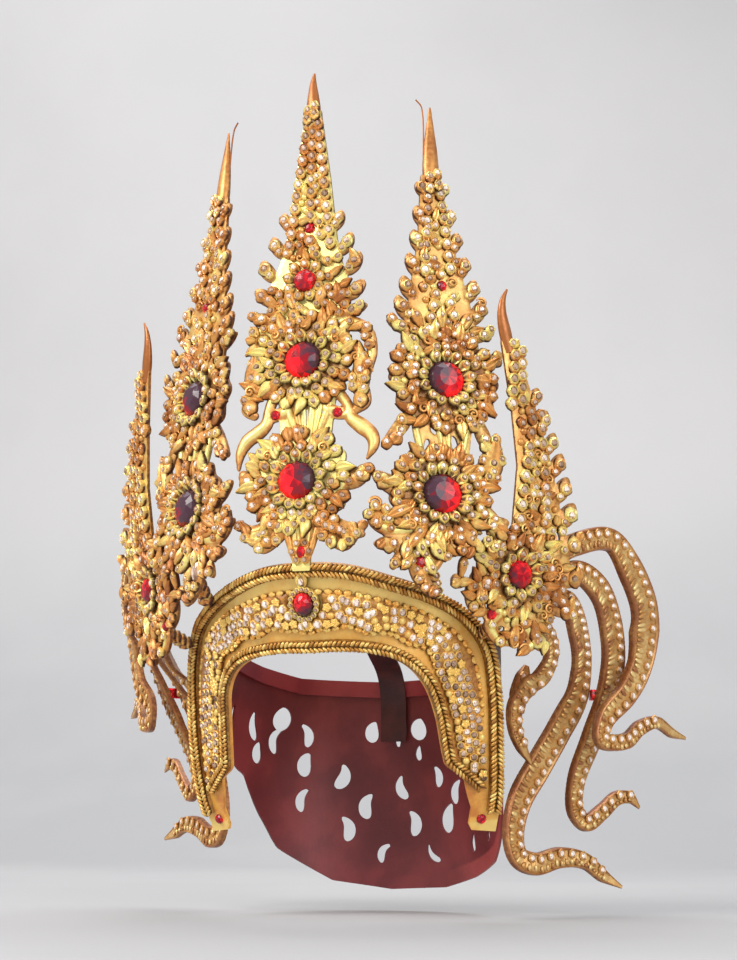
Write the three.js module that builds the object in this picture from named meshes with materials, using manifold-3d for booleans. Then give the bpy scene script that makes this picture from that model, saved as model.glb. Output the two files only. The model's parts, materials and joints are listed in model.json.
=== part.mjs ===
// Headdress: a gilt brow band with braided cords, five pierced spire plates, naga tail strips
// and a pierced lacquered panel round the back of the head. Millimetres, +Z up, front towards -Y.
import * as THREE from 'three';
import { mergeVertices } from 'three/addons/utils/BufferGeometryUtils.js';
import Module from 'manifold-3d';

const wasm = await Module();
wasm.setup();

// Clearances and wall thicknesses
const GAP = 0.3;
const SEAT_GAP = 0.8;
const BAND_THICK = 2.4;
const PLATE_HALF = 1.0;
const PANEL_THICK = 2.0;
const RING_THICK = 2.6;
const STRAP_THICK = 2.0;

// Plan of the wall round the head: half width, depth behind the origin
const HEAD_HALF_WIDTH = 101;
const HEAD_DEPTH = 96;
const WALL_END_DEG = 117;
const WALL_STATIONS = 26;

// Braided cords: half width and height above the band
const OUTER_CORD = { half: 4.9, height: 4.6, inset: 4.2 };
const INNER_CORD = { half: 4.0, height: 4.0, inset: 3.8 };
const BAND_STATIONS = 32;
const STATION = 2 / BAND_STATIONS;

// Where the inner cord leaves the inner edge and crosses the leg
const CROSS_START = 0.8;
const CROSS_END = 1 - 2 * STATION;
const CROSS_RAISE = 0.6;

// Stone strip on the band: share of the band's width that it covers, height, stone rows
const STRIP_LOW = 0.29;
const STRIP_HIGH = 0.68;
const STRIP_HEIGHT = 2.0;
const STRIP_END = 1 - 3 * STATION;
const STRIP_STONE_HEIGHT = 2.2;
const STRIP_STATIONS = 52;
const STRIP_LIFT = 0.15;
const STRIP_SLOPE = 0.2;

// Relief heights on the spire plates
const ROSETTE_TOP = 2.5;
const PETAL_TOP = 4.6;
const BOSS_TOP = 4.2;
const BOSS_SIDES = 5;
const LARGE_STONE = 6;

// Prop behind a side plate
const PROP_ROOT = 3.2;
const PROP_SINK = 1.8;
const PROP_END = 1.8;

// Naga tails
const TAIL_THICK = 5.2;
const TAIL_NORMAL = new THREE.Vector3(0.85, -0.53, 0).normalize();

// Inner and outer edge of the band, from the middle of the brow down the wearer's left leg
const bandRows = [
  { ix: 0, iy: -92, iz: 2, ox: 0, oy: -112, oz: 56 },
  { ix: 16, iy: -90.5, iz: 2.5, ox: 28, oy: -107, oz: 54.5 },
  { ix: 31, iy: -86, iz: 2, ox: 53, oy: -94, oz: 48 },
  { ix: 46, iy: -80, iz: -1, ox: 76, oy: -69, oz: 40 },
  { ix: 58, iy: -72, iz: -7.5, ox: 93, oy: -50, oz: 28 },
  { ix: 66, iy: -62.5, iz: -19, ox: 103, oy: -34, oz: 10 },
  { ix: 70, iy: -51, iz: -37, ox: 106.5, oy: -27, oz: -18 },
  { ix: 72, iy: -42, iz: -60, ox: 106.5, oy: -21.5, oz: -54 },
  { ix: 75, iy: -31, iz: -82, ox: 104, oy: -13, oz: -86 },
  { ix: 84, iy: -14, iz: -108, ox: 98, oy: -5, oz: -109 },
];

// Frame of each plate: foot of its axis, turn about Z from the front, lean back, where it is propped
const CENTRE_PLATE = { x: 0, y: -116, z: 55, turn: 0, lean: 3 };
const MID_PLATE = { x: 89.8, y: -93.1, z: 48.2, turn: 34, lean: 5.6, propU: -14, propV: 8, propS: 0.33 };
const OUTER_PLATE = { x: 124.5, y: -52.5, z: 16.6, turn: 41, lean: -6, propU: -16, propV: 6, propS: 0.515 };

// Smooth ground of each plate: height, left edge, right edge
const centreGround = [
  { v: 340, left: -0.4, right: 1.2 },
  { v: 306, left: -4.8, right: 7.6 },
  { v: 262, left: -10, right: 14.5 },
  { v: 218, left: -15, right: 20 },
  { v: 200, left: -20, right: 24 },
  { v: 186, left: -26, right: 29 },
  { v: 156, left: -26, right: 28 },
  { v: 104, left: -17, right: 21 },
  { v: 84, left: -15, right: 19 },
  { v: 62, left: -24, right: 24 },
  { v: 36, left: -22, right: 24 },
  { v: 22, left: -11, right: 13 },
  { v: -5, left: -7, right: 9 },
];
const midGround = [
  { v: 328, left: 1, right: 2.6 },
  { v: 296, left: -5, right: 6 },
  { v: 271, left: -7.5, right: 7.5 },
  { v: 228, left: -11, right: 13 },
  { v: 195, left: -17, right: 21 },
  { v: 164, left: -23, right: 28 },
  { v: 120, left: -24, right: 28 },
  { v: 100, left: -18, right: 21 },
  { v: 80, left: -15, right: 18 },
  { v: 60, left: -24, right: 22 },
  { v: 38, left: -24, right: 24 },
  { v: 20, left: -27, right: 13 },
  { v: 8, left: -27, right: -7 },
  { v: -2, left: -24, right: -11 },
];
const outerGround = [
  { v: 219, left: -16.6, right: -15.2 },
  { v: 206, left: -21.4, right: -16.8 },
  { v: 183, left: -18.6, right: -7.5 },
  { v: 141, left: -9.6, right: 9 },
  { v: 105, left: -4, right: 22 },
  { v: 70, left: -6, right: 31 },
  { v: 54, left: -12, right: 36 },
  { v: 36, left: -22, right: 38 },
  { v: 4, left: -22, right: 22 },
  { v: -6, left: -14, right: 12 },
];

// Leaves round the edges: root, length, width, direction in degrees from straight up, towards the right
const centreLeaves = [
  { u: -14, v: 228, length: 10, width: 8, turn: -28 },
  { u: 19, v: 226, length: 10, width: 8, turn: 28 },
  { u: -19, v: 210, length: 12, width: 9, turn: -34 },
  { u: 24, v: 208, length: 12, width: 9, turn: 34 },
  { u: -25, v: 194, length: 12, width: 10, turn: -38 },
  { u: 29, v: 194, length: 12, width: 10, turn: 38 },
  { u: -24, v: 177, length: 13, width: 10, turn: -62 },
  { u: 28, v: 176, length: 13, width: 10, turn: 58 },
  { u: -20, v: 163, length: 18, width: 9, turn: -84 },
  { u: 22, v: 164, length: 18, width: 9, turn: 84 },
  { u: -34, v: 112, length: 33, width: 13, turn: -6 },
  { u: 37, v: 112, length: 33, width: 13, turn: 8 },
  { u: -29, v: 50, length: 15, width: 12, turn: -58 },
  { u: 31, v: 50, length: 17, width: 12, turn: 62 },
  { u: -12, v: 28, length: 26, width: 11, turn: -122 },
  { u: 14, v: 28, length: 28, width: 11, turn: 122 },
];
const midLeaves = [
  { u: -5, v: 262, length: 8, width: 8, turn: -40 },
  { u: 6, v: 262, length: 8, width: 8, turn: 40 },
  { u: -8, v: 240, length: 11, width: 8, turn: -24 },
  { u: 10, v: 240, length: 11, width: 8, turn: 24 },
  { u: -10, v: 221, length: 12, width: 9, turn: -26 },
  { u: 13, v: 222, length: 12, width: 9, turn: 26 },
  { u: -13, v: 203, length: 13, width: 9, turn: -30 },
  { u: 17, v: 204, length: 13, width: 9, turn: 30 },
  { u: -17, v: 186, length: 13, width: 10, turn: -32 },
  { u: 22, v: 188, length: 13, width: 10, turn: 32 },
  { u: -20, v: 171, length: 14, width: 10, turn: -36 },
  { u: 26, v: 173, length: 14, width: 10, turn: 34 },
  { u: -16, v: 161, length: 18, width: 9, turn: -78 },
  { u: 21, v: 160, length: 18, width: 9, turn: 80 },
  { u: 29, v: 140, length: 17, width: 10, turn: 64 },
  { u: -22, v: 104, length: 27, width: 10, turn: -151 },
  { u: 25, v: 102, length: 24, width: 10, turn: 166 },
  { u: 28, v: 62, length: 34, width: 17, turn: 24 },
  { u: -28, v: 52, length: 20, width: 12, turn: -70 },
  { u: -24, v: 34, length: 28, width: 13, turn: -96 },
  { u: -26, v: 20, length: 20, width: 11, turn: -108 },
  { u: 18, v: 32, length: 22, width: 13, turn: 92 },
];
const outerLeaves = [
  { u: 5, v: 146, length: 10, width: 8, turn: 30 },
  { u: 11, v: 131, length: 11, width: 9, turn: 34 },
  { u: 17, v: 116, length: 12, width: 9, turn: 34 },
  { u: 22, v: 102, length: 13, width: 10, turn: 36 },
  { u: 26, v: 86, length: 14, width: 11, turn: 38 },
  { u: 30, v: 70, length: 14, width: 12, turn: 44 },
  { u: 30, v: 52, length: 16, width: 13, turn: 62 },
  { u: 30, v: 34, length: 16, width: 13, turn: 88 },
  { u: 24, v: 18, length: 18, width: 13, turn: 112 },
  { u: 10, v: 2, length: 16, width: 12, turn: 152 },
  { u: -14, v: 50, length: 13, width: 11, turn: -20 },
  { u: -18, v: 24, length: 14, width: 11, turn: -76 },
];

// Scalloped rosettes: centre, radius, petals in the outer ring, stone radius left free in the middle
const centreRosettes = [
  { u: -1, v: 188.5, radius: 15, petals: 7, stone: 8.4 },
  { u: -0.6, v: 133.6, radius: 33, petals: 11, stone: 13 },
  { u: -2.5, v: 53.2, radius: 34, petals: 12, stone: 13.2 },
];
const midRosettes = [
  { u: 3, v: 128.4, radius: 36, petals: 12, stone: 13 },
  { u: -3, v: 50.8, radius: 33, petals: 11, stone: 13.6 },
];
const outerRosettes = [
  { u: -1.2, v: 34.6, radius: 26, petals: 10, stone: 9.6 },
];

// Plain scrolls cut from the plate: each row of a ribbon is a place and half its width
const centreScrolls = [
  [
    { u: -14, v: 100, half: 4.5 },
    { u: -25, v: 92, half: 5 },
    { u: -36, v: 80, half: 4.2 },
    { u: -43, v: 63, half: 1 },
  ],
  [
    { u: 18, v: 98, half: 4.5 },
    { u: 30, v: 93, half: 5 },
    { u: 41, v: 82, half: 4.2 },
    { u: 45, v: 62, half: 1 },
  ],
  [
    { u: -18, v: 148, half: 4.5 },
    { u: -28, v: 157, half: 4.2 },
    { u: -36, v: 151, half: 3.6 },
    { u: -34, v: 142, half: 2.4 },
  ],
  [
    { u: 20, v: 148, half: 4.5 },
    { u: 31, v: 157, half: 4.2 },
    { u: 42, v: 150, half: 4 },
    { u: 45, v: 136, half: 3.4 },
    { u: 42, v: 122, half: 2.4 },
  ],
];
const midScrolls = [
  [
    { u: -14, v: 2, half: 4 },
    { u: -6, v: -1, half: 3.6 },
    { u: 2, v: 8, half: 3.2 },
    { u: 9, v: 13, half: 2.8 },
    { u: 16, v: 11, half: 1.6 },
  ],
  [
    { u: -22, v: 28, half: 5 },
    { u: -38, v: 26, half: 4.4 },
    { u: -48, v: 32, half: 3.8 },
    { u: -47, v: 42, half: 2.4 },
  ],
  [
    { u: 20, v: 46, half: 5 },
    { u: 32, v: 36, half: 4.4 },
    { u: 36, v: 25, half: 3.6 },
    { u: 30, v: 17, half: 2 },
  ],
];
const outerScrolls = [
  [
    { u: -14, v: 10, half: 4.4 },
    { u: -20, v: 2, half: 4 },
    { u: -14, v: -7, half: 3.4 },
    { u: -4, v: -9, half: 2.2 },
  ],
  [
    { u: 4, v: 4, half: 5 },
    { u: 12, v: -7, half: 4.2 },
    { u: 4, v: -13, half: 3.2 },
  ],
];

// Bosses in columns up a spire: first height, last height, count, half spread at each end, columns
const centreBosses = [
  { from: 304, to: 214, count: 9, spreadTop: 2.5, spreadLow: 11, columns: 2, shift: 2 },
  { from: 176, to: 160, count: 2, spreadTop: 9, spreadLow: 12, columns: 2, shift: 1 },
];
const midBosses = [
  { from: 262, to: 206, count: 5, spreadTop: 3, spreadLow: 6, columns: 2, shift: 1 },
  { from: 186, to: 164, count: 3, spreadTop: 4, spreadLow: 12, columns: 2, shift: 3 },
];
const outerBosses = [
  { from: 182, to: 148, count: 4, spreadTop: 0, spreadLow: 0, columns: 1, shift: -8 },
  { from: 132, to: 78, count: 5, spreadTop: 4, spreadLow: 9, columns: 2, shift: 8 },
];

// Gaps pierced through a plate: centre, half width, half height, tilt in degrees
const centreGaps = [
  { u: -27, v: 128, half: 1.6, tall: 6, tilt: 8 },
  { u: 31, v: 128, half: 1.6, tall: 6, tilt: -8 },
  { u: -7.5, v: 95, half: 1.3, tall: 6, tilt: 6 },
  { u: 2, v: 96, half: 1.3, tall: 6, tilt: 0 },
  { u: 11.5, v: 95, half: 1.3, tall: 6, tilt: -6 },
  { u: -19, v: 158, half: 1.8, tall: 2.4, tilt: 40 },
  { u: 21, v: 158, half: 1.8, tall: 2.4, tilt: -40 },
];
const midGaps = [
  { u: -4.6, v: 94, half: 3, tall: 3.4, tilt: 60 },
  { u: 8, v: 85, half: 2.2, tall: 6, tilt: 8 },
  { u: -11, v: 83, half: 1.8, tall: 5, tilt: -12 },
  { u: -17, v: 156, half: 2, tall: 4.4, tilt: 10 },
  { u: 29, v: 147, half: 4.6, tall: 1.8, tilt: -20 },
  { u: 24, v: 156, half: 1.5, tall: 4, tilt: 0 },
  { u: -34, v: 38, half: 3.4, tall: 1.6, tilt: 10 },
  { u: 25, v: 29, half: 1.8, tall: 3.6, tilt: 20 },
];
const outerGaps = [
  { u: -8, v: 66, half: 1.4, tall: 4.5, tilt: -20 },
  { u: 27, v: 62, half: 1.5, tall: 4.5, tilt: 24 },
  { u: -12, v: 0, half: 2.6, tall: 1.6, tilt: 0 },
];

// Stones on the plates: place, half width, half height and height; large ones sit on a rosette
const centreStones = [
  { name: 'stone_centre_top', u: -1, v: 188.5, rx: 7.8, ry: 7.8, rise: 4.6 },
  { name: 'stone_centre_upper', u: -0.6, v: 133.6, rx: 12.3, ry: 12.3, rise: 7 },
  { name: 'stone_centre_lower', u: -2.5, v: 53.2, rx: 12.5, ry: 12.5, rise: 7 },
  { name: 'stone_centre_small', u: 1, v: 226, rx: 3.6, ry: 3.6, rise: 2.6 },
  { name: 'stone_centre_stem', u: 1, v: 7, rx: 3.4, ry: 4, rise: 2.6 },
  { name: 'stone_tail_scroll_r', u: 23, v: 97, rx: 3.4, ry: 3.4, rise: 2.4 },
  { name: 'stone_tail_scroll_l', u: -19, v: 98, rx: 3.4, ry: 3.4, rise: 2.4 },
];
const midStones = [
  { name: 'stone_mid_upper', u: 3, v: 128.4, rx: 12.3, ry: 12.6, rise: 7 },
  { name: 'stone_mid_lower', u: -3, v: 50.8, rx: 12.9, ry: 13, rise: 7 },
  { name: 'stone_mid_small', u: 4, v: 195, rx: 3.6, ry: 3.8, rise: 2.6 },
];
const MID_STEM_RED = { name: 'stone_mid_stem_r', u: -18.5, v: 6, rx: 3.6, ry: 3.6, rise: 2.6 };
const MID_STEM_CLEAR = { name: 'stone_mid_stem_l', u: -19, v: 8, rx: 5, ry: 9, rise: 3.4, clear: true };
const outerStones = [
  { name: 'stone_outer_main', u: -1.2, v: 34.6, rx: 8.9, ry: 9.4, rise: 5.4 },
  { name: 'stone_outer_foot', u: -19.5, v: 8.5, rx: 3.6, ry: 3.6, rise: 2.6 },
];

// Tails of the wearer's left side: x, y, z, width and how much higher the other side hangs
const tailRows = {
  tail_1: [
    { x: 147, y: -37, z: 65, wide: 14, lift: 0 },
    { x: 157, y: -14, z: 76, wide: 15.5, lift: 0 },
    { x: 177, y: 13, z: 82.5, wide: 16, lift: 0 },
    { x: 187.5, y: 30.5, z: 64.5, wide: 23.5, lift: 0 },
    { x: 193.5, y: 49, z: 42, wide: 26.5, lift: 2 },
    { x: 192.5, y: 56.5, z: 25, wide: 29, lift: 5 },
    { x: 188.5, y: 56, z: 2, wide: 21.5, lift: 9 },
    { x: 180, y: 46, z: -18, wide: 18, lift: 12 },
    { x: 166.5, y: 35.5, z: -35.5, wide: 15, lift: 15 },
    { x: 164, y: 31, z: -49, wide: 11.5, lift: 17 },
    { x: 178, y: 47.5, z: -50, wide: 11, lift: 18 },
    { x: 186, y: 63, z: -40.5, wide: 10.5, lift: 19 },
    { x: 196, y: 78, z: -36, wide: 8.5, lift: 20 },
    { x: 204.5, y: 90.5, z: -42.5, wide: 7, lift: 21 },
    { x: 213, y: 102, z: -46, wide: 2, lift: 22 },
  ],
  tail_2: [
    { x: 148, y: -34, z: 49.5, wide: 14, lift: 0 },
    { x: 158, y: -14, z: 58, wide: 15, lift: 0 },
    { x: 169, y: 11, z: 48, wide: 20, lift: 0 },
    { x: 172.5, y: 35.5, z: 25.5, wide: 23, lift: 2 },
    { x: 171, y: 50.5, z: 3, wide: 23, lift: 6 },
    { x: 164.5, y: 57.5, z: -22, wide: 21, lift: 10 },
    { x: 153, y: 58, z: -49, wide: 17.5, lift: 14 },
    { x: 142, y: 58.5, z: -76.5, wide: 14.5, lift: 17 },
    { x: 140.5, y: 62, z: -96.5, wide: 13, lift: 19 },
    { x: 147, y: 66, z: -104, wide: 12, lift: 21 },
    { x: 157, y: 74, z: -96.5, wide: 11, lift: 23 },
    { x: 166, y: 82.5, z: -87.5, wide: 10, lift: 25 },
    { x: 174, y: 89, z: -87, wide: 8.5, lift: 26 },
    { x: 180, y: 94, z: -94, wide: 2, lift: 28 },
  ],
  tail_3: [
    { x: 142.5, y: -37, z: 33.5, wide: 13, lift: 0 },
    { x: 151, y: -16, z: 38, wide: 15, lift: 0 },
    { x: 154, y: 8.5, z: 22, wide: 20, lift: 1 },
    { x: 151.5, y: 34, z: 1.5, wide: 21, lift: 4 },
    { x: 145, y: 47, z: -20, wide: 22, lift: 7 },
    { x: 132.5, y: 46.5, z: -43, wide: 21, lift: 9 },
    { x: 119.5, y: 40, z: -66.5, wide: 21, lift: 10 },
    { x: 108, y: 29.5, z: -90, wide: 19.5, lift: 11 },
    { x: 104, y: 26, z: -112.5, wide: 17, lift: 13 },
    { x: 107, y: 27, z: -126, wide: 15, lift: 15 },
    { x: 117, y: 33, z: -131, wide: 15, lift: 17 },
    { x: 132, y: 46, z: -127, wide: 14, lift: 20 },
    { x: 146.5, y: 57.5, z: -129.5, wide: 11, lift: 24 },
    { x: 157, y: 64.5, z: -139, wide: 9, lift: 28 },
    { x: 169, y: 72, z: -147, wide: 2, lift: 31 },
  ],
  tail_4: [
    { x: 127.5, y: -47, z: 14, wide: 10, lift: 0 },
    { x: 136, y: -18, z: 20, wide: 11, lift: 0 },
    { x: 136.5, y: 2, z: 6.5, wide: 14.5, lift: 0 },
    { x: 129, y: 11, z: -6.5, wide: 17, lift: 2 },
    { x: 118.5, y: 14.5, z: -15, wide: 15.5, lift: 4 },
    { x: 109, y: 18, z: -26, wide: 13, lift: 5 },
    { x: 107.5, y: 21, z: -42, wide: 10.5, lift: 6 },
    { x: 111, y: 25, z: -54, wide: 8.5, lift: 7 },
    { x: 116, y: 31, z: -65, wide: 2, lift: 8 },
  ],
};
const CURL_ROWS = [
  { x: 108.5, y: 23, z: -32, wide: 10, lift: 5 },
  { x: 110, y: 24.5, z: -18, wide: 14, lift: 5 },
  { x: 113, y: 26, z: -6, wide: 11, lift: 5 },
  { x: 115, y: 27, z: 1, wide: 4, lift: 5 },
];

// Top and bottom edge of the wall round the head, by angle from the back towards the wearer's left
const wallTop = [
  { deg: 0, z: -2.5 },
  { deg: 40, z: 0 },
  { deg: 60, z: 7 },
  { deg: 77, z: 15 },
  { deg: 96, z: 18 },
  { deg: 120, z: 18 },
];
const wallBottom = [
  { deg: -120, z: -48 },
  { deg: -88, z: -54 },
  { deg: -79, z: -60 },
  { deg: -68, z: -72 },
  { deg: -62, z: -92 },
  { deg: -50, z: -122 },
  { deg: -25, z: -145 },
  { deg: 0, z: -151 },
  { deg: 25, z: -149 },
  { deg: 43, z: -141 },
  { deg: 60, z: -130 },
  { deg: 74, z: -108 },
  { deg: 79, z: -72 },
  { deg: 85, z: -52 },
  { deg: 120, z: -46 },
];
const RING_TALL = 11.5;

// Pierced work of the back panel: angle, height, half width, half height, tilt and bend of the leaf
const panelGaps = [
  { deg: -76, z: -29, half: 2.2, tall: 8.5, tilt: 12, bend: 1.5 },
  { deg: -62, z: -35, half: 4.2, tall: 10, tilt: 0, bend: 2.5 },
  { deg: -48.8, z: -28, half: 8, tall: 5.6, tilt: 24, bend: -2 },
  { deg: -49.7, z: -46, half: 4, tall: 9, tilt: 20, bend: 4 },
  { deg: -60, z: -54, half: 5, tall: 6.4, tilt: 10, bend: 1.5 },
  { deg: -37.8, z: -41, half: 4, tall: 8, tilt: -16, bend: -3 },
  { deg: -36, z: -62, half: 6, tall: 7, tilt: 14, bend: 2 },
  { deg: -22, z: -70, half: 5, tall: 8, tilt: 16, bend: -3 },
  { deg: -7.1, z: -38, half: 5.4, tall: 6, tilt: 8, bend: 1.5 },
  { deg: 4.5, z: -42, half: 2, tall: 8, tilt: 14, bend: 1.5 },
  { deg: 14, z: -36, half: 7, tall: 5, tilt: 0, bend: 2 },
  { deg: 13, z: -54, half: 2.6, tall: 5, tilt: 0, bend: 0.8 },
  { deg: 6, z: -78, half: 4, tall: 8, tilt: -14, bend: 3 },
  { deg: 20.8, z: -71, half: 4, tall: 7, tilt: -16, bend: -2 },
  { deg: 38, z: -34, half: 6.5, tall: 5, tilt: -16, bend: 2 },
  { deg: 40, z: -54, half: 4.2, tall: 8.5, tilt: -20, bend: -4 },
  { deg: 52, z: -36, half: 4.2, tall: 9, tilt: 6, bend: -2.5 },
  { deg: 51, z: -62, half: 5, tall: 6, tilt: -10, bend: -1.5 },
  { deg: 66, z: -34, half: 2.4, tall: 8.5, tilt: -10, bend: -1.5 },
  { deg: 33, z: -82, half: 4.6, tall: 8, tilt: 16, bend: 3 },
  { deg: 28.5, z: -100, half: 6.2, tall: 9, tilt: 10, bend: 2 },
  { deg: 47, z: -90, half: 4, tall: 9, tilt: -18, bend: -3.5 },
  { deg: 42.5, z: -117, half: 2.6, tall: 6.4, tilt: -4, bend: 0.8 },
  { deg: 55, z: -111, half: 2.4, tall: 4.6, tilt: 0, bend: 0.8 },
  { deg: 20, z: -124, half: 2.4, tall: 8, tilt: -40, bend: 3 },
  { deg: 9, z: -104, half: 5, tall: 8, tilt: -12, bend: -3 },
  { deg: -9, z: -92, half: 5, tall: 8, tilt: 12, bend: 3 },
  { deg: -20, z: -108, half: 4.6, tall: 8, tilt: -14, bend: -3 },
  { deg: -2, z: -126, half: 3, tall: 7, tilt: 30, bend: 3 },
  { deg: -37, z: -88, half: 4, tall: 8, tilt: 20, bend: 3 },
];

// Strap over the crown, from the back to the brow: y, z
const strapRows = [
  { y: 89.4, z: -46 },
  { y: 89.4, z: -14 },
  { y: 80, z: 2 },
  { y: 56, z: 15 },
  { y: 10, z: 36 },
  { y: -50, z: 44 },
  { y: -102.6, z: 40.5 },
];
const STRAP_X = 3;
const STRAP_HALF = 9.8;

// Finishes
function finish(color, roughness, metalness) {
  return new THREE.MeshStandardMaterial({ color, roughness, metalness });
}
const GILT = finish('#d8a23f', 0.36, 0.85);
const BAND_GILT = finish('#e0b64c', 0.42, 0.8);
const CORD = finish('#b9852f', 0.5, 0.7);
const TAIL_GILT = finish('#a8702f', 0.45, 0.75);
const RED_STONE = finish('#c30f20', 0.08, 0.1);
const CLEAR_STONE = finish('#d9dbe6', 0.06, 0.3);
const LACQUER = finish('#74212a', 0.5, 0.05);
const RIM_LACQUER = finish('#8e2a33', 0.45, 0.05);
const STRAP_HIDE = finish('#3e1412', 0.6, 0);

const rad = (deg) => deg * Math.PI / 180;
const vec = (x, y, z) => new THREE.Vector3(x, y, z);

// Closed surface from positions and triangles, turned so that its volume is positive
function surface(points, faces) {
  let volume = 0;
  for (const [a, b, c] of faces) {
    volume += points[a].dot(vec(0, 0, 0).crossVectors(points[b], points[c]));
  }
  const index = [];
  for (const [a, b, c] of faces) {
    index.push(a, volume < 0 ? c : b, volume < 0 ? b : c);
  }
  const geometry = new THREE.BufferGeometry();
  const places = points.flatMap((p) => p.toArray());
  geometry.setAttribute('position', new THREE.Float32BufferAttribute(places, 3));
  geometry.setIndex(index);
  return geometry;
}

// Closed loft through rings of equal size, each end closed by a fan about its middle
function loft(rings) {
  const size = rings[0].length;
  const points = rings.flat();
  const faces = [];
  for (let i = 0; i + 1 < rings.length; i += 1) {
    for (let j = 0; j < size; j += 1) {
      const k = (j + 1) % size;
      const low = i * size;
      const high = low + size;
      faces.push([low + j, low + k, high + k]);
      faces.push([low + j, high + k, high + j]);
    }
  }
  for (const end of [0, rings.length - 1]) {
    const middle = vec(0, 0, 0);
    rings[end].forEach((p) => middle.addScaledVector(p, 1 / size));
    points.push(middle);
    const hub = points.length - 1;
    for (let j = 0; j < size; j += 1) {
      const a = end * size + j;
      const b = end * size + (j + 1) % size;
      faces.push(end === 0 ? [hub, b, a] : [hub, a, b]);
    }
  }
  return surface(points, faces);
}

function solid(geometry) {
  const bare = geometry.clone();
  bare.deleteAttribute('normal');
  bare.deleteAttribute('uv');
  const welded = mergeVertices(bare, 1e-4);
  const triVerts = new Uint32Array(welded.index.array);
  const vertProperties = new Float32Array(welded.attributes.position.array);
  return new wasm.Manifold(new wasm.Mesh({ numProp: 3, vertProperties, triVerts }));
}

function geometryOf(body) {
  const mesh = body.getMesh();
  const geometry = new THREE.BufferGeometry();
  geometry.setAttribute('position', new THREE.BufferAttribute(new Float32Array(mesh.vertProperties), 3));
  geometry.setIndex(new THREE.BufferAttribute(new Uint32Array(mesh.triVerts), 1));
  return geometry;
}

function mirrored(geometry) {
  const turned = geometry.clone();
  const place = turned.attributes.position;
  for (let i = 0; i < place.count; i += 1) {
    place.setX(i, -place.getX(i));
  }
  const order = turned.index.array;
  for (let i = 0; i < order.length; i += 3) {
    [order[i + 1], order[i + 2]] = [order[i + 2], order[i + 1]];
  }
  return turned;
}

const join = (bodies) => bodies.reduce((sum, body) => sum.add(body));

const headdress = new THREE.Group();
headdress.name = 'thai_headdress';

function place(name, geometry, material) {
  const shown = geometry.index ? geometry.toNonIndexed() : geometry;
  shown.computeVertexNormals();
  const mesh = new THREE.Mesh(shown, material);
  mesh.name = name;
  headdress.add(mesh);
}

// Band: point, outward normal and crosswise direction at station s (-1 to 1) and share w of its width
function edgeCurve(x, y, z) {
  const oneSide = bandRows.map((row) => vec(row[x], row[y], row[z]));
  const otherSide = bandRows.slice(1).reverse().map((row) => vec(-row[x], row[y], row[z]));
  return new THREE.CatmullRomCurve3([...otherSide, ...oneSide], false, 'centripetal');
}
const innerEdge = edgeCurve('ix', 'iy', 'iz');
const outerEdge = edgeCurve('ox', 'oy', 'oz');

function bandFrame(s) {
  const t = (s + 1) / 2;
  const inner = innerEdge.getPoint(t);
  const outer = outerEdge.getPoint(t);
  const across = outer.clone().sub(inner);
  const width = across.length();
  across.normalize();
  const along = innerEdge.getTangent(t).add(outerEdge.getTangent(t));
  const normal = vec(0, 0, 0).crossVectors(along, across).normalize();
  if (normal.dot(vec(inner.x, inner.y - 30, 0)) < 0) {
    normal.negate();
  }
  const at = (distance, height) => inner.clone()
    .addScaledVector(across, distance)
    .addScaledVector(normal, height);
  return { at, width, normal, across };
}

function stations(count, from, to) {
  return Array.from({ length: count + 1 }, (_, i) => from + (to - from) * i / count);
}

function bandLoft(back, front, spare) {
  return loft(stations(BAND_STATIONS, -1, 1).map((s) => {
    const { at, width } = bandFrame(s);
    const outerSeam = width - OUTER_CORD.inset - OUTER_CORD.half;
    const innerSeam = INNER_CORD.inset + INNER_CORD.half;
    return [
      at(-spare, back),
      at(width + spare, back),
      at(width + spare, front),
      at(outerSeam, front),
      at(innerSeam, front),
      at(-spare, front),
    ];
  }));
}

// Two rounded ropes side by side on one foot; grown by a clearance, the foot goes down to the band
function cordRing(frame, middle, half, height, grow, raise) {
  const profile = [[-1, 0], [-0.6, 1], [0, 0.6], [0.6, 1], [1, 0]];
  const seat = BAND_THICK / 2 + SEAT_GAP + raise;
  const foot = grow > 0 ? BAND_THICK / 2 : seat;
  return profile.map(([side, up]) => {
    const rise = up > 0 ? seat + up * height + grow : foot;
    return frame.at(middle + side * (half + grow), rise);
  });
}

function outerCordLoft(grow) {
  const { half, height, inset } = OUTER_CORD;
  return loft(stations(BAND_STATIONS - 2, -1 + STATION, 1 - STATION).map((s) => {
    const frame = bandFrame(s);
    return cordRing(frame, frame.width - inset, half, height, grow, 0);
  }));
}

function innerCordLoft() {
  const { half, height, inset } = INNER_CORD;
  return loft(stations(BAND_STATIONS - 4, -CROSS_END, CROSS_END).map((s) => {
    const frame = bandFrame(s);
    const crossing = Math.max(0, (Math.abs(s) - CROSS_START) / (CROSS_END - CROSS_START));
    const far = frame.width - OUTER_CORD.inset - OUTER_CORD.half - half - 1.2;
    const middle = inset + (far - inset) * crossing ** 1.3;
    return cordRing(frame, middle, half, height, 0, CROSS_RAISE * crossing);
  }));
}

const bandBody = solid(bandLoft(-BAND_THICK / 2, BAND_THICK / 2, 0));
place('brow_band', geometryOf(bandBody), BAND_GILT);

// Space that the plates and the back pieces keep clear of
const bandClear = solid(bandLoft(-BAND_THICK / 2 - GAP, BAND_THICK / 2 + GAP, GAP));
const bandSpace = bandClear.add(solid(outerCordLoft(GAP)));
const bandFront = solid(bandLoft(-BAND_THICK / 2 - GAP, 46, 0));
place('outer_cord', outerCordLoft(0), CORD);
place('inner_cord', innerCordLoft(), CORD);

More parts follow.
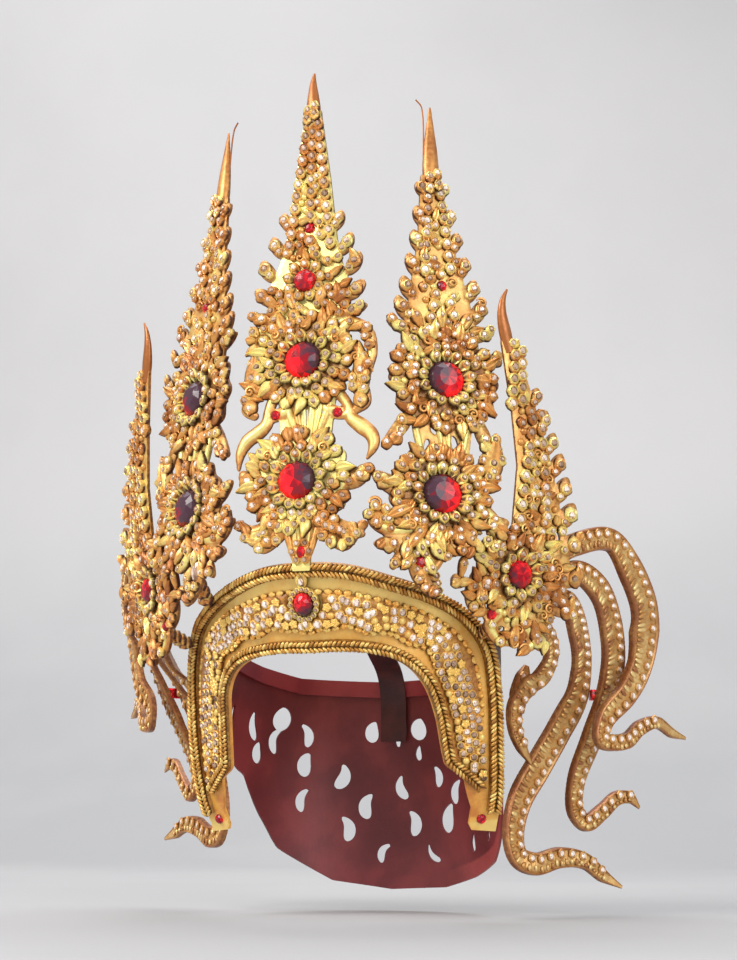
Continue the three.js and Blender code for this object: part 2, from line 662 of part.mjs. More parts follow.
// Polygon in a plate's own plane, thick from one depth to another
function slab(points, back, front) {
  const shape = new THREE.Shape(points.map(([u, v]) => new THREE.Vector2(u, v)));
  const geometry = new THREE.ExtrudeGeometry(shape, { depth: front - back, bevelEnabled: false });
  geometry.translate(0, 0, back);
  return solid(geometry);
}

function groundSlab(rows) {
  const left = rows.map((row) => [row.left, row.v]);
  const right = rows.map((row) => [row.right, row.v]).reverse();
  return slab([...left, ...right], -PLATE_HALF, PLATE_HALF);
}

function leafSlab({ u, v, length, width, turn }) {
  const outline = [[-0.45, -0.1], [-0.5, 0.34], [0.04, 1], [0.5, 0.3], [0.45, -0.1]];
  const angle = rad(turn);
  const points = outline.map(([side, up]) => {
    const across = side * width;
    const along = up * length;
    return [
      u + across * Math.cos(angle) + along * Math.sin(angle),
      v - across * Math.sin(angle) + along * Math.cos(angle),
    ];
  });
  return slab(points, -PLATE_HALF, PLATE_HALF);
}

function rosetteSlab({ u, v, radius, petals }) {
  const points = [];
  for (let i = 0; i < petals; i += 1) {
    const angle = Math.PI * 2 * i / petals;
    points.push([u + radius * Math.sin(angle), v + radius * Math.cos(angle)]);
  }
  return slab(points, -PLATE_HALF, ROSETTE_TOP);
}

function ribbonSlab(rows) {
  const curve = new THREE.CatmullRomCurve3(rows.map((row) => vec(row.u, row.v, 0)), false, 'centripetal');
  const width = new THREE.CatmullRomCurve3(rows.map((row, i) => vec(i, row.half, 0)));
  const steps = rows.length;
  const left = [];
  const right = [];
  for (let i = 0; i <= steps; i += 1) {
    const point = curve.getPoint(i / steps);
    const along = curve.getTangent(i / steps);
    const half = width.getPoint(i / steps).y;
    left.push([point.x - along.y * half, point.y + along.x * half]);
    right.unshift([point.x + along.y * half, point.y - along.x * half]);
  }
  return slab([...left, ...right], -PLATE_HALF, PLATE_HALF);
}

// Raised pointed petal: a low ridge on a four-cornered foot
function petal(u, v, length, width, turn, top) {
  const angle = rad(turn);
  const spot = (side, up, height) => vec(
    u + side * Math.cos(angle) + up * Math.sin(angle),
    v - side * Math.sin(angle) + up * Math.cos(angle),
    height,
  );
  const points = [
    spot(0, 0, 0.4),
    spot(-width / 2, length * 0.4, 0.4),
    spot(0, length, 0.4),
    spot(width / 2, length * 0.4, 0.4),
    spot(0, length * 0.4, top),
  ];
  return solid(surface(points, [[0, 1, 4], [1, 2, 4], [2, 3, 4], [3, 0, 4], [0, 2, 1], [0, 3, 2]]));
}

function boss(u, v, radius, top) {
  const geometry = new THREE.ConeGeometry(radius, top - 0.4, BOSS_SIDES);
  geometry.rotateX(Math.PI / 2);
  geometry.translate(u, v, (top + 0.4) / 2);
  return solid(geometry);
}

// Two rings of petals round a stone: short ones at the stone, longer ones at the rim
function rosettePetals({ u, v, radius, petals, stone }) {
  const parts = [];
  for (let i = 0; i < petals; i += 1) {
    const turn = 360 * i / petals;
    const inner = stone + 0.8;
    const length = radius - inner - 0.6;
    const width = 1.8 * Math.PI * (inner + length * 0.4) / petals;
    const start = [u + inner * Math.sin(rad(turn)), v + inner * Math.cos(rad(turn))];
    parts.push(petal(start[0], start[1], length, width, turn, PETAL_TOP));
  }
  return parts;
}

function bossColumns({ from, to, count, spreadTop, spreadLow, columns, shift }) {
  const parts = [];
  for (let i = 0; i < count; i += 1) {
    const share = count > 1 ? i / (count - 1) : 0;
    const v = from + (to - from) * share;
    const spread = spreadTop + (spreadLow - spreadTop) * share;
    for (let c = 0; c < columns; c += 1) {
      const side = columns > 1 ? (c / (columns - 1)) * 2 - 1 : 0;
      parts.push({ u: shift + side * spread, v: v + side * 1.5, radius: 2.8 + share * 1.1 });
    }
  }
  return parts;
}

const clearOf = (stones) => (spot) => stones.every((stone) => {
  const reach = Math.max(stone.rx, stone.ry) + spot.radius + 0.6;
  return Math.hypot(spot.u - stone.u, spot.v - stone.v) > reach;
});

function gapPrism({ u, v, half, tall, tilt }) {
  const outline = [[0, -1], [0.9, 0], [0, 1], [-0.9, 0]];
  const angle = rad(tilt);
  const points = outline.map(([side, up]) => [
    u + side * half * Math.cos(angle) - up * tall * Math.sin(angle),
    v + side * half * Math.sin(angle) + up * tall * Math.cos(angle),
  ]);
  return slab(points, -6, 9);
}

function plateBody(spec) {
  const bosses = spec.bosses.flatMap(bossColumns).filter(clearOf(spec.stones));
  const edges = [...spec.leaves.map(leafSlab), ...spec.scrolls.map(ribbonSlab)];
  const sheet = join([groundSlab(spec.ground), ...edges]);
  const flat = solid(geometryOf(sheet)).add(join(spec.rosettes.map(rosetteSlab)));
  const studs = bosses.map(({ u, v, radius }) => boss(u, v, radius, BOSS_TOP));
  const raised = join([...studs, ...spec.rosettes.flatMap(rosettePetals)]);
  const pierced = solid(geometryOf(flat)).subtract(join(spec.gaps.map(gapPrism)));
  return solid(geometryOf(pierced)).add(raised);
}

function plateMatrix({ x, y, z, turn, lean }) {
  const angle = rad(turn);
  const tip = rad(lean);
  const flat = vec(Math.sin(angle), -Math.cos(angle), 0);
  const across = vec(Math.cos(angle), Math.sin(angle), 0);
  const up = vec(0, 0, Math.cos(tip)).addScaledVector(flat, -Math.sin(tip));
  const out = vec(0, 0, Math.sin(tip)).addScaledVector(flat, Math.cos(tip));
  return new THREE.Matrix4().makeBasis(across, up, out).setPosition(x, y, z);
}

// Prop from the back of a plate to the braided edge of the band
function prop(plate, matrix) {
  const start = vec(plate.propU, plate.propV, -PROP_SINK).applyMatrix4(matrix);
  const frame = bandFrame(plate.propS);
  const end = frame.at(frame.width - OUTER_CORD.inset, BAND_THICK / 2 + SEAT_GAP + OUTER_CORD.height / 2);
  const along = end.clone().sub(start).normalize();
  const side = vec(0, 0, 0).crossVectors(along, vec(0, 0, 1)).normalize();
  const up = vec(0, 0, 0).crossVectors(side, along);
  const ring = (point, radius) => Array.from({ length: 6 }, (_, i) => point.clone()
    .addScaledVector(side, radius * Math.cos(i * Math.PI / 3))
    .addScaledVector(up, radius * Math.sin(i * Math.PI / 3)));
  return solid(loft([ring(start, PROP_ROOT), ring(end, PROP_END)]));
}

// Cut stone: flat foot, girdle, crown facets and a table
function stoneGeometry({ u, v, rx, ry, rise, seat }) {
  const large = rx > LARGE_STONE;
  const sides = large ? 9 : 8;
  const foot = GAP + (seat ?? (large ? ROSETTE_TOP : PLATE_HALF));
  const level = (share, height) => Array.from({ length: sides }, (_, i) => {
    const angle = Math.PI * 2 * (i + 0.5) / sides;
    return vec(u + rx * share * Math.cos(angle), v + ry * share * Math.sin(angle), foot + rise * height);
  });
  const table = level(0.55, 1);
  return loft(large ? [level(1, 0), level(0.86, 0.58), table] : [level(1, 0), table]);
}

function placeStone(stone, matrix, name, flip) {
  const geometry = stoneGeometry(stone).applyMatrix4(matrix);
  place(name, flip ? mirrored(geometry) : geometry, stone.clear ? CLEAR_STONE : RED_STONE);
}

const centreSpec = {
  ground: centreGround, leaves: centreLeaves, scrolls: centreScrolls, rosettes: centreRosettes,
  bosses: centreBosses, gaps: centreGaps, stones: centreStones,
};
const midSpec = {
  ground: midGround, leaves: midLeaves, scrolls: midScrolls, rosettes: midRosettes,
  bosses: midBosses, gaps: midGaps, stones: [...midStones, MID_STEM_CLEAR],
};
const outerSpec = {
  ground: outerGround, leaves: outerLeaves, scrolls: outerScrolls, rosettes: outerRosettes,
  bosses: outerBosses, gaps: outerGaps, stones: outerStones,
};

const centreMatrix = plateMatrix(CENTRE_PLATE);
const centreBody = solid(geometryOf(plateBody(centreSpec)).applyMatrix4(centreMatrix)).subtract(bandSpace);
place('spire_centre', geometryOf(centreBody), GILT);
centreStones.forEach((stone) => placeStone(stone, centreMatrix, stone.name, false));

const midMatrix = plateMatrix(MID_PLATE);
const midWorld = solid(geometryOf(plateBody(midSpec)).applyMatrix4(midMatrix));
const midGeometry = geometryOf(midWorld.add(prop(MID_PLATE, midMatrix)).subtract(bandSpace));
place('spire_mid_r', midGeometry, GILT);
place('spire_mid_l', mirrored(midGeometry), GILT);
midStones.forEach((stone) => {
  placeStone(stone, midMatrix, `${stone.name}_r`, false);
  placeStone(stone, midMatrix, `${stone.name}_l`, true);
});
placeStone(MID_STEM_RED, midMatrix, MID_STEM_RED.name, false);
placeStone(MID_STEM_CLEAR, midMatrix, MID_STEM_CLEAR.name, true);

const outerMatrix = plateMatrix(OUTER_PLATE);
const outerWorld = solid(geometryOf(plateBody(outerSpec)).applyMatrix4(outerMatrix));
const outerGeometry = geometryOf(outerWorld.add(prop(OUTER_PLATE, outerMatrix)).subtract(bandSpace));
place('spire_outer_r', outerGeometry, GILT);
place('spire_outer_l', mirrored(outerGeometry), GILT);
outerStones.forEach((stone) => {
  placeStone(stone, outerMatrix, `${stone.name}_r`, false);
  placeStone(stone, outerMatrix, `${stone.name}_l`, true);
});

// Stone strip on the band, with a point under the brow stone and two rows of cut stones
const BROW_S = 0;
const BROW_SHARE = 0.56;
const BROW_RX = 6.6;
const BROW_RY = 7.9;
const SETTING_RIM = 3.2;
const SETTING_HEIGHT = 4;
const SETTING_STUDS = 9;
const SETTING_CLEAR = 0.6;

function bandMatrix(s, share, height) {
  const frame = bandFrame(s);
  const along = vec(0, 0, 0).crossVectors(frame.across, frame.normal);
  const origin = frame.at(frame.width * share, height);
  return new THREE.Matrix4().makeBasis(along, frame.across, frame.normal).setPosition(origin);
}

function stripLow(s) {
  const point = Math.max(0, 1 - Math.abs(s) / 0.05);
  const dip = 0.025 * Math.cos(Math.abs(s) * Math.PI * 14);
  return STRIP_LOW - 0.1 * point + dip;
}

const stripFoot = BAND_THICK / 2 + SEAT_GAP;
const stripBase = solid(loft(stations(STRIP_STATIONS, -STRIP_END, STRIP_END).map((s, i) => {
  const { at, width } = bandFrame(s);
  const narrow = Math.min(1, (STRIP_END - Math.abs(s)) / 0.16 + 0.25);
  const middle = (STRIP_LOW + STRIP_HIGH) / 2;
  const low = width * (middle + (stripLow(s) - middle) * narrow);
  const high = width * (middle + (STRIP_HIGH - middle) * narrow);
  const crown = stripFoot + STRIP_HEIGHT + (i % 2 === 1 ? STRIP_STONE_HEIGHT : 0);
  const span = high - low;
  return [
    at(low, stripFoot + STRIP_LIFT),
    at(low + span * STRIP_SLOPE, crown),
    at(high - span * STRIP_SLOPE, crown),
    at(high, stripFoot + STRIP_LIFT),
  ];
})));
function settingDisc(rx, ry, low, high) {
  const geometry = new THREE.CylinderGeometry(1, 1, high - low, 12);
  geometry.rotateX(Math.PI / 2);
  geometry.scale(rx, ry, 1);
  geometry.translate(0, 0, (high + low) / 2);
  return geometry;
}
const browMatrix = bandMatrix(BROW_S, BROW_SHARE, stripFoot);
const spaceRim = SETTING_RIM + SETTING_CLEAR;
const browSpace = settingDisc(BROW_RX + spaceRim, BROW_RY + spaceRim, -1, 12);
const stripBody = stripBase.subtract(solid(browSpace.applyMatrix4(browMatrix)));
place('brow_stone_strip', geometryOf(stripBody), BAND_GILT);

const settingParts = [solid(settingDisc(BROW_RX + SETTING_RIM, BROW_RY + SETTING_RIM, 0, SETTING_HEIGHT))];
for (let i = 0; i < SETTING_STUDS; i += 1) {
  const angle = Math.PI * 2 * i / SETTING_STUDS;
  const geometry = new THREE.ConeGeometry(1.7, 2.4, BOSS_SIDES);
  geometry.rotateX(Math.PI / 2);
  const u = (BROW_RX + 1.5) * Math.cos(angle);
  const v = (BROW_RY + 1.5) * Math.sin(angle);
  geometry.translate(u, v, SETTING_HEIGHT + 0.8);
  settingParts.push(solid(geometry));
}
place('brow_setting', geometryOf(join(settingParts)).applyMatrix4(browMatrix), GILT);
const BROW_STONE = { u: 0, v: 0, rx: BROW_RX - 0.4, ry: BROW_RY - 0.4, rise: 5, seat: SETTING_HEIGHT };
placeStone(BROW_STONE, browMatrix, 'brow_stone', false);

// Small red stone on the tip of each leg
const tipMatrix = bandMatrix(0.965, 0.5, BAND_THICK / 2);
const TIP_STONE = { u: 0, v: 0, rx: 3.4, ry: 3.4, rise: 2.6, seat: 0 };
placeStone(TIP_STONE, tipMatrix, 'leg_stone_r', false);
placeStone(TIP_STONE, tipMatrix, 'leg_stone_l', true);

// Tails: a strip with a ridged face, tapering to a flicked point
function tailLoft(rows, raised, grow) {
  const points = rows.map((row) => vec(row.x, row.y, row.z + raised * row.lift));
  const curve = new THREE.CatmullRomCurve3(points, false, 'centripetal');
  const widths = new THREE.CatmullRomCurve3(rows.map((row, i) => vec(i, row.wide, 0)));
  const steps = rows.length;
  const rings = [];
  for (let i = 0; i <= steps; i += 1) {
    const t = i / steps;
    const point = curve.getPoint(t);
    const side = vec(0, 0, 0).crossVectors(curve.getTangent(t), TAIL_NORMAL).normalize();
    const wide = Math.max(1.2, widths.getPoint(t).y) / 2 + grow;
    const thick = TAIL_THICK * Math.min(1, wide / 6);
    const at = (across, out) => point.clone()
      .addScaledVector(side, across)
      .addScaledVector(TAIL_NORMAL, out);
    rings.push([
      at(-wide, -thick / 2 - grow),
      at(-wide * 0.55, thick / 2 + grow),
      at(wide * 0.55, thick / 2 + grow),
      at(wide, -thick / 2 - grow),
    ]);
  }
  return loft(rings);
}

// Everything on the outer side of the outer plate's back face, which the tails stop short of
const plateFront = new THREE.BoxGeometry(300, 400, 60);
plateFront.translate(0, 60, 30 - PLATE_HALF - GAP);
const outerFront = solid(plateFront.applyMatrix4(outerMatrix));

for (const [side, raised] of [['r', 0], ['l', 1]]) {
  for (const name of Object.keys(tailRows)) {
    let body = solid(tailLoft(tailRows[name], raised, 0));
    if (name === 'tail_4') {
      body = body.add(solid(tailLoft(CURL_ROWS, raised, 0)));
    }
    const geometry = geometryOf(body.subtract(outerFront));
    place(`${name}_${side}`, side === 'l' ? mirrored(geometry) : geometry, TAIL_GILT);
  }
  const bridgeRows = [2, 3].map((number) => solid(tailLoft(tailRows[`tail_${number}`], raised, GAP * 2)));
  const block = new THREE.BoxGeometry(22, 10, 8);
  const bridgeFrom = vec(147, 50, -18 + raised * 7);
  const bridgeTo = vec(167, 59, -18 + raised * 9.5);
  const reach = bridgeTo.clone().sub(bridgeFrom).normalize();
  const out = vec(reach.y, -reach.x, 0).normalize();
  const rise = vec(0, 0, 0).crossVectors(reach, out);
  const middle = bridgeFrom.clone().add(bridgeTo).multiplyScalar(0.5);
  block.applyMatrix4(new THREE.Matrix4().makeBasis(reach, out, rise).setPosition(middle));
  const left = solid(block).subtract(bridgeRows[0]).subtract(bridgeRows[1]).decompose();
  left.sort((a, b) => b.volume() - a.volume());
  const bridge = geometryOf(left[0]);
  place(`tail_bridge_${side}`, side === 'l' ? mirrored(bridge) : bridge, RED_STONE);
}

// Wall round the back of the head
function edgeHeight(rows, deg) {
  for (let i = 0; i + 1 < rows.length; i += 1) {
    if (deg <= rows[i + 1].deg) {
      const share = (deg - rows[i].deg) / (rows[i + 1].deg - rows[i].deg);
      return rows[i].z + (rows[i + 1].z - rows[i].z) * Math.max(0, share);
    }
  }
  return rows[rows.length - 1].z;
}
const topHeight = (deg) => edgeHeight(wallTop, Math.abs(deg));
const bottomHeight = (deg) => edgeHeight(wallBottom, deg);

function wallPoint(deg, inset, z) {
  const angle = rad(deg);
  return vec((HEAD_HALF_WIDTH - inset) * Math.sin(angle), (HEAD_DEPTH - inset) * Math.cos(angle), z);
}

function wallLoft(insetOut, insetIn, low, high) {
  return loft(stations(WALL_STATIONS, -WALL_END_DEG, WALL_END_DEG).map((deg) => [
    wallPoint(deg, insetOut, low(deg)),
    wallPoint(deg, insetIn, low(deg)),
    wallPoint(deg, insetIn, high(deg)),
    wallPoint(deg, insetOut, high(deg)),
  ]));
}

// Pierced leaf through the wall, bent to one side
function panelGap({ deg, z, half, tall, tilt, bend }) {
  const outline = [[0, -1], [0.95, -0.05], [-0.1, 1], [-0.8, 0]];
  const angle = rad(tilt);
  const points = outline.map(([side, up]) => {
    const across = side * half + bend * (1 - up * up);
    const along = up * tall;
    return [
      across * Math.cos(angle) - along * Math.sin(angle),
      across * Math.sin(angle) + along * Math.cos(angle),
    ];
  });
  const shape = new THREE.Shape(points.map(([a, b]) => new THREE.Vector2(a, b)));
  const geometry = new THREE.ExtrudeGeometry(shape, { depth: 16, bevelEnabled: false });
  const outward = vec(Math.sin(rad(deg)), Math.cos(rad(deg)), 0);
  const sideways = vec(-outward.y, outward.x, 0);
  const origin = wallPoint(deg, 8, z);
  geometry.applyMatrix4(new THREE.Matrix4().makeBasis(sideways, vec(0, 0, 1), outward).setPosition(origin));
  return solid(geometry);
}

const panelSolid = solid(wallLoft(0, PANEL_THICK, bottomHeight, topHeight));
const panelBody = panelSolid.subtract(join(panelGaps.map(panelGap))).subtract(bandFront);
place('back_panel', geometryOf(panelBody), LACQUER);

const ringInset = PANEL_THICK + GAP;
const ringFoot = (deg) => topHeight(deg) - RING_TALL;
const ringSolid = solid(wallLoft(ringInset, ringInset + RING_THICK, ringFoot, topHeight));
place('head_ring', geometryOf(ringSolid.subtract(bandFront)), RIM_LACQUER);

const strapPoints = strapRows.map((row) => vec(STRAP_X, row.y, row.z));
const strapCurve = new THREE.CatmullRomCurve3(strapPoints, false, 'centripetal');
const strapRings = stations(14, 0, 1).map((t) => {
  const point = strapCurve.getPoint(t);
  const along = strapCurve.getTangent(t);
  const up = vec(0, along.z, -along.y);
  const at = (x, height) => point.clone().add(vec(x, 0, 0)).addScaledVector(up, height);
  const half = STRAP_THICK / 2;
  return [at(-STRAP_HALF, -half), at(STRAP_HALF, -half), at(STRAP_HALF, half), at(-STRAP_HALF, half)];
});
place('top_strap', loft(strapRings), STRAP_HIDE);

export default headdress;
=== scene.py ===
"""Gilt dance headdress in a pale studio: braided brow band, cast spires, stone-set tails, lacquered wall."""

import json
import logging
import math
import random
from dataclasses import dataclass, field
from enum import Enum, IntEnum
from typing import Callable, ClassVar, NamedTuple, Sequence

import bpy
import numpy as np
from mathutils import Matrix, Vector
from mathutils.kdtree import KDTree

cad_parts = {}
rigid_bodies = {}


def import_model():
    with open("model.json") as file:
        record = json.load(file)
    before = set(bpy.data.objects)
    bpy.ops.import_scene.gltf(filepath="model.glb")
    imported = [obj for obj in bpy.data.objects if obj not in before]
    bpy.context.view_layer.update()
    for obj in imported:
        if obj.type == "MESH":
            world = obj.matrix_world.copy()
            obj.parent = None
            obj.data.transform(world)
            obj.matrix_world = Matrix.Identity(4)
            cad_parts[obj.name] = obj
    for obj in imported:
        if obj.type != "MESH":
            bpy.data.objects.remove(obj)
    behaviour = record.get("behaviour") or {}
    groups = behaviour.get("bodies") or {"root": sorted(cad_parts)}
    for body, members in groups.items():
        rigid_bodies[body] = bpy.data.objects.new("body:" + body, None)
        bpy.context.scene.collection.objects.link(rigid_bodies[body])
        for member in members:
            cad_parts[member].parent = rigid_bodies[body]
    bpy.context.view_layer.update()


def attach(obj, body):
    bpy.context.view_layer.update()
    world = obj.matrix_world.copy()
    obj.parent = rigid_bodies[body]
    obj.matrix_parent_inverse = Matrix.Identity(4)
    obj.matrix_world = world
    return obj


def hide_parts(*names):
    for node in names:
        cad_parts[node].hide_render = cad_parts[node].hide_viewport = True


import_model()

LOG = logging.getLogger("headdress")
MM = 0.001
Array = np.ndarray
Mapping = Callable[[Array], Array]

# Thicknesses, clearances and shared measures, in millimetres as all below but the studio
GAP = 0.3
SEAT_GAP = 0.8
BAND_THICK = 2.4
PLATE_HALF = 1.0
PANEL_THICK = 2.0
RING_THICK = 2.6
STRAP_THICK = 2.0
TAIL_THICK = 5.2
LONG_LEAF = 30.0
STATION = 2 / 32

# Plan of the wall round the head
HEAD_HALF_WIDTH = 101.0
HEAD_DEPTH = 96.0
WALL_END_DEG = 117.0
WALL_ARC = 98.5
RING_TALL = 11.5

# Stone strip and brow stone on the band
STRIP_LOW = 0.29
STRIP_HIGH = 0.68
STRIP_END = 1 - 3 * STATION
STRIP_FOOT = BAND_THICK / 2 + SEAT_GAP
BROW_SHARE = 0.56
BROW_RX = 6.6
BROW_RY = 7.9
SETTING_RIM = 3.2
SETTING_HEIGHT = 4.0
ROSETTE_TOP = 2.5
LARGE_STONE = 6.0
STRIP_POINT = 0.05
STRIP_POINT_DROP = 0.1
STRIP_WAVE = 0.025
STRIP_WAVES = 14
STRIP_TAPER = 0.16
STRIP_TIP = 0.25
CORD_SPACE = 1.2
CROSS_CURVE = 1.3

MIRROR = np.array([-1, 1, 1])
TAIL_NORMAL = np.array([0.85, -0.53, 0.0]) / math.hypot(0.85, 0.53)


class Slot(Enum):
    """Material slots of the record."""

    GILT = "gilt"
    BAND = "band_gilt"
    CORD = "cord_gilt"
    TAIL = "tail_gilt"
    RED = "red_stone"
    CLEAR = "clear_stone"
    LACQUER = "lacquer"
    RIM = "rim_lacquer"
    STRAP = "strap_hide"


class Side(Enum):
    """Wearer's left, which is the right of the picture, and its mirror image."""

    R = "r"
    L = "l"


class Motif(IntEnum):
    """Cast motifs, in the order in which the ornament tree finds them."""

    BEAD = 0
    CUP = 1
    FLAME_L = 2
    FLAME_R = 3
    PETAL = 4
    STITCH = 5
    STONE = 6
    VOLUTE_L = 7
    VOLUTE_R = 8
    LOBE = 9


MIRRORED = {
    Motif.FLAME_L: Motif.FLAME_R, Motif.FLAME_R: Motif.FLAME_L, Motif.VOLUTE_L: Motif.VOLUTE_R,
    Motif.VOLUTE_R: Motif.VOLUTE_L}


class GroundRow(NamedTuple):
    """Left and right edge of a plate's smooth ground at one height."""

    v: float
    left: float
    right: float


class Leaf(NamedTuple):
    """Leaf on a plate's edge: root, length, width, direction in degrees from straight up to the right."""

    u: float
    v: float
    length: float
    width: float
    turn: float


class Rosette(NamedTuple):
    """Round flower: centre, radius, petals of its rim, radius left free for its stone."""

    u: float
    v: float
    radius: float
    petals: int
    stone: float
    tone: float = 0.4


class RibbonRow(NamedTuple):
    """Place and half width of a plain scroll."""

    u: float
    v: float
    half: float


class BossRow(NamedTuple):
    """Columns of set stones up a spire."""

    start: float
    end: float
    count: int
    spread_top: float
    spread_low: float
    columns: int
    shift: float
    level: float = 1.6


class Gap(NamedTuple):
    """Pierced gap: centre, half width, half height, tilt in degrees."""

    u: float
    v: float
    half: float
    tall: float
    tilt: float


class Stone(NamedTuple):
    """Cut stone of the record: node, place, half sizes, height, direction of its painted bright side (painted
    reflection).
    """

    node: str
    u: float
    v: float
    rx: float
    ry: float
    rise: float
    shine: tuple[float, float] = (-0.7, -0.4)
    clear: bool = False


class Horn(NamedTuple):
    """One station of a smooth horn tip: height, middle, half width."""

    v: float
    u: float
    half: float


class Zone(NamedTuple):
    """Rectangle of a plate kept plain, so that its ground shows."""

    left: float
    right: float
    low: float
    high: float


class Reed(NamedTuple):
    """Straight rib of a fluted neck or stem: foot, head, half width at each end."""

    u: float
    v: float
    to_u: float
    to_v: float
    half: float
    to_half: float
    tone: float = 0.9


class TailRow(NamedTuple):
    """Place and width along a tail, and how much higher the other side hangs there."""

    x: float
    y: float
    z: float
    wide: float
    lift: float


class WallRow(NamedTuple):
    """Height of the wall's edge at an angle from the back."""

    deg: float
    z: float


class WallGap(NamedTuple):
    """Pierced leaf of the wall."""

    deg: float
    z: float
    half: float
    tall: float
    tilt: float
    bend: float


class Cord(NamedTuple):
    """Braided cord: half width, height and distance of its middle from the band's edge."""

    half: float
    height: float
    inset: float


def table_of(kind: type, *rows: Sequence[object]) -> tuple:
    """Makes the rows of a table, each of the same kind."""
    return tuple(kind(*row) for row in rows)


OUTER_CORD = Cord(4.9, 4.6, 4.2)
INNER_CORD = Cord(4.0, 4.0, 3.8)
CROSS_START = 0.8
CROSS_END = 1 - 2 * STATION

# Inner, then outer edge of the band at each station, from the brow down
BAND_ROWS = (
    (0, -92, 2, 0, -112, 56), (16, -90.5, 2.5, 28, -107, 54.5), (31, -86, 2, 53, -94, 48),
    (46, -80, -1, 76, -69, 40), (58, -72, -7.5, 93, -50, 28), (66, -62.5, -19, 103, -34, 10),
    (70, -51, -37, 106.5, -27, -18), (72, -42, -60, 106.5, -21.5, -54), (75, -31, -82, 104, -13, -86),
    (84, -14, -108, 98, -5, -109))

TAIL_ROWS = {
    "tail_1": table_of(
        TailRow, (147, -37, 65, 14, 0), (157, -14, 76, 15.5, 0), (177, 13, 82.5, 16, 0),
        (187.5, 30.5, 64.5, 23.5, 0), (193.5, 49, 42, 26.5, 2), (192.5, 56.5, 25, 29, 5),
        (188.5, 56, 2, 21.5, 9), (180, 46, -18, 18, 12), (166.5, 35.5, -35.5, 15, 15),
        (164, 31, -49, 11.5, 17), (178, 47.5, -50, 11, 18), (186, 63, -40.5, 10.5, 19),
        (196, 78, -36, 8.5, 20), (204.5, 90.5, -42.5, 7, 21), (213, 102, -46, 2, 22)),
    "tail_2": table_of(
        TailRow, (148, -34, 49.5, 14, 0), (158, -14, 58, 15, 0), (169, 11, 48, 20, 0),
        (172.5, 35.5, 25.5, 23, 2), (171, 50.5, 3, 23, 6), (164.5, 57.5, -22, 21, 10),
        (153, 58, -49, 17.5, 14), (142, 58.5, -76.5, 14.5, 17), (140.5, 62, -96.5, 13, 19),
        (147, 66, -104, 12, 21), (157, 74, -96.5, 11, 23), (166, 82.5, -87.5, 10, 25),
        (174, 89, -87, 8.5, 26), (180, 94, -94, 2, 28)),
    "tail_3": table_of(
        TailRow, (142.5, -37, 33.5, 13, 0), (151, -16, 38, 15, 0), (154, 8.5, 22, 20, 1),
        (151.5, 34, 1.5, 21, 4), (145, 47, -20, 22, 7), (132.5, 46.5, -43, 21, 9),
        (119.5, 40, -66.5, 21, 10), (108, 29.5, -90, 19.5, 11), (104, 26, -112.5, 17, 13),
        (107, 27, -126, 15, 15), (117, 33, -131, 15, 17), (132, 46, -127, 14, 20),
        (146.5, 57.5, -129.5, 11, 24), (157, 64.5, -139, 9, 28), (169, 72, -147, 2, 31)),
    "tail_4": table_of(
        TailRow, (127.5, -47, 14, 10, 0), (136, -18, 20, 11, 0), (136.5, 2, 6.5, 14.5, 0),
        (129, 11, -6.5, 17, 2), (118.5, 14.5, -15, 15.5, 4), (109, 18, -26, 13, 5),
        (107.5, 21, -42, 10.5, 6), (111, 25, -54, 8.5, 7), (116, 31, -65, 2, 8))}
CURL_ROWS = table_of(
    TailRow, (108.5, 23, -32, 10, 5), (110, 24.5, -18, 14, 5), (113, 26, -6, 11, 5), (115, 27, 1, 4, 5))

WALL_TOP = table_of(WallRow, (0, -2.5), (40, 0), (60, 7), (77, 15), (96, 18), (120, 18))
WALL_BOTTOM = table_of(
    WallRow, (-120, -48), (-88, -54), (-79, -60), (-68, -72), (-62, -92), (-50, -122), (-25, -145),
    (0, -151), (25, -149), (43, -141), (60, -130), (74, -108), (79, -72), (85, -52), (120, -46))
WALL_GAPS = table_of(
    WallGap, (-76, -29, 2.2, 8.5, 12, 1.5), (-62, -35, 4.2, 10, 0, 2.5), (-48.8, -28, 8, 5.6, 24, -2),
    (-49.7, -46, 4, 9, 20, 4), (-60, -54, 5, 6.4, 10, 1.5), (-37.8, -41, 4, 8, -16, -3),
    (-36, -62, 6, 7, 14, 2), (-22, -70, 5, 8, 16, -3), (-7.1, -38, 5.4, 6, 8, 1.5),
    (4.5, -42, 2, 8, 14, 1.5), (14, -36, 7, 5, 0, 2), (13, -54, 2.6, 5, 0, 0.8), (6, -78, 4, 8, -14, 3),
    (20.8, -71, 4, 7, -16, -2), (38, -34, 6.5, 5, -16, 2), (40, -54, 4.2, 8.5, -20, -4),
    (52, -36, 4.2, 9, 6, -2.5), (51, -62, 5, 6, -10, -1.5), (66, -34, 2.4, 8.5, -10, -1.5),
    (33, -82, 4.6, 8, 16, 3), (28.5, -100, 6.2, 9, 10, 2), (47, -90, 4, 9, -18, -3.5),
    (42.5, -117, 2.6, 6.4, -4, 0.8), (55, -111, 2.4, 4.6, 0, 0.8), (20, -124, 2.4, 8, -40, 3),
    (9, -104, 5, 8, -12, -3), (-9, -92, 5, 8, 12, 3), (-20, -108, 4.6, 8, -14, -3), (-2, -126, 3, 7, 30, 3),
    (-37, -88, 4, 8, 20, 3))

STRAP_ROWS = ((89.4, -46), (89.4, -14), (80, 2), (56, 15), (10, 36), (-50, 44), (-102.6, 40.5))
STRAP_X = 3.0
STRAP_HALF = 9.8


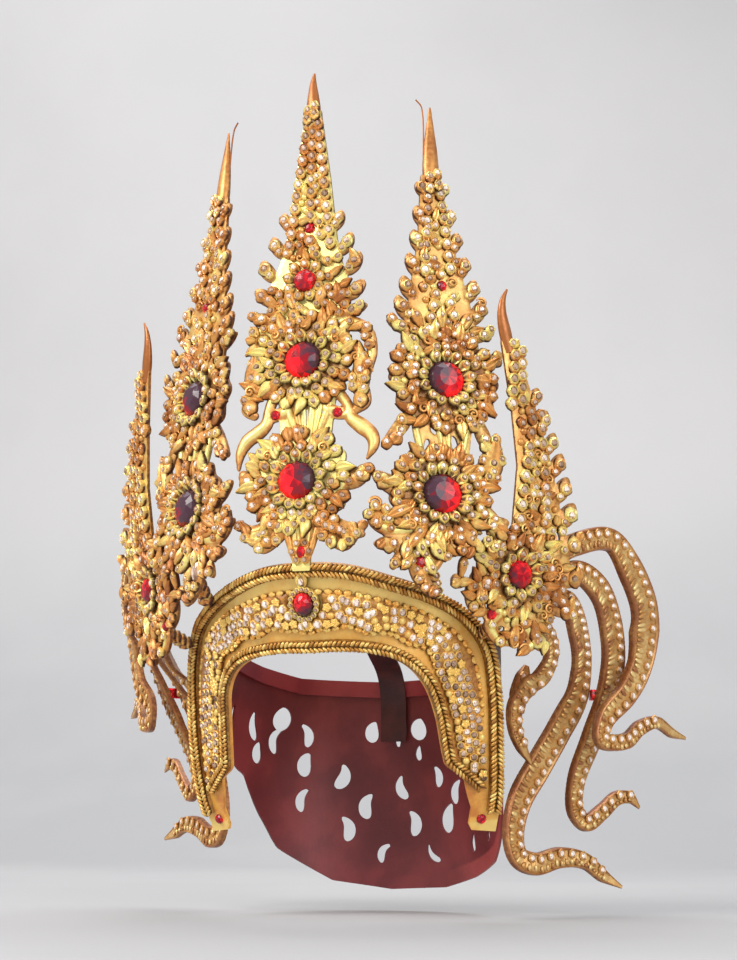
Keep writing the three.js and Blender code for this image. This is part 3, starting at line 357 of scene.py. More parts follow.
class Spline:
    """Centripetal Catmull-Rom curve, sampled as the solids sample theirs."""

    def __init__(self, points: Sequence[Sequence[float]]) -> None:
        """Keeps the points that the curve goes through."""
        self.points = np.asarray(points, dtype=float)

    def at(self, t: Array) -> Array:
        """Finds places on the curve.

        Args:
            t: Positions from 0 to 1.

        Returns:
            One row for each position.
        """
        points = self.points
        spans = len(points) - 1
        place = np.clip(np.asarray(t, dtype=float), 0, 1) * spans
        start = np.minimum(place.astype(int), spans - 1)
        share = (place - start)[:, None]
        ends = np.vstack([2 * points[0] - points[1], points, 2 * points[-1] - points[-2]])
        p0, p1, p2, p3 = (ends[start + k] for k in range(4))
        pairs = ((p0, p1), (p1, p2), (p2, p3))
        d0, d1, d2 = (np.maximum(np.sum((b - a) ** 2, axis=1), 1e-8)[:, None] ** 0.25 for a, b in pairs)
        out = ((p1 - p0) / d0 - (p2 - p0) / (d0 + d1) + (p2 - p1) / d1) * d1
        into = ((p2 - p1) / d1 - (p3 - p1) / (d1 + d2) + (p3 - p2) / d2) * d1
        square = -3 * p1 + 3 * p2 - 2 * out - into
        cube = 2 * p1 - 2 * p2 + out + into
        return p1 + share * (out + share * (square + share * cube))

    def along(self, t: Array) -> Array:
        """Finds unit directions at positions from 0 to 1.

        Args:
            t: Positions from 0 to 1.

        Returns:
            One unit row for each position.
        """
        t = np.asarray(t, dtype=float)
        step = 1e-4
        return unit(self.at(np.minimum(t + step, 1)) - self.at(np.maximum(t - step, 0)))

    def even(self, spacing: float) -> Array:
        """Finds positions that lie evenly along the curve.

        Args:
            spacing: Distance between neighbours.

        Returns:
            Positions from 0 to 1.
        """
        t = np.linspace(0, 1, 40 * len(self.points))
        run = arc_length(self.at(t))
        count = max(2, int(round(run[-1] / spacing)) + 1)
        return np.interp(np.linspace(0, run[-1], count), run, t)


def unit(rows: Array) -> Array:
    """Scales each row to length one."""
    return rows / np.maximum(np.linalg.norm(rows, axis=-1, keepdims=True), 1e-9)


def arc_length(points: Array) -> Array:
    """Sums the length of a line up to each of its points."""
    steps = np.linalg.norm(np.diff(points, axis=0), axis=1)
    return np.concatenate([[0.0], np.cumsum(steps)])


def smooth(value: Array, low: float, high: float) -> Array:
    """Rises smoothly from 0 at low to 1 at high."""
    share = np.clip((value - low) / (high - low), 0, 1)
    return share * share * (3 - 2 * share)


def edge_height(rows: Sequence[WallRow], deg: Array) -> Array:
    """Reads the wall's edge at angles from the back."""
    return np.interp(deg, [row.deg for row in rows], [row.z for row in rows])


class Band:
    """Surface of the brow band: its inner edge, crosswise direction and outward normal along its length."""

    HEAD_Y = 30

    def __init__(self) -> None:
        """Draws both edges, the mirrored side first."""
        rows = np.array(BAND_ROWS, dtype=float)
        other = rows[:0:-1] * np.array([-1, 1, 1, -1, 1, 1])
        both = np.vstack([other, rows])
        self.inner = Spline(both[:, :3])
        self.outer = Spline(both[:, 3:])
        self.stations = np.linspace(-1, 1, 801)
        run = arc_length(self.point(self.stations, 0.5, 0.0))
        self.run = run - np.interp(0, self.stations, run)

    def frames(self, s: Array) -> tuple[Array, Array, Array, Array]:
        """Finds the band's directions.

        Args:
            s: Stations from -1 to 1.

        Returns:
            Inner edge, unit crosswise direction, width and outward normal.
        """
        t = (np.asarray(s, dtype=float) + 1) / 2
        inner = self.inner.at(t)
        across = self.outer.at(t) - inner
        width = np.linalg.norm(across, axis=1)
        across = unit(across)
        along = self.inner.along(t) + self.outer.along(t)
        normal = unit(np.cross(along, across))
        facing = normal[:, 0] * inner[:, 0] + normal[:, 1] * (inner[:, 1] - self.HEAD_Y)
        normal = np.where(facing[:, None] < 0, -normal, normal)
        return inner, across, width, normal

    def place(self, s: Array, distance: Array, height: Array) -> Array:
        """Finds points at a distance from the inner edge and a height above the middle of the sheet.

        Args:
            s: Stations from -1 to 1.
            distance: Millimetres from the inner edge.
            height: Millimetres above the middle of the sheet.

        Returns:
            One row for each station.
        """
        inner, across, _, normal = self.frames(s)
        lift = np.broadcast_to(np.asarray(height, dtype=float), inner.shape[:1])
        out = np.broadcast_to(np.asarray(distance, dtype=float), inner.shape[:1])
        return inner + across * out[:, None] + normal * lift[:, None]

    def point(self, s: Array, share: Array, height: Array) -> Array:
        """Finds points at a share of the band's width."""
        return self.place(s, self.frames(s)[2] * share, height)

    def station(self, run: Array) -> Array:
        """Turns a length along the band's middle, from the brow, into a station."""
        return np.interp(run, self.run, self.stations)

    def length(self, s: float) -> float:
        """Turns a station into a length along the band's middle, from the brow."""
        return float(np.interp(s, self.stations, self.run))

    def width(self, s: float) -> float:
        """Finds the band's width at one station."""
        return float(self.frames(np.array([s]))[2][0])

    def spot(self, s: float, distance: float, height: float) -> Array:
        """Finds one point as place does."""
        return self.place(np.array([s]), distance, height)[0]

    def seat(self, s: float, share: float, height: float) -> Mapping:
        """Finds how coordinates along, across and out of the band are placed at one spot of it.

        Args:
            s: Station of the spot.
            share: Its place as a share of the band's width.
            height: Its height above the middle of the sheet.

        Returns:
            The mapping into the room.
        """
        basis = self.basis(s)
        origin = self.spot(s, share * self.width(s), height)
        return lambda local: origin + np.asarray(local) @ basis.T

    def basis(self, s: float) -> Array:
        """Finds the directions along, across and out of the band as the columns of a matrix.

        Args:
            s: Station from -1 to 1.

        Returns:
            A matrix of three unit columns.
        """
        _, across, _, normal = self.frames(np.array([s]))
        along = np.cross(across[0], normal[0])
        return np.column_stack([along, across[0], normal[0]])


BAND = Band()


def strip_low(s: Array) -> Array:
    """Finds the lower edge of the stone strip as a share of the band's width.

    Args:
        s: Stations from -1 to 1.

    Returns:
        One share for each station.
    """
    point = np.maximum(0, 1 - np.abs(s) / STRIP_POINT)
    dip = STRIP_WAVE * np.cos(np.abs(s) * math.pi * STRIP_WAVES)
    return STRIP_LOW - STRIP_POINT_DROP * point + dip


def strip_edges(s: Array) -> tuple[Array, Array]:
    """Finds both edges of the stone strip, in millimetres from the band's inner edge.

    Args:
        s: Stations from -1 to 1.

    Returns:
        The lower and the upper edge.
    """
    width = BAND.frames(s)[2]
    narrow = np.clip((STRIP_END - np.abs(s)) / STRIP_TAPER + STRIP_TIP, 0, 1)
    middle = (STRIP_LOW + STRIP_HIGH) / 2
    low = width * (middle + (strip_low(s) - middle) * narrow)
    high = width * (middle + (STRIP_HIGH - middle) * narrow)
    return low, high


def cord_middle(cord: Cord, s: Array) -> Array:
    """Finds a cord's middle, in millimetres from the band's inner edge.

    Args:
        cord: Which cord.
        s: Stations from -1 to 1.

    Returns:
        One distance for each station.
    """
    width = BAND.frames(s)[2]
    if cord is OUTER_CORD:
        return width - cord.inset
    crossing = np.clip((np.abs(s) - CROSS_START) / (CROSS_END - CROSS_START), 0, 1)
    far = width - OUTER_CORD.inset - OUTER_CORD.half - cord.half - CORD_SPACE
    return cord.inset + (far - cord.inset) * crossing ** CROSS_CURVE


def make_object(
    name: str, points: Array, faces: Sequence[Sequence[int]], values: dict[str, Array] | None = None,
    sharp_deg: float = 50.0
) -> bpy.types.Object:
    """Makes a mesh object at the origin.

    Args:
        name: Name of the piece.
        points: Places in millimetres.
        faces: Corners of each face, outward side counter-clockwise.
        values: Named number for each point.
        sharp_deg: Edges sharper than this stay hard; 0 leaves every face flat.

    Returns:
        The new object, linked to the scene.
    """
    mesh = bpy.data.meshes.new(name)
    mesh.from_pydata((np.asarray(points) * MM).tolist(), [], [list(map(int, face)) for face in faces])
    for key, numbers in (values or {}).items():
        layer = mesh.attributes.new(key, "FLOAT", "POINT")
        full = np.broadcast_to(np.asarray(numbers, dtype=np.float32), (len(mesh.vertices),))
        layer.data.foreach_set("value", np.ascontiguousarray(full))
    mesh.polygons.foreach_set("use_smooth", [sharp_deg > 0] * len(mesh.polygons))
    if sharp_deg > 0:
        mesh.set_sharp_from_angle(angle=math.radians(sharp_deg))
    mesh.update()
    made = bpy.data.objects.new(name, mesh)
    bpy.context.scene.collection.objects.link(made)
    return made


def flip_faces(faces: Sequence[Sequence[int]]) -> list[list[int]]:
    """Turns faces over."""
    return [list(face)[::-1] for face in faces]


def join(name: str, parts: Sequence[bpy.types.Object]) -> bpy.types.Object:
    """Joins objects into the first one and renames it.

    Args:
        name: Name of the whole.
        parts: Objects to be joined.

    Returns:
        The first object, which holds them all.
    """
    first = parts[0]
    if len(parts) > 1:
        with bpy.context.temp_override(
            active_object=first, selected_editable_objects=list(parts), selected_objects=list(parts)
        ):
            bpy.ops.object.join()
    first.name = name
    first.data.name = name
    return first


def grid_faces(wide: int, tall: int) -> list[list[int]]:
    """Numbers the faces of an open grid of points, row by row."""
    starts = [j * wide + i for j in range(tall - 1) for i in range(wide - 1)]
    return [[a, a + 1, a + wide + 1, a + wide] for a in starts]


def loft_faces(rings: int, size: int) -> list[list[int]]:
    """Numbers the faces of a closed loft through rings of equal size, ends included.

    Args:
        rings: Number of rings.
        size: Points round a ring.

    Returns:
        The corners of each face.
    """
    faces = []
    for i in range(rings - 1):
        for j in range(size):
            k = (j + 1) % size
            faces.append([i * size + j, i * size + k, (i + 1) * size + k, (i + 1) * size + j])
    faces.append(list(range(size))[::-1])
    faces.append([(rings - 1) * size + j for j in range(size)])
    return faces


def loft(name: str, rings: Array, values: dict[str, Array], sharp_deg: float = 50.0) -> bpy.types.Object:
    """Makes a closed loft.

    Args:
        name: Name of the piece.
        rings: Array of rings, points and coordinates in millimetres.
        values: Named number for each point.
        sharp_deg: Angle above which edges stay hard.

    Returns:
        The new object, its faces outward.
    """
    count, size, _ = rings.shape
    points = rings.reshape(-1, 3)
    faces = loft_faces(count, size)
    middle = rings.mean(axis=1)
    volume = 0.0
    for i in range(count - 1):
        ring = rings[i] - middle[i]
        swept = np.cross(ring, np.roll(ring, -1, axis=0)).sum(axis=0)
        volume += float(np.dot(swept, middle[i + 1] - middle[i]))
    if volume < 0:
        faces = flip_faces(faces)
    return make_object(name, points, faces, values, sharp_deg)


def loft_columns(
    name: str, columns: Sequence[Array], tones: Sequence[Array], reliefs: Sequence[Array],
    sharp_deg: float = 50.0
) -> bpy.types.Object:
    """Makes a closed loft of lines that run along it, side by side round its section.

    Args:
        name: Name of the piece.
        columns: Points of each line in millimetres.
        tones: Tone of the gilding along each line.
        reliefs: Relief along each line.
        sharp_deg: Angle above which edges stay hard.

    Returns:
        The new object, its faces outward.
    """
    values = {"tone": np.stack(tones, axis=1).ravel(), "relief": np.stack(reliefs, axis=1).ravel()}
    return loft(name, np.stack(columns, axis=1), values, sharp_deg)


def tube(
    name: str, path: Array, radii: Array, out: Array, flat: float, tone: float, sides: int = 10
) -> bpy.types.Object:
    """Makes a tapering round bar along a path.

    Args:
        name: Name of the piece.
        path: Points in millimetres.
        radii: Radius at each point.
        out: Direction that one axis of the section stays close to.
        flat: Share of the radius kept in that direction.
        tone: Tone of the gilding.
        sides: Points round the section.

    Returns:
        The new object.
    """
    direction = unit(np.gradient(path, axis=0))
    side = unit(np.cross(direction, np.broadcast_to(out, path.shape)))
    lift = np.cross(side, direction)
    angle = np.linspace(0, 2 * math.pi, sides, endpoint=False)
    around = side[:, None] * np.cos(angle)[None, :, None]
    around = around + lift[:, None] * np.sin(angle)[None, :, None] * flat
    rings = path[:, None] + around * np.asarray(radii)[:, None, None]
    # Painted light and shade: the side of a bar that faces out of the plate is drawn lighter, the other side
    # darker.
    relief = np.tile(0.45 + 0.4 * np.sin(angle), len(path))
    return loft(name, rings, {"tone": np.full(len(relief), tone), "relief": relief})


def chain_field(u: Array, v: Array, spine: Array, radii: Array) -> Array:
    """Measures depth inside a row of discs, negative outside.

    Args:
        u: First coordinates of the places.
        v: Second coordinates of the places.
        spine: Centres of the discs.
        radii: Their radii.

    Returns:
        One depth for each place.
    """
    best = np.full(u.shape, Relief.OUTSIDE)
    for (at_u, at_v), radius in zip(spine, radii):
        best = np.maximum(best, radius - np.hypot(u - at_u, v - at_v))
    return best


@dataclass
class Relief:
    """Pierced, embossed sheet drawn on a grid of two coordinates of its own."""

    OUTSIDE: ClassVar[float] = -1e3
    NEAR_CORNER: ClassVar[float] = 0.08
    # Patina and painted shade: points on a cut outline are drawn darker than the face.
    EDGE_INK: ClassVar[float] = 0.4
    left: float
    right: float
    low: float
    high: float
    step: float
    u: Array = field(init=False)
    v: Array = field(init=False)
    depth: Array = field(init=False)
    height: Array = field(init=False)
    tone: Array = field(init=False)
    ink: Array = field(init=False)

    def __post_init__(self) -> None:
        """Lays the empty grid."""
        across = np.arange(self.left, self.right + self.step, self.step)
        up = np.arange(self.low, self.high + self.step, self.step)
        self.u, self.v = np.meshgrid(across, up, indexing="ij")
        self.depth = np.full(self.u.shape, self.OUTSIDE)
        self.height = np.zeros(self.u.shape)
        self.tone = np.full(self.u.shape, 0.5)
        self.ink = np.full(self.u.shape, 0.6)

    def add(self, depth: Array, height: Array, tone: float | Array, ink: float = 0.6) -> None:
        """Adds a raised shape.

        Args:
            depth: Depth inside the shape's outline.
            height: Height above the sheet's face.
            tone: Tone of the gilding.
            ink: How light the gilding is drawn, 0 where it is dark brown, as patina and as painted shade.
        """
        taller = (depth > 0) & (height >= self.height)
        self.height = np.where(taller, height, self.height)
        self.tone = np.where(taller, tone, self.tone)
        self.ink = np.where(taller, ink, self.ink)
        self.depth = np.maximum(self.depth, depth)

    def pierce(self, depth: Array) -> None:
        """Cuts a shape out of the sheet."""
        self.depth = np.minimum(self.depth, -depth)

    def soften(self, reach: float) -> None:
        """Rounds the face down to nothing at every outline."""
        self.height = self.height * np.sqrt(np.clip(self.depth / reach, 0, 1))

    def sample(self, u: float, v: float) -> tuple[float, float]:
        """Reads depth and height at one place.

        Args:
            u: First coordinate.
            v: Second coordinate.

        Returns:
            Depth inside the outline and height.
        """
        i = int(np.clip(round((u - self.left) / self.step), 0, self.u.shape[0] - 1))
        j = int(np.clip(round((v - self.low) / self.step), 0, self.u.shape[1] - 1))
        return float(self.depth[i, j]), float(self.height[i, j])

    def mesh(
        self, name: str, to_world: Mapping, back: float, front: float, mirror: bool
    ) -> bpy.types.Object:
        """Makes the closed sheet.

        Args:
            name: Name of the piece.
            to_world: Places the sheet's coordinates and its height in the room.
            back: Level of the back face.
            front: Level of the front face where nothing is raised.
            mirror: Whether the piece is turned over to the other side of the head.

        Returns:
            The new object; attribute "back" is 1 on the back face.
        """
        table, first, faces, border = self._outline()
        flat = table[:, :2]
        relief, tone, ink = table[:, 2:].T
        count = len(table)
        rim = count - first
        face = np.column_stack([flat, front + relief])
        rear = np.column_stack([flat, np.full(count, back)])
        points = to_world(np.vstack([face, rear, face[first:], rear[first:]]))
        shift = 2 * count - first
        walls = [[b + shift, a + shift, a + shift + rim, b + shift + rim] for a, b in border]
        every = [*faces, *([corner + count for corner in item[::-1]] for item in faces), *walls]
        # Patina and painted shade: the face darkens where it stands low and towards its outlines; the cut
        # walls get relief 0.25, painted shade in the gaps; the back face is toned down.
        face_lit_clean = ink * (0.75 + 0.25 * relief / max(1e-6, float(relief.max())))
        values = {
            "relief": np.concatenate([face_lit_clean, np.full(count, 0.5), np.full(2 * rim, 0.25)]),
            "tone": np.concatenate([tone, tone * 0.5 + 0.2, np.tile(tone[first:], 2) * 0.7]),
            "back": np.concatenate([np.zeros(count), np.ones(count), np.full(2 * rim, 0.5)])}
        if mirror:
            points = points * MIRROR
            every = flip_faces(every)
        return make_object(name, points, every, values, 60.0)

    def _outline(self) -> tuple[Array, int, list[list[int]], list[tuple[int, int]]]:
        """Traces the sheet.

        Returns:
            Place, height, tone and ink of each point, number of the first point on the outline, faces, and
            edges of the outline.
        """
        inside = self.depth > 0
        number = np.full(inside.shape, -1)
        number[inside] = np.arange(int(inside.sum()))
        tables = [
            np.column_stack([layer[inside] for layer in (self.u, self.v, self.height, self.tone, self.ink)])
        ]
        first_cut = total = len(tables[0])
        cuts = []
        every, before, after = slice(None), slice(None, -1), slice(1, None)
        for near, far in (((before, every), (after, every)), ((every, before), (every, after))):
            crossed = inside[near] != inside[far]
            a, b = self.depth[near][crossed], self.depth[far][crossed]
            share = np.clip(a / (a - b), self.NEAR_CORNER, 1 - self.NEAR_CORNER)
            at_u = self.u[near][crossed] + share * (self.u[far] - self.u[near])[crossed]
            at_v = self.v[near][crossed] + share * (self.v[far] - self.v[near])[crossed]
            tone = np.where(inside[near], self.tone[near], self.tone[far])[crossed]
            tables.append(
                np.column_stack(
                    [at_u, at_v, np.zeros(len(share)), tone, np.full(len(share), self.EDGE_INK)]))
            cut = np.full(crossed.shape, -1)
            cut[crossed] = total + np.arange(len(share))
            total += len(share)
            cuts.append(cut)
        corners = [number[:-1, :-1], number[1:, :-1], number[1:, 1:], number[:-1, 1:]]
        edges = [cuts[0][:, :-1], cuts[1][1:, :], cuts[0][:, 1:], cuts[1][:-1, :]]
        code = sum((corner >= 0).astype(int) << k for k, corner in enumerate(corners))
        faces: list[list[int]] = []
        border: list[tuple[int, int]] = []
        for case in range(1, 16):
            cells = code == case
            if not cells.any():
                continue
            ring = []
            is_cut = []
            for k in range(4):
                if case >> k & 1:
                    ring.append(corners[k][cells])
                    is_cut.append(False)
                if (case >> k & 1) != (case >> (k + 1) % 4 & 1):
                    ring.append(edges[k][cells])
                    is_cut.append(True)
            faces.extend(np.column_stack(ring).tolist())
            for k in range(len(ring)):
                follows = (k + 1) % len(ring)
                if is_cut[k] and is_cut[follows]:
                    border.extend(zip(ring[k].tolist(), ring[follows].tolist()))
        return np.vstack(tables), first_cut, faces, border


class NodeBook:
    """Adds and links the nodes of one tree."""

    def __init__(self, tree: bpy.types.NodeTree) -> None:
        """Keeps the tree."""
        self.tree = tree

    def add(self, kind: str, **settings: object) -> bpy.types.Node:
        """Adds a node and sets its properties.

        Args:
            kind: Type of the node.
            settings: Properties of the node.

        Returns:
            The new node.
        """
        node = self.tree.nodes.new(kind)
        for key, value in settings.items():
            setattr(node, key, value)
        return node

    def link(self, source: bpy.types.NodeSocket, target: bpy.types.NodeSocket) -> None:
        """Links two sockets."""
        self.tree.links.new(source, target)

    def math(self, operation: str, a: object, b: object) -> bpy.types.NodeSocket:
        """Adds a sum of two sockets or numbers and returns its result.

        Args:
            operation: What is done with the two.
            a: First socket or number.
            b: Second socket or number.

        Returns:
            The socket that gives the result.
        """
        node = self.add("ShaderNodeMath", operation=operation)
        for socket, value in zip(node.inputs, (a, b)):
            self.feed(socket, value)
        return node.outputs[0]

    def feed(self, socket: bpy.types.NodeSocket, value: object) -> None:
        """Links a socket to another one, or sets it to a number.

        Args:
            socket: Input to be fed.
            value: Socket or number that feeds it.
        """
        if isinstance(value, bpy.types.NodeSocket):
            self.link(value, socket)
        else:
            socket.default_value = value

    def mix(self, share: object, a: object, b: object, blend: str = "MIX") -> bpy.types.NodeSocket:
        """Adds a mix of two colours and returns its result.

        Args:
            share: How much of the second colour shows.
            a: First colour.
            b: Second colour.
            blend: How they are mixed.

        Returns:
            The socket that gives the result.
        """
        node = self.add("ShaderNodeMix", data_type="RGBA", blend_type=blend, clamp_factor=True)
        self.feed(node.inputs[0], share)
        self.feed(node.inputs[6], a)
        self.feed(node.inputs[7], b)
        return node.outputs[2]

    def noise(self, vector: bpy.types.NodeSocket, scale: object, detail: float) -> bpy.types.NodeSocket:
        """Adds noise and returns its value.

        Args:
            vector: Coordinates.
            scale: Cells to the metre.
            detail: Octaves.

        Returns:
            The socket that gives the result.
        """
        node = self.add("ShaderNodeTexNoise")
        self.feed(node.inputs["Scale"], scale)
        node.inputs["Detail"].default_value = detail
        self.link(vector, node.inputs["Vector"])
        return node.outputs[0]

    def spread(
        self, value: object, low: float, high: float, to_low: float = 0.0, to_high: float = 1.0
    ) -> bpy.types.NodeSocket:
        """Adds a smooth map from one range to another and returns its result.

        Args:
            value: Socket or number to be mapped.
            low: Start of its range.
            high: End of its range.
            to_low: Result at the start.
            to_high: Result at the end.

        Returns:
            The socket that gives the result.
        """
        node = self.add("ShaderNodeMapRange", interpolation_type="SMOOTHSTEP")
        for socket, number in zip(node.inputs, (value, low, high, to_low, to_high)):
            self.feed(socket, number)
        return node.outputs[0]

    def swing(self, value: bpy.types.NodeSocket, amount: float) -> bpy.types.NodeSocket:
        """Adds a value's swing about a half and returns it."""
        return self.math("MULTIPLY", self.math("SUBTRACT", value, 0.5), amount)

    def give(self, sink: bpy.types.Node, **results: bpy.types.NodeSocket) -> None:
        """Links results to the inputs of a node that have their names."""
        for label, result in results.items():
            self.link(result, sink.inputs[label])


def rgb(code: str) -> tuple[float, float, float, float]:
    """Turns a screen colour such as "e8c35a" into linear light.

    Args:
        code: Six hexadecimal digits.

    Returns:
        Red, green, blue and full opacity.
    """
    shares = [int(code[k : k + 2], 16) / 255 for k in (0, 2, 4)]
    light = [s / 12.92 if s <= 0.04045 else ((s + 0.055) / 1.055) ** 2.4 for s in shares]
    return (light[0], light[1], light[2], 1.0)


class Effects:
    """Shader effects that several finishes share."""

    def __init__(self) -> None:
        """Builds the groups."""
        self.patina = self._patina()
        self.wear = self._wear()
        self.facets = self._facets()

    @staticmethod
    def _group(name: str, numbers: Sequence[str], colours: Sequence[str], outputs: Sequence[str]) -> tuple[
        NodeBook, bpy.types.Node, bpy.types.Node
    ]:
        """Starts a group.

        Args:
            name: Name of the group.
            numbers: Inputs that are numbers, after the vector that every group has.
            colours: Inputs that are colours.
            outputs: Outputs of the group.

        Returns:
            The group's nodes, the one that its inputs come from and the one that its outputs go to.
        """
        tree = bpy.data.node_groups.new(name, "ShaderNodeTree")
        kinds = dict.fromkeys((*colours, "Color", "Glow"), "NodeSocketColor")
        kinds["Vector"] = "NodeSocketVector"
        for way, labels in (("INPUT", ("Vector", *numbers, *colours)), ("OUTPUT", outputs)):
            for label in labels:
                tree.interface.new_socket(
                    label, in_out=way, socket_type=kinds.get(label, "NodeSocketFloat"))
        book = NodeBook(tree)
        return book, book.add("NodeGroupInput"), book.add("NodeGroupOutput")

    def _patina(self) -> bpy.types.NodeTree:
        """Gilding: deep, warm and bright gold by tone, rubbed in patches, and brown where the relief
        attribute is low, which is patina and painted shade in the hollows.

        Returns:
            The group's tree.
        """
        colours = ("Shade", "Deep", "Warm", "Bright")
        book, source, sink = self._group(
            "gilt_patina", ("Tone", "Relief"), colours, ("Color", "Roughness", "Height"))
        at = source.outputs
        patch = book.noise(at["Vector"], 70.0, 3.0)
        fine = book.noise(at["Vector"], 420.0, 4.0)
        grain = book.noise(at["Vector"], 1500.0, 2.0)
        speck = book.swing(fine, 0.5)
        tone = book.math("ADD", book.math("ADD", at["Tone"], book.swing(patch, 0.9)), speck)
        low = book.mix(book.spread(tone, 0.0, 0.5), at["Deep"], at["Warm"])
        gold = book.mix(book.spread(tone, 0.45, 1.0), low, at["Bright"])
        # Patina and painted shade: low relief turns the gold to the Shade colour, dark brown in the hollows.
        hollow = book.spread(book.math("ADD", at["Relief"], speck), 0.05, 0.6)
        rubbed = book.spread(fine, 0.3, 0.7, 0.3, 0.5)
        rough = book.math("ADD", rubbed, book.spread(hollow, 0.0, 1.0, 0.25, 0.0))
        height = book.math("ADD", book.math("MULTIPLY", fine, 0.7), book.math("MULTIPLY", grain, 0.3))
        book.give(sink, Color=book.mix(hollow, at["Shade"], gold), Roughness=rough, Height=height)
        return book.tree

    def _wear(self) -> bpy.types.NodeTree:
        """Paint or hide: two colours in cloudy patches with fine scuffs, shaded to a third at an edge.

        Returns:
            The group's tree.
        """
        book, source, sink = self._group(
            "cloudy_wear", ("Scale", "Rough", "Shade"), ("Dark", "Light", "Low"),
            ("Color", "Roughness", "Height"))
        at = source.outputs
        cloud = book.noise(at["Vector"], at["Scale"], 5.0)
        scuff = book.noise(at["Vector"], 600.0, 3.0)
        share = book.spread(cloud, 0.3, 0.7)
        mixed = book.mix(share, at["Dark"], at["Light"])
        scuffed = book.mix(book.spread(scuff, 0.62, 0.75, 0.0, 0.35), mixed, at["Light"])
        edge = book.math("ADD", at["Shade"], book.swing(share, 0.3))
        rough = book.math("ADD", at["Rough"], book.swing(scuff, 0.3))
        height = book.math("ADD", cloud, book.math("MULTIPLY", scuff, 0.4))
        book.give(sink, Color=book.mix(edge, scuffed, at["Low"]), Roughness=rough, Height=height)
        return book.tree

    def _facets(self) -> bpy.types.NodeTree:
        """Cut glass: each facet painted dark, middling or bright as painted reflection, the bright ones given
        a painted glow by emission, with faint veils inside.

        Returns:
            The group's tree.
        """
        book, source, sink = self._group(
            "cut_facets", ("Facet", "Tone"), ("Dark", "Middle", "Light"), ("Color", "Glow", "Roughness"))
        at = source.outputs
        veil = book.swing(book.noise(at["Vector"], 160.0, 2.0), 0.5)
        facet = book.math("ADD", book.math("MULTIPLY", at["Facet"], at["Tone"]), veil)
        low = book.mix(book.spread(facet, 0.1, 0.5), at["Dark"], at["Middle"])
        shown = book.mix(book.spread(facet, 0.45, 0.85), low, at["Light"])
        # Painted glow: bright facets feed the emission colour, though the stone is no lamp.
        glow = book.mix(book.spread(facet, 0.4, 1.0), (0, 0, 0, 1), shown)
        book.give(sink, Color=shown, Glow=glow, Roughness=book.spread(facet, 0.0, 1.0, 0.16, 0.06))
        return book.tree


SHADER_INPUTS = {"Color": "Base Color", "Glow": "Emission Color", "Roughness": "Roughness"}


def new_material(
    name: str, group: bpy.types.NodeTree, constants: dict[str, float], given: dict[str, str | float],
    read: Sequence[str], bump: tuple[float, float] | None = None
) -> bpy.types.Material:
    """Builds a material whose shader is fed by one shared group.

    Args:
        name: Name of the material.
        group: The shared group.
        constants: Values of the shader's own inputs.
        given: Colours and values of the group's inputs.
        read: Inputs of the group that the mesh's attributes of the same names give.
        bump: Strength of the group's height and its distance in metres, if it has one.

    Returns:
        The new material.
    """
    made = bpy.data.materials.new(name)
    made.use_nodes = True
    book = NodeBook(made.node_tree)
    shader = made.node_tree.nodes["Principled BSDF"]
    for label, value in constants.items():
        shader.inputs[label].default_value = value
    node = book.add("ShaderNodeGroup", node_tree=group)
    book.link(book.add("ShaderNodeTexCoord").outputs["Object"], node.inputs["Vector"])
    for label in read:
        number = book.add("ShaderNodeAttribute", attribute_name=label.lower())
        book.link(number.outputs["Fac"], node.inputs[label])
    for label, value in given.items():
        node.inputs[label].default_value = rgb(value) if isinstance(value, str) else value
    for label, target in SHADER_INPUTS.items():
        if label in node.outputs:
            book.link(node.outputs[label], shader.inputs[target])
    if bump:
        bumps = book.add("ShaderNodeBump")
        for label, value in zip(("Strength", "Distance"), bump):
            bumps.inputs[label].default_value = value
        book.give(bumps, Height=node.outputs["Height"])
        book.give(shader, Normal=bumps.outputs["Normal"])
    return made


@dataclass(frozen=True)
class GiltFinish:
    """Gilding of cast or stamped metal."""

    slot: Slot
    shade: str
    deep: str
    warm: str
    bright: str
    metallic: float
    bump: float

    def material(self, effects: Effects) -> bpy.types.Material:
        """Builds the material from the shared groups.

        Args:
            effects: Shared shader groups.

        Returns:
            The new material.
        """
        constants = {"Metallic": self.metallic, "Coat Weight": 0.3, "Coat Roughness": 0.3}
        given = {"Shade": self.shade, "Deep": self.deep, "Warm": self.warm, "Bright": self.bright}
        bump = (self.bump, 0.6 * MM)
        return new_material(self.slot.value, effects.patina, constants, given, ("Tone", "Relief"), bump)


@dataclass(frozen=True)
class PaintFinish:
    """Lacquer, paint or hide."""

    name: str
    dark: str
    light: str
    rough: float
    scale: float
    coat: float
    bump: float
    low: str

    def material(self, effects: Effects) -> bpy.types.Material:
        """Builds the material from the shared groups.

        Args:
            effects: Shared shader groups.

        Returns:
            The new material.
        """
        constants = {"Coat Weight": self.coat, "Coat Roughness": 0.25}
        given = {
            "Scale": self.scale, "Rough": self.rough, "Dark": self.dark, "Light": self.light,
            "Low": self.low}
        return new_material(self.name, effects.wear, constants, given, ("Shade",), (self.bump, MM))


@dataclass(frozen=True)
class StoneFinish:
    """Foiled glass stone, its facets painted bright or dark as painted reflection, with a painted glow."""

    slot: Slot
    dark: str
    middle: str
    light: str
    glow: float
    metallic: float

    def material(self, effects: Effects) -> bpy.types.Material:
        """Builds the material from the shared groups.

        Args:
            effects: Shared shader groups.

        Returns:
            The new material.
        """
        constants = {
            "Metallic": self.metallic, "Coat Weight": 0.15, "Coat Roughness": 0.05,
            "Specular IOR Level": 0.3, "Emission Strength": self.glow}
        given = {"Dark": self.dark, "Middle": self.middle, "Light": self.light}
        return new_material(self.slot.value, effects.facets, constants, given, ("Facet", "Tone"))


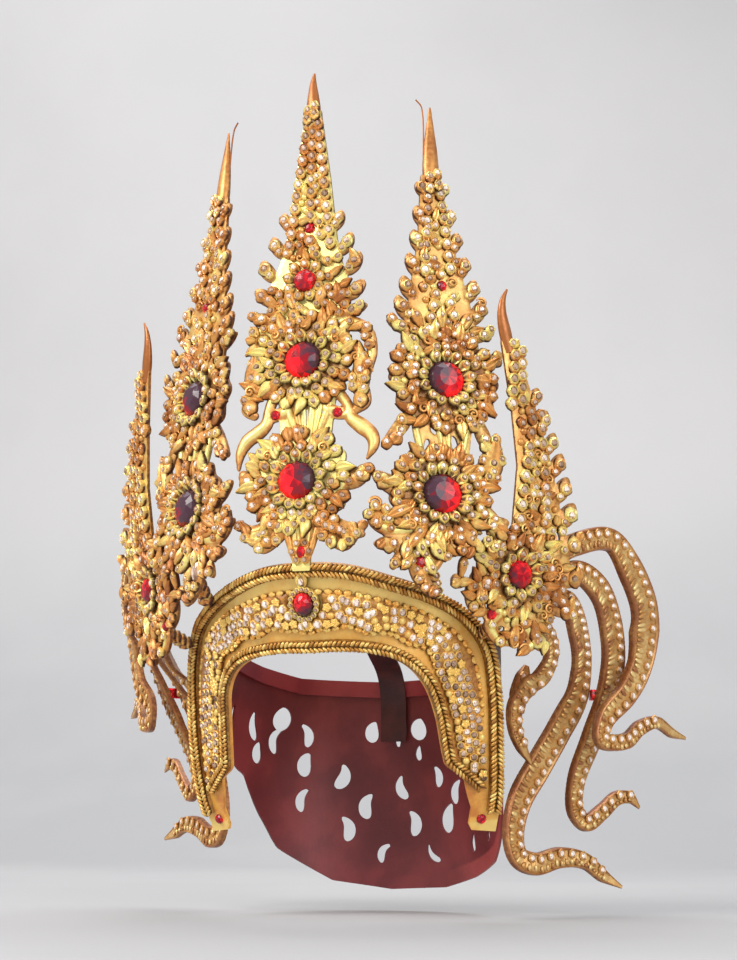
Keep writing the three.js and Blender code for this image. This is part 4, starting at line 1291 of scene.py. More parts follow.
class Palette:
    """Every material of the piece and of the studio."""

    def __init__(self) -> None:
        """Builds the materials in a fixed order."""
        effects = Effects()
        gilt = (
            GiltFinish(Slot.GILT, "481e0a", "b0682e", "e2a052", "fae88c", 0.5, 0.35),
            GiltFinish(Slot.BAND, "744214", "dc8a3c", "f8b854", "ffda7c", 0.3, 0.3),
            GiltFinish(Slot.CORD, "5a3412", "a06a26", "d89e46", "fad67c", 0.5, 0.25),
            GiltFinish(Slot.TAIL, "6a3a22", "a8683c", "d49c54", "fad890", 0.5, 0.6))
        stones = (
            StoneFinish(Slot.RED, "4c303c", "98101e", "f01c26", 0.4, 0.0),
            StoneFinish(Slot.CLEAR, "6a4834", "c8a68c", "fff0e4", 0.1, 0.2))
        paint = (
            PaintFinish(Slot.LACQUER.value, "6c2426", "883234", 0.5, 26.0, 0.15, 0.25, "b04c48"),
            PaintFinish(Slot.RIM.value, "84242c", "a43c40", 0.42, 30.0, 0.2, 0.2, "5c1a1c"),
            PaintFinish(Slot.STRAP.value, "3a1212", "5a2420", 0.55, 60.0, 0.1, 0.4, "2a0c0c"),
            PaintFinish("tan_paint", "b4a684", "d2c6a8", 0.6, 24.0, 0.0, 0.3, "4c3424"),
            # Plaster: its Low colour is the painted shade of the floor.
            PaintFinish("plaster", "c4c2c1", "c9c7c6", 0.85, 2.2, 0.0, 0.02, "acacad"))
        self.by_name = {}
        for item in (*gilt, *stones, *paint):
            key = item.name if isinstance(item, PaintFinish) else item.slot.value
            self.by_name[key] = item.material(effects)

    def __getitem__(self, key: Slot | str) -> bpy.types.Material:
        """Finds a material by slot or name."""
        return self.by_name[key.value if isinstance(key, Slot) else key]


class Mark(NamedTuple):
    """One motif: kind, place, directions as columns, size, tone of its gilding."""

    kind: Motif
    place: Array
    basis: Array
    size: tuple[float, float, float]
    tone: float

    def mirrored(self) -> "Mark":
        """Turns the motif over to the other side of the head."""
        kind = MIRRORED.get(self.kind, self.kind)
        return Mark(kind, self.place * MIRROR, self.basis * MIRROR[:, None] * MIRROR, self.size, self.tone)


def tilted(turn: float, tilt: float) -> Array:
    """Finds a motif's directions as columns, turned to the right and tipped off its ground, in degrees.

    Args:
        turn: Degrees to the right.
        tilt: Degrees off the ground.

    Returns:
        A matrix of three unit columns.
    """
    angle, rise = math.radians(turn), math.radians(tilt)
    along = np.array([math.sin(angle), math.cos(angle), 0.0])
    side = np.array([math.cos(angle), -math.sin(angle), 0.0])
    out = np.array([0.0, 0.0, 1.0])
    tip = along * math.cos(rise) + out * math.sin(rise)
    return np.column_stack([side, tip, out * math.cos(rise) - along * math.sin(rise)])


class Motifs:
    """Small cast shapes and the Geometry Nodes tree that sets them on marked points."""

    LEAF_ACROSS = 6
    LEAF_ALONG = 6
    SPOON = ((-1, 0.5), (-0.74, 1.0), (-0.38, 0.52), (0, 0.42), (0.38, 0.52), (0.74, 1.0), (1, 0.5))
    DOME = ((-1, 0.2), (-0.7, 0.72), (-0.38, 1.0), (0, 0.72), (0.38, 1.0), (0.7, 0.72), (1, 0.2))

    def __init__(self) -> None:
        """Models each motif once and builds the tree."""
        self.collection = bpy.data.collections.new("motifs")
        makers = {
            Motif.BEAD: self._bead, Motif.CUP: self._cup,
            Motif.FLAME_L: lambda name: self._leaf(name, -0.42, 0.26, self.DOME),
            Motif.FLAME_R: lambda name: self._leaf(name, 0.42, 0.26, self.DOME),
            Motif.PETAL: lambda name: self._leaf(name, 0.0, 0.45, self.SPOON), Motif.STITCH: self._stitch,
            Motif.STONE: self._stone, Motif.VOLUTE_L: lambda name: self._volute(name, -1),
            Motif.VOLUTE_R: lambda name: self._volute(name, 1),
            Motif.LOBE: lambda name: self._leaf(name, 0.0, 0.6, self.DOME)}
        for kind, maker in makers.items():
            made = maker(f"motif_{int(kind)}_{kind.name.lower()}")
            bpy.context.scene.collection.objects.unlink(made)
            self.collection.objects.link(made)
        self.tree = self._tree()

    def _leaf(
        self, name: str, bend: float, widest: float, profile: Sequence[tuple[float, float]]
    ) -> bpy.types.Object:
        """Models a leaf one unit long and wide.

        Args:
            name: Name of the motif.
            bend: How far its tip leans to one side.
            widest: Where along its length it is widest.
            profile: Places across it, from -1 to 1, and their heights.

        Returns:
            The motif.
        """
        wide, tall = self.LEAF_ACROSS, self.LEAF_ALONG
        top = []
        relief = []
        for j in range(tall + 1):
            y = j / tall
            swell = math.sin(math.pi / 2 * (0.35 + 0.65 * y / widest)) if y < widest else (
                math.cos(math.pi / 2 * ((y - widest) / (1 - widest)) ** 1.25))
            half = 0.5 * max(0.04, swell)
            lift = 0.35 + 0.65 * math.sin(math.pi * (0.1 + 0.8 * y))
            for t, rise in profile:
                top.append((half * t + bend * (y * y - 0.15), y, lift * rise))
                # Painted shade: the leaf's colour darkens towards its low sides and its skirt.
                relief.append(max(0.1, 1.25 * rise - 0.3) * (0.35 + 0.65 * lift))
        edge = [*range(wide + 1)]
        edge += [j * (wide + 1) + wide for j in range(1, tall + 1)]
        edge += [tall * (wide + 1) + i for i in range(wide - 1, -1, -1)]
        edge += [j * (wide + 1) for j in range(tall - 1, 0, -1)]
        skirt = [(top[k][0], top[k][1], -0.35) for k in edge]
        faces = grid_faces(wide + 1, tall + 1)
        start = len(top)
        for k, point in enumerate(edge):
            follows = (k + 1) % len(edge)
            faces.append([edge[follows], point, start + k, start + follows])
        faces.append([start + k for k in range(len(edge))][::-1])
        points = np.array(top + skirt) / MM
        return make_object(name, points, faces, {"relief": np.array(relief + [0.1] * len(edge))})

    @staticmethod
    def _turned(
        name: str, rings: Sequence[tuple[float, float, float]], sides: int, lobes: float,
        relief: Sequence[float]
    ) -> bpy.types.Object:
        """Shape of revolution closed at both ends.

        Args:
            name: Name of the motif.
            rings: Radius, height and share of the lobes for each ring, from the foot up.
            sides: Points round a ring.
            lobes: Depth of the lobes on every second point.
            relief: Relief of each ring, which sets how dark it is painted as shade.

        Returns:
            The motif.
        """
        points = []
        values = []
        for (radius, height, share), shade in zip(rings, relief):
            for k in range(sides):
                angle = 2 * math.pi * k / sides
                reach = radius * (1 + lobes * share * (1 if k % 2 == 0 else -1))
                points.append((reach * math.cos(angle), reach * math.sin(angle), height))
                values.append(shade)
        faces = loft_faces(len(rings), sides)
        return make_object(name, np.array(points) / MM, faces, {"relief": np.array(values)}, 40.0)

    def _bead(self, name: str) -> bpy.types.Object:
        """Round bead of radius one."""
        rings = ((0.95, -0.4, 0), (1.0, 0.15, 0), (0.8, 0.62, 0), (0.42, 0.9, 0), (0.12, 0.97, 0))
        # Painted shade: the bead darkens towards its foot.
        return self._turned(name, rings, 10, 0.0, (0.1, 0.4, 0.7, 0.95, 1.0))

    def _cup(self, name: str) -> bpy.types.Object:
        """Lobed cup of radius one that holds a stone.

        Args:
            name: Name of the motif.

        Returns:
            The motif.
        """
        rings = (
            (0.9, -0.5, 0), (1.0, 0.25, 1), (0.96, 0.75, 1), (0.78, 0.95, 0.6), (0.62, 0.7, 0),
            (0.2, 0.5, 0))
        # Painted shade: the cup is light at its rim and dark inside and at its foot.
        return self._turned(name, rings, 12, 0.07, (0.1, 0.5, 0.85, 1.0, 0.25, 0.1))

    def _stitch(self, name: str) -> bpy.types.Object:
        """Slanted lay of a braid: a plump grain, one unit long and two thirds wide.

        Args:
            name: Name of the motif.

        Returns:
            The motif.
        """
        rings = []
        relief = []
        for j in range(6):
            y = j / 5
            swell = math.sqrt(max(0.02, 1 - (2 * y - 1) ** 2 * 0.97))
            for k in range(7):
                angle = 2 * math.pi * k / 7
                rings.append((0.34 * swell * math.cos(angle), y - 0.5, 0.5 * swell * math.sin(angle) + 0.4))
                # Painted shade: each grain is light on top and dark at its sides and underneath.
                relief.append(0.1 + 0.9 * max(0.0, math.sin(angle)) * swell)
        faces = flip_faces(loft_faces(6, 7))
        return make_object(name, np.array(rings) / MM, faces, {"relief": np.array(relief)}, 80.0)

    @staticmethod
    def _stone(name: str) -> bpy.types.Object:
        """Small brilliant of radius one: girdle, crown facets, table.

        Args:
            name: Name of the motif.

        Returns:
            The motif.
        """
        levels = ((1.0, -0.3, 0.0), (1.0, 0.12, 0.0), (0.74, 0.52, 0.5), (0.4, 0.68, 0.0))
        points, faces = cut_stone(levels, 8, flat_table=True)
        made = make_object(name, points / MM, faces, {"relief": np.ones(len(points))}, 0.0)
        chance = random.Random(11)
        # Painted glints: each crown facet gets a random brightness and the table is drawn bright.
        set_facets(made, [*(0.3 + 0.7 * chance.random() for _ in faces[:-1]), 0.85])
        return made

    @staticmethod
    def _volute(name: str, hand: int) -> bpy.types.Object:
        """Curled tendril of radius one.

        Args:
            name: Name of the motif.
            hand: 1 if it curls to the right, -1 to the left.

        Returns:
            The motif.
        """
        turns = np.linspace(0, 2.9 * math.pi, 24)
        reach = np.interp(turns, [0, 2.9 * math.pi], [0.92, 0.12])
        path = np.column_stack(
            [hand * reach * np.cos(turns), reach * np.sin(turns), 0.25 + 0.35 * turns / 9])
        radii = np.interp(turns, [0, 1, 2.9 * math.pi], [0.1, 0.26, 0.14])
        return tube(name, path / MM, radii / MM, np.array([0.0, 0.0, 1.0]), 1.2, 0.5, 7)

    def _tree(self) -> bpy.types.NodeTree:
        """Builds the tree that sets motifs on points by their attributes.

        Returns:
            The tree.
        """
        tree = bpy.data.node_groups.new("ornament_scatter", "GeometryNodeTree")
        for label, kind in (
            ("Geometry", "NodeSocketGeometry"), ("Motifs", "NodeSocketCollection"),
            ("Finish", "NodeSocketMaterial"), ("Size", "NodeSocketFloat")
        ):
            tree.interface.new_socket(label, in_out="INPUT", socket_type=kind)
        tree.interface.new_socket("Geometry", in_out="OUTPUT", socket_type="NodeSocketGeometry")
        book = NodeBook(tree)
        source, sink = book.add("NodeGroupInput"), book.add("NodeGroupOutput")
        children = book.add("GeometryNodeCollectionInfo", transform_space="ORIGINAL")
        children.inputs["Separate Children"].default_value = True
        children.inputs["Reset Children"].default_value = True
        book.link(source.outputs["Motifs"], children.inputs["Collection"])
        named = {}
        for key, kind in (("kind", "INT"), ("turn", "FLOAT_VECTOR"), ("size", "FLOAT_VECTOR")):
            node = book.add("GeometryNodeInputNamedAttribute", data_type=kind)
            node.inputs["Name"].default_value = key
            named[key] = node.outputs["Attribute"]
        turn = book.add("FunctionNodeEulerToRotation")
        book.link(named["turn"], turn.inputs[0])
        scale = book.add("ShaderNodeVectorMath", operation="SCALE")
        book.link(named["size"], scale.inputs[0])
        book.link(source.outputs["Size"], scale.inputs["Scale"])
        spread = book.add("GeometryNodeInstanceOnPoints")
        spread.inputs["Pick Instance"].default_value = True
        book.link(source.outputs["Geometry"], spread.inputs["Points"])
        book.link(children.outputs[0], spread.inputs["Instance"])
        book.link(named["kind"], spread.inputs["Instance Index"])
        book.link(turn.outputs[0], spread.inputs["Rotation"])
        book.link(scale.outputs[0], spread.inputs["Scale"])
        real = book.add("GeometryNodeRealizeInstances")
        book.link(spread.outputs[0], real.inputs[0])
        paint = book.add("GeometryNodeSetMaterial")
        book.link(real.outputs[0], paint.inputs["Geometry"])
        book.link(source.outputs["Finish"], paint.inputs["Material"])
        book.link(paint.outputs[0], sink.inputs[0])
        return tree

    def set_on(self, name: str, marks: Sequence[Mark], finish: bpy.types.Material) -> bpy.types.Object:
        """Sets motifs on their marks and keeps the result as a plain mesh.

        Args:
            name: Name of the piece.
            marks: Kind, place, turn and size of each motif.
            finish: Material of the piece.

        Returns:
            The new object.
        """
        mesh = bpy.data.meshes.new(name + "_marks")
        mesh.from_pydata([(mark.place * MM).tolist() for mark in marks], [], [])
        turns = [Matrix(mark.basis.tolist()).to_euler("XYZ") for mark in marks]
        sizes = np.array([mark.size for mark in marks], dtype=np.float32).ravel() * MM
        for key, kind, part, numbers in (
            ("kind", "INT", "value", [int(mark.kind) for mark in marks]),
            ("turn", "FLOAT_VECTOR", "vector", np.array(turns, dtype=np.float32).ravel()),
            ("size", "FLOAT_VECTOR", "vector", sizes), ("tone", "FLOAT", "value", [m.tone for m in marks])
        ):
            mesh.attributes.new(key, kind, "POINT").data.foreach_set(part, numbers)
        made = bpy.data.objects.new(name, mesh)
        bpy.context.scene.collection.objects.link(made)
        worker = made.modifiers.new("ornament", "NODES")
        worker.node_group = self.tree
        given = {"Motifs": self.collection, "Finish": finish, "Size": 1.0}
        for item in self.tree.interface.items_tree:
            if item.in_out == "INPUT" and item.name in given:
                worker[item.identifier] = given[item.name]
        made.update_tag()
        graph = bpy.context.evaluated_depsgraph_get()
        solid = bpy.data.meshes.new_from_object(
            made.evaluated_get(graph), preserve_all_data_layers=True, depsgraph=graph)
        made.modifiers.clear()
        made.data = solid
        solid.name = name
        bpy.data.meshes.remove(mesh)
        for key in ("kind", "turn", "size"):
            if key in solid.attributes:
                solid.attributes.remove(solid.attributes[key])
        return made

    def clear(self) -> None:
        """Removes the loose motifs once every piece is made."""
        for item in list(self.collection.objects):
            bpy.data.objects.remove(item)
        bpy.data.collections.remove(self.collection)


def cut_stone(
    levels: Sequence[tuple[float, float, float]], sides: int, flat_table: bool
) -> tuple[Array, list[list[int]]]:
    """Draws a cut stone of radius one.

    Args:
        levels: Radius, height and turn, in steps of a side, of each ring from the foot up.
        sides: Points round a ring.
        flat_table: Whether the top is one flat face, or a fan of facets about a middle point.

    Returns:
        Points and faces.
    """
    points = []
    for radius, height, turn in levels:
        for k in range(sides):
            angle = 2 * math.pi * (k + turn) / sides
            points.append((radius * math.cos(angle), radius * math.sin(angle), height))
    faces = [list(range(sides))[::-1]]
    for i in range(len(levels) - 1):
        low, high = i * sides, (i + 1) * sides
        shift = levels[i + 1][2] - levels[i][2]
        for k in range(sides):
            n = (k + 1) % sides
            if shift == 0:
                faces.append([low + k, low + n, high + n, high + k])
            elif shift > 0:
                faces.append([low + k, low + n, high + k])
                faces.append([low + n, high + n, high + k])
            else:
                faces.append([low + k, high + n, high + k])
                faces.append([low + k, low + n, high + n])
    last = (len(levels) - 1) * sides
    if flat_table:
        faces.append([last + k for k in range(sides)])
    else:
        points.append((0.0, 0.0, levels[-1][1] * 1.03))
        hub = len(points) - 1
        faces.extend([last + k, last + (k + 1) % sides, hub] for k in range(sides))
    return np.array(points), faces


def set_facets(made: bpy.types.Object, values: Sequence[float]) -> None:
    """Stores how bright each facet looks."""
    layer = made.data.attributes.new("facet", "FLOAT", "FACE")
    layer.data.foreach_set("value", np.asarray(values, dtype=np.float32))


GEM_LEVELS = ((1.0, 0.0, 0.0), (1.0, 0.18, 0.0), (0.82, 0.6, 0.5), (0.5, 0.92, 0.0))
GEM_LEAN = 0.75
GEM_SPREAD = 0.4


def make_gem(
    name: str, stone: Stone, to_world: Mapping, seat: float, mirror: bool, light: float = 0.5
) -> bpy.types.Object:
    """Cuts one stone in its place.

    Args:
        name: Name of the piece.
        stone: Place, size and painted bright side.
        to_world: Places the plate's coordinates in the room.
        seat: Level that the stone stands on.
        mirror: Whether it is on the other side of the head.
        light: How bright its facets are painted on the whole, a painted reflection.

    Returns:
        The new object.
    """
    large = max(stone.rx, stone.ry) > LARGE_STONE
    sides = 12 if large else 8
    points, faces = cut_stone(GEM_LEVELS, sides, flat_table=False)
    if stone.clear:
        points[:, 0] *= 1 - 0.35 * np.abs(points[:, 1]) ** 2
    chance = random.Random(name)
    bright = []
    # Painted reflection: facets towards the stone's shine direction are drawn brighter, the rest darker, with
    # a random spread.
    for face in faces:
        middle = points[face].mean(axis=0)
        lean = middle[0] * stone.shine[0] + middle[1] * stone.shine[1]
        bright.append(light + GEM_LEAN * lean + GEM_SPREAD * (chance.random() - 0.5))
    local = points * np.array([stone.rx, stone.ry, stone.rise])
    local = local + np.array([stone.u, stone.v, seat])
    places = to_world(local)
    if mirror:
        places = places * MIRROR
        faces = flip_faces(faces)
    made = make_object(name, places, faces, {"tone": np.ones(len(places))}, 0.0)
    set_facets(made, bright)
    return made


@dataclass(frozen=True)
class PlateFrame:
    """Plane of a spire: foot, turn about the vertical from the front, lean back."""

    x: float
    y: float
    z: float
    turn: float
    lean: float

    def basis(self) -> Array:
        """Finds the directions across, up and out as columns.

        Returns:
            A matrix of three unit columns.
        """
        turn, lean = math.radians(self.turn), math.radians(self.lean)
        flat = np.array([math.sin(turn), -math.cos(turn), 0.0])
        across = np.array([math.cos(turn), math.sin(turn), 0.0])
        up = np.array([0, 0, math.cos(lean)]) - flat * math.sin(lean)
        out = np.array([0, 0, math.sin(lean)]) + flat * math.cos(lean)
        return np.column_stack([across, up, out])

    def world(self, local: Array) -> Array:
        """Places coordinates across, up and out in the room."""
        return np.array([self.x, self.y, self.z]) + np.asarray(local) @ self.basis().T


@dataclass(frozen=True)
class Prop:
    """Strut from a plate's back to the braided edge of the band."""

    u: float
    v: float
    s: float


@dataclass(frozen=True)
class SpireSpec:
    """Everything that shapes one kind of spire; a field in pairs has the right side's value first."""

    name: str
    plate: PlateFrame
    ground: tuple[GroundRow, ...]
    leaves: tuple[Leaf, ...]
    rosettes: tuple[Rosette, ...]
    scrolls: tuple[tuple[RibbonRow, ...], ...]
    bosses: tuple[BossRow, ...]
    gaps: tuple[Gap, ...]
    stones: tuple[Stone, ...]
    horn: tuple[Horn, ...]
    plain: tuple[Zone, ...]
    reeds: tuple[Reed, ...] = ()
    trim: tuple[Leaf, ...] = ()
    curls: tuple[tuple[RibbonRow, ...], ...] = ()
    wire: tuple[tuple[float, float], ...] = ()
    prop: Prop | None = None
    ground_tone: float = 0.95
    seed: int = 1
    horn_tone: float = -0.05
    gem_light: tuple[float, float] = (0.55, 0.55)
    stems: tuple[Stone, ...] = ()


CENTRE_SPEC = SpireSpec(
    name="spire_centre",
    plate=PlateFrame(0, -116, 55, 0, 3),
    ground=table_of(
        GroundRow, (312, -4.4, 7), (306, -4.8, 7.6), (262, -10, 14.5), (218, -15, 20), (200, -20, 24),
        (186, -26, 29), (156, -26, 28), (104, -17, 21), (84, -15, 19), (62, -24, 24), (36, -22, 24),
        (24, -10, 12), (12, -6, 8), (4, -5, 7), (-5, -5, 7)),
    leaves=table_of(
        Leaf, (-14, 228, 10, 8, -28), (19, 226, 10, 8, 28), (-19, 210, 12, 9, -34), (24, 208, 12, 9, 34),
        (-25, 194, 12, 10, -38), (29, 194, 12, 10, 38), (-24, 177, 13, 10, -62), (28, 176, 13, 10, 58),
        (-20, 163, 18, 9, -84), (22, 164, 18, 9, 84), (-34, 112, 33, 13, -6), (37, 112, 33, 13, 8),
        (-29, 50, 15, 12, -58), (31, 50, 17, 12, 62), (-12, 28, 26, 11, -122), (14, 28, 28, 11, 122)),
    rosettes=table_of(
        Rosette, (-1, 188.5, 15, 7, 8.4, 0.9), (-0.6, 133.6, 33, 11, 13, 0.5),
        (-2.5, 53.2, 34, 12, 13.2, 1.0)),
    scrolls=(
        table_of(
            RibbonRow, (-20, 112, 4), (-24, 101, 3.2), (-25, 93, 4), (-31, 87, 4.8), (-38, 82, 4.6),
            (-42.4, 74, 3.2), (-43.5, 62.5, 0.8)),
        table_of(
            RibbonRow, (22, 112, 4), (30, 101, 3.2), (32, 93, 4.2), (39, 87, 5.2), (45.5, 81, 4.6),
            (47, 74, 3.4), (43, 65.5, 0.8)),
        table_of(RibbonRow, (-10, 100, 4.4), (-19, 98, 4.2), (-26, 95, 2.6)),
        table_of(RibbonRow, (14, 100, 4.4), (23, 97, 4.2), (32, 95, 2.6)),
        table_of(RibbonRow, (-18, 148, 4.5), (-28, 157, 4.2), (-36, 151, 3.6), (-34, 142, 2.4)),
        table_of(RibbonRow, (20, 148, 4.5), (31, 157, 4.2), (42, 150, 4), (45, 136, 3.4), (42, 122, 2.4))),
    bosses=table_of(
        BossRow, (312, 306, 2, 2.2, 2.6, 2, 1.2, 4.2), (301, 214, 11, 3.6, 14, 3, 2),
        (176, 160, 2, 9, 12, 2, 1)),
    gaps=table_of(
        Gap, (-27, 128, 1.6, 6, 8), (31, 128, 1.6, 6, -8), (-7.5, 95, 1.3, 6, 6), (2, 96, 1.3, 6, 0),
        (11.5, 95, 1.3, 6, -6), (-19, 158, 1.8, 2.4, 40), (21, 158, 1.8, 2.4, -40)),
    stones=table_of(
        Stone, ("stone_centre_top", -1, 188.5, 7.8, 7.8, 4.6, (0.1, 0.1)),
        ("stone_centre_upper", -0.6, 133.6, 12.3, 12.3, 7, (-0.9, -0.35)),
        ("stone_centre_lower", -2.5, 53.2, 12.5, 12.5, 7, (-0.9, -0.2)),
        ("stone_centre_small", 1, 226, 3.6, 3.6, 2.6, (0.1, 0)),
        ("stone_centre_stem", 1, 7, 3.4, 4, 2.6, (0.1, 0)),
        ("stone_tail_scroll_r", 23, 97, 3.4, 3.4, 2.4, (0.1, 0)),
        ("stone_tail_scroll_l", -19, 98, 3.4, 3.4, 2.4, (0.1, 0))),
    horn=table_of(
        Horn, (300, 1.8, 6.6), (312, 1.3, 5.4), (324, 0.8, 3.8), (333, 0.6, 2.3), (340, 1.2, 0.8)),
    plain=table_of(
        Zone, (-25, -13, 184, 206), (21, 30, 184, 202), (-60, 60, 78, 108), (-12, 14, -10, 24),
        (-60, -34, 58, 90), (36, 60, 58, 90)),
    reeds=table_of(
        Reed, (-3, 80, -12, 106, 1.8, 3.2, 1.0), (-1, 80, -6, 108, 1.6, 2.8, 0.7),
        (1, 80, -0.5, 108, 1.6, 2.6, 1.1), (5, 80, 6, 108, 1.6, 2.6, 0.8), (7, 80, 12, 107, 1.6, 2.8, 1.1),
        (9, 79, 18, 104, 1.8, 3.2, 0.7), (-3.4, 0, -11, 27, 1.7, 3.0, 0.5),
        (-1.2, 0, -5.5, 29, 1.5, 2.6, 0.8), (1, 10, 0.6, 30, 1.4, 2.4, 0.4),
        (3.2, 0, 6.5, 29, 1.5, 2.6, 0.8), (5.4, 0, 12.5, 27, 1.7, 3.0, 0.5)),
    curls=(
        table_of(RibbonRow, (-10, 30, 6), (-22, 24, 5), (-33, 21.5, 4.4), (-40, 26, 3)),
        table_of(RibbonRow, (-8, 26, 5), (-17, 16, 4), (-25, 10.5, 3.2), (-31, 14, 2.2)),
        table_of(RibbonRow, (12, 30, 6), (24, 23, 5), (35, 19, 4.4), (41, 23, 3)),
        table_of(RibbonRow, (10, 26, 5), (20, 15, 4), (29, 10, 3.2), (35, 14, 2.2)),
        table_of(RibbonRow, (-33, 118, 5), (-36, 110, 5), (-38, 103, 4.6), (-34, 99, 3)),
        table_of(RibbonRow, (36, 118, 5), (39, 110, 5), (40, 103, 4.6), (36, 99, 3))),
    trim=table_of(
        Leaf, (-35, 110, 12, 10, -172), (38, 110, 12, 10, 172), (-2, 78, 13, 9, -6), (8, 74, 13, 9, 24),
        (-13, 74, 13, 9, -30), (-20, 172, 12, 8, -50), (20, 172, 12, 8, 50), (-8, 170, 14, 8, -20),
        (8, 170, 14, 8, 20)),
    ground_tone=1.05,
    seed=3,
)

MID_SPEC = SpireSpec(
    name="spire_mid",
    plate=PlateFrame(89.8, -93.1, 48.2, 34, 5.6),
    ground=table_of(
        GroundRow, (276, -6.8, 7), (271, -7.5, 7.5), (228, -11, 13), (195, -17, 21), (164, -23, 28),
        (120, -24, 28), (100, -18, 21), (80, -15, 18), (60, -24, 22), (38, -24, 24), (20, -27, 13),
        (8, -27, -7), (-2, -24, -11)),
    leaves=table_of(
        Leaf, (-5, 262, 8, 8, -40), (6, 262, 8, 8, 40), (-8, 240, 11, 8, -24), (10, 240, 11, 8, 24),
        (-10, 221, 12, 9, -26), (13, 222, 12, 9, 26), (-13, 203, 13, 9, -30), (17, 204, 13, 9, 30),
        (-17, 186, 13, 10, -32), (22, 188, 13, 10, 32), (-20, 171, 14, 10, -36), (26, 173, 14, 10, 34),
        (-16, 161, 18, 9, -78), (21, 160, 18, 9, 80), (29, 140, 17, 10, 64), (-22, 104, 27, 10, -151),
        (25, 102, 24, 10, 166), (28, 62, 34, 17, 24), (-28, 52, 20, 12, -70), (-24, 34, 28, 13, -96),
        (-26, 20, 20, 11, -108), (18, 32, 22, 13, 92)),
    rosettes=table_of(Rosette, (3, 128.4, 36, 12, 13), (-3, 50.8, 33, 11, 13.6)),
    scrolls=(
        table_of(RibbonRow, (-22, 28, 5), (-38, 26, 4.4), (-48, 32, 3.8), (-47, 42, 2.4)),
        table_of(RibbonRow, (20, 46, 5), (32, 36, 4.4), (36, 25, 3.6), (30, 17, 2))),
    bosses=table_of(
        BossRow, (274, 266, 2, 2.6, 3.0, 2, 0.3, 4.6), (260, 206, 7, 4.4, 9, 2, 1),
        (198, 164, 5, 2, 10, 2, 3)),
    gaps=table_of(
        Gap, (-4.6, 94, 3, 3.4, 60), (8, 85, 2.2, 6, 8), (-11, 83, 1.8, 5, -12), (-17, 156, 2, 4.4, 10),
        (29, 147, 4.6, 1.8, -20), (24, 156, 1.5, 4, 0), (-34, 38, 3.4, 1.6, 10), (25, 29, 1.8, 3.6, 20)),
    stones=table_of(
        Stone, ("stone_mid_upper", 3, 128.4, 12.3, 12.6, 7, (0.85, -0.35)),
        ("stone_mid_lower", -3, 50.8, 12.9, 13, 7, (0.85, -0.35)),
        ("stone_mid_small", 4, 195, 3.6, 3.8, 2.6, (0.3, 0))),
    horn=table_of(Horn, (262, 0, 6.6), (278, 0.2, 6.2), (296, 0.6, 4.9), (314, 1.2, 2.6), (328, 1.8, 0.7)),
    plain=table_of(Zone, (-22, -9, 168, 214), (13, 26, 168, 200), (-30, 30, 78, 98)),
    reeds=table_of(
        Reed, (-15, 76, -20, 104, 3, 2.4), (-1, 80, -4, 108, 2.2, 2.4), (3.5, 80, 4, 108, 2.2, 2.4),
        (13, 78, 18, 104, 2.8, 2.4)),
    curls=(
        table_of(
            RibbonRow, (-15, 2, 3.6), (-9, 3.4, 2.6), (-4.4, 9, 2.4), (2, 12.6, 2.4), (9, 14, 2.4),
            (15, 12, 2)),
        table_of(RibbonRow, (-21, 6, 6), (-19, -2, 5.6), (-15, -9, 4.4), (-10, -13, 2.4)),
        table_of(RibbonRow, (-27, 14, 4), (-33, 8, 3.2), (-36, 3, 2.4)),
        table_of(RibbonRow, (6, 24, 5), (14, 18, 4), (22, 17, 3), (26, 22, 2.2))),
    trim=table_of(
        Leaf, (-25, 22, 17, 8, -160), (-19, 22, 13, 8, 176), (-12, 20, 15, 8, 150), (-24, 10, 13, 7, -140),
        (-15, 9, 13, 7, 160), (-20, 44, 24, 8, -118), (-14, 30, 22, 8, -140), (8, 30, 18, 8, 140),
        (-12, 164, 14, 8, -28), (2, 164, 15, 8, 0), (16, 164, 14, 8, 28)),
    wire=((-4.4, 290), (-3.9, 300), (-3.4, 312), (-3.6, 324), (-4.6, 329), (-8.2, 333)),
    prop=Prop(-14, 8, 0.33),
    ground_tone=0.62,
    seed=5,
    horn_tone=0.25,
    # Painted light: the large stones on the left side are drawn darker than on the right.
    gem_light=(0.4, 0.1),
    stems=table_of(
        Stone, ("stone_mid_stem", -18.5, 6, 3.6, 3.6, 2.6, (0.1, 0)),
        ("stone_mid_stem", -19, 8, 5, 9, 3.4, (0.3, 0.2), True)),
)
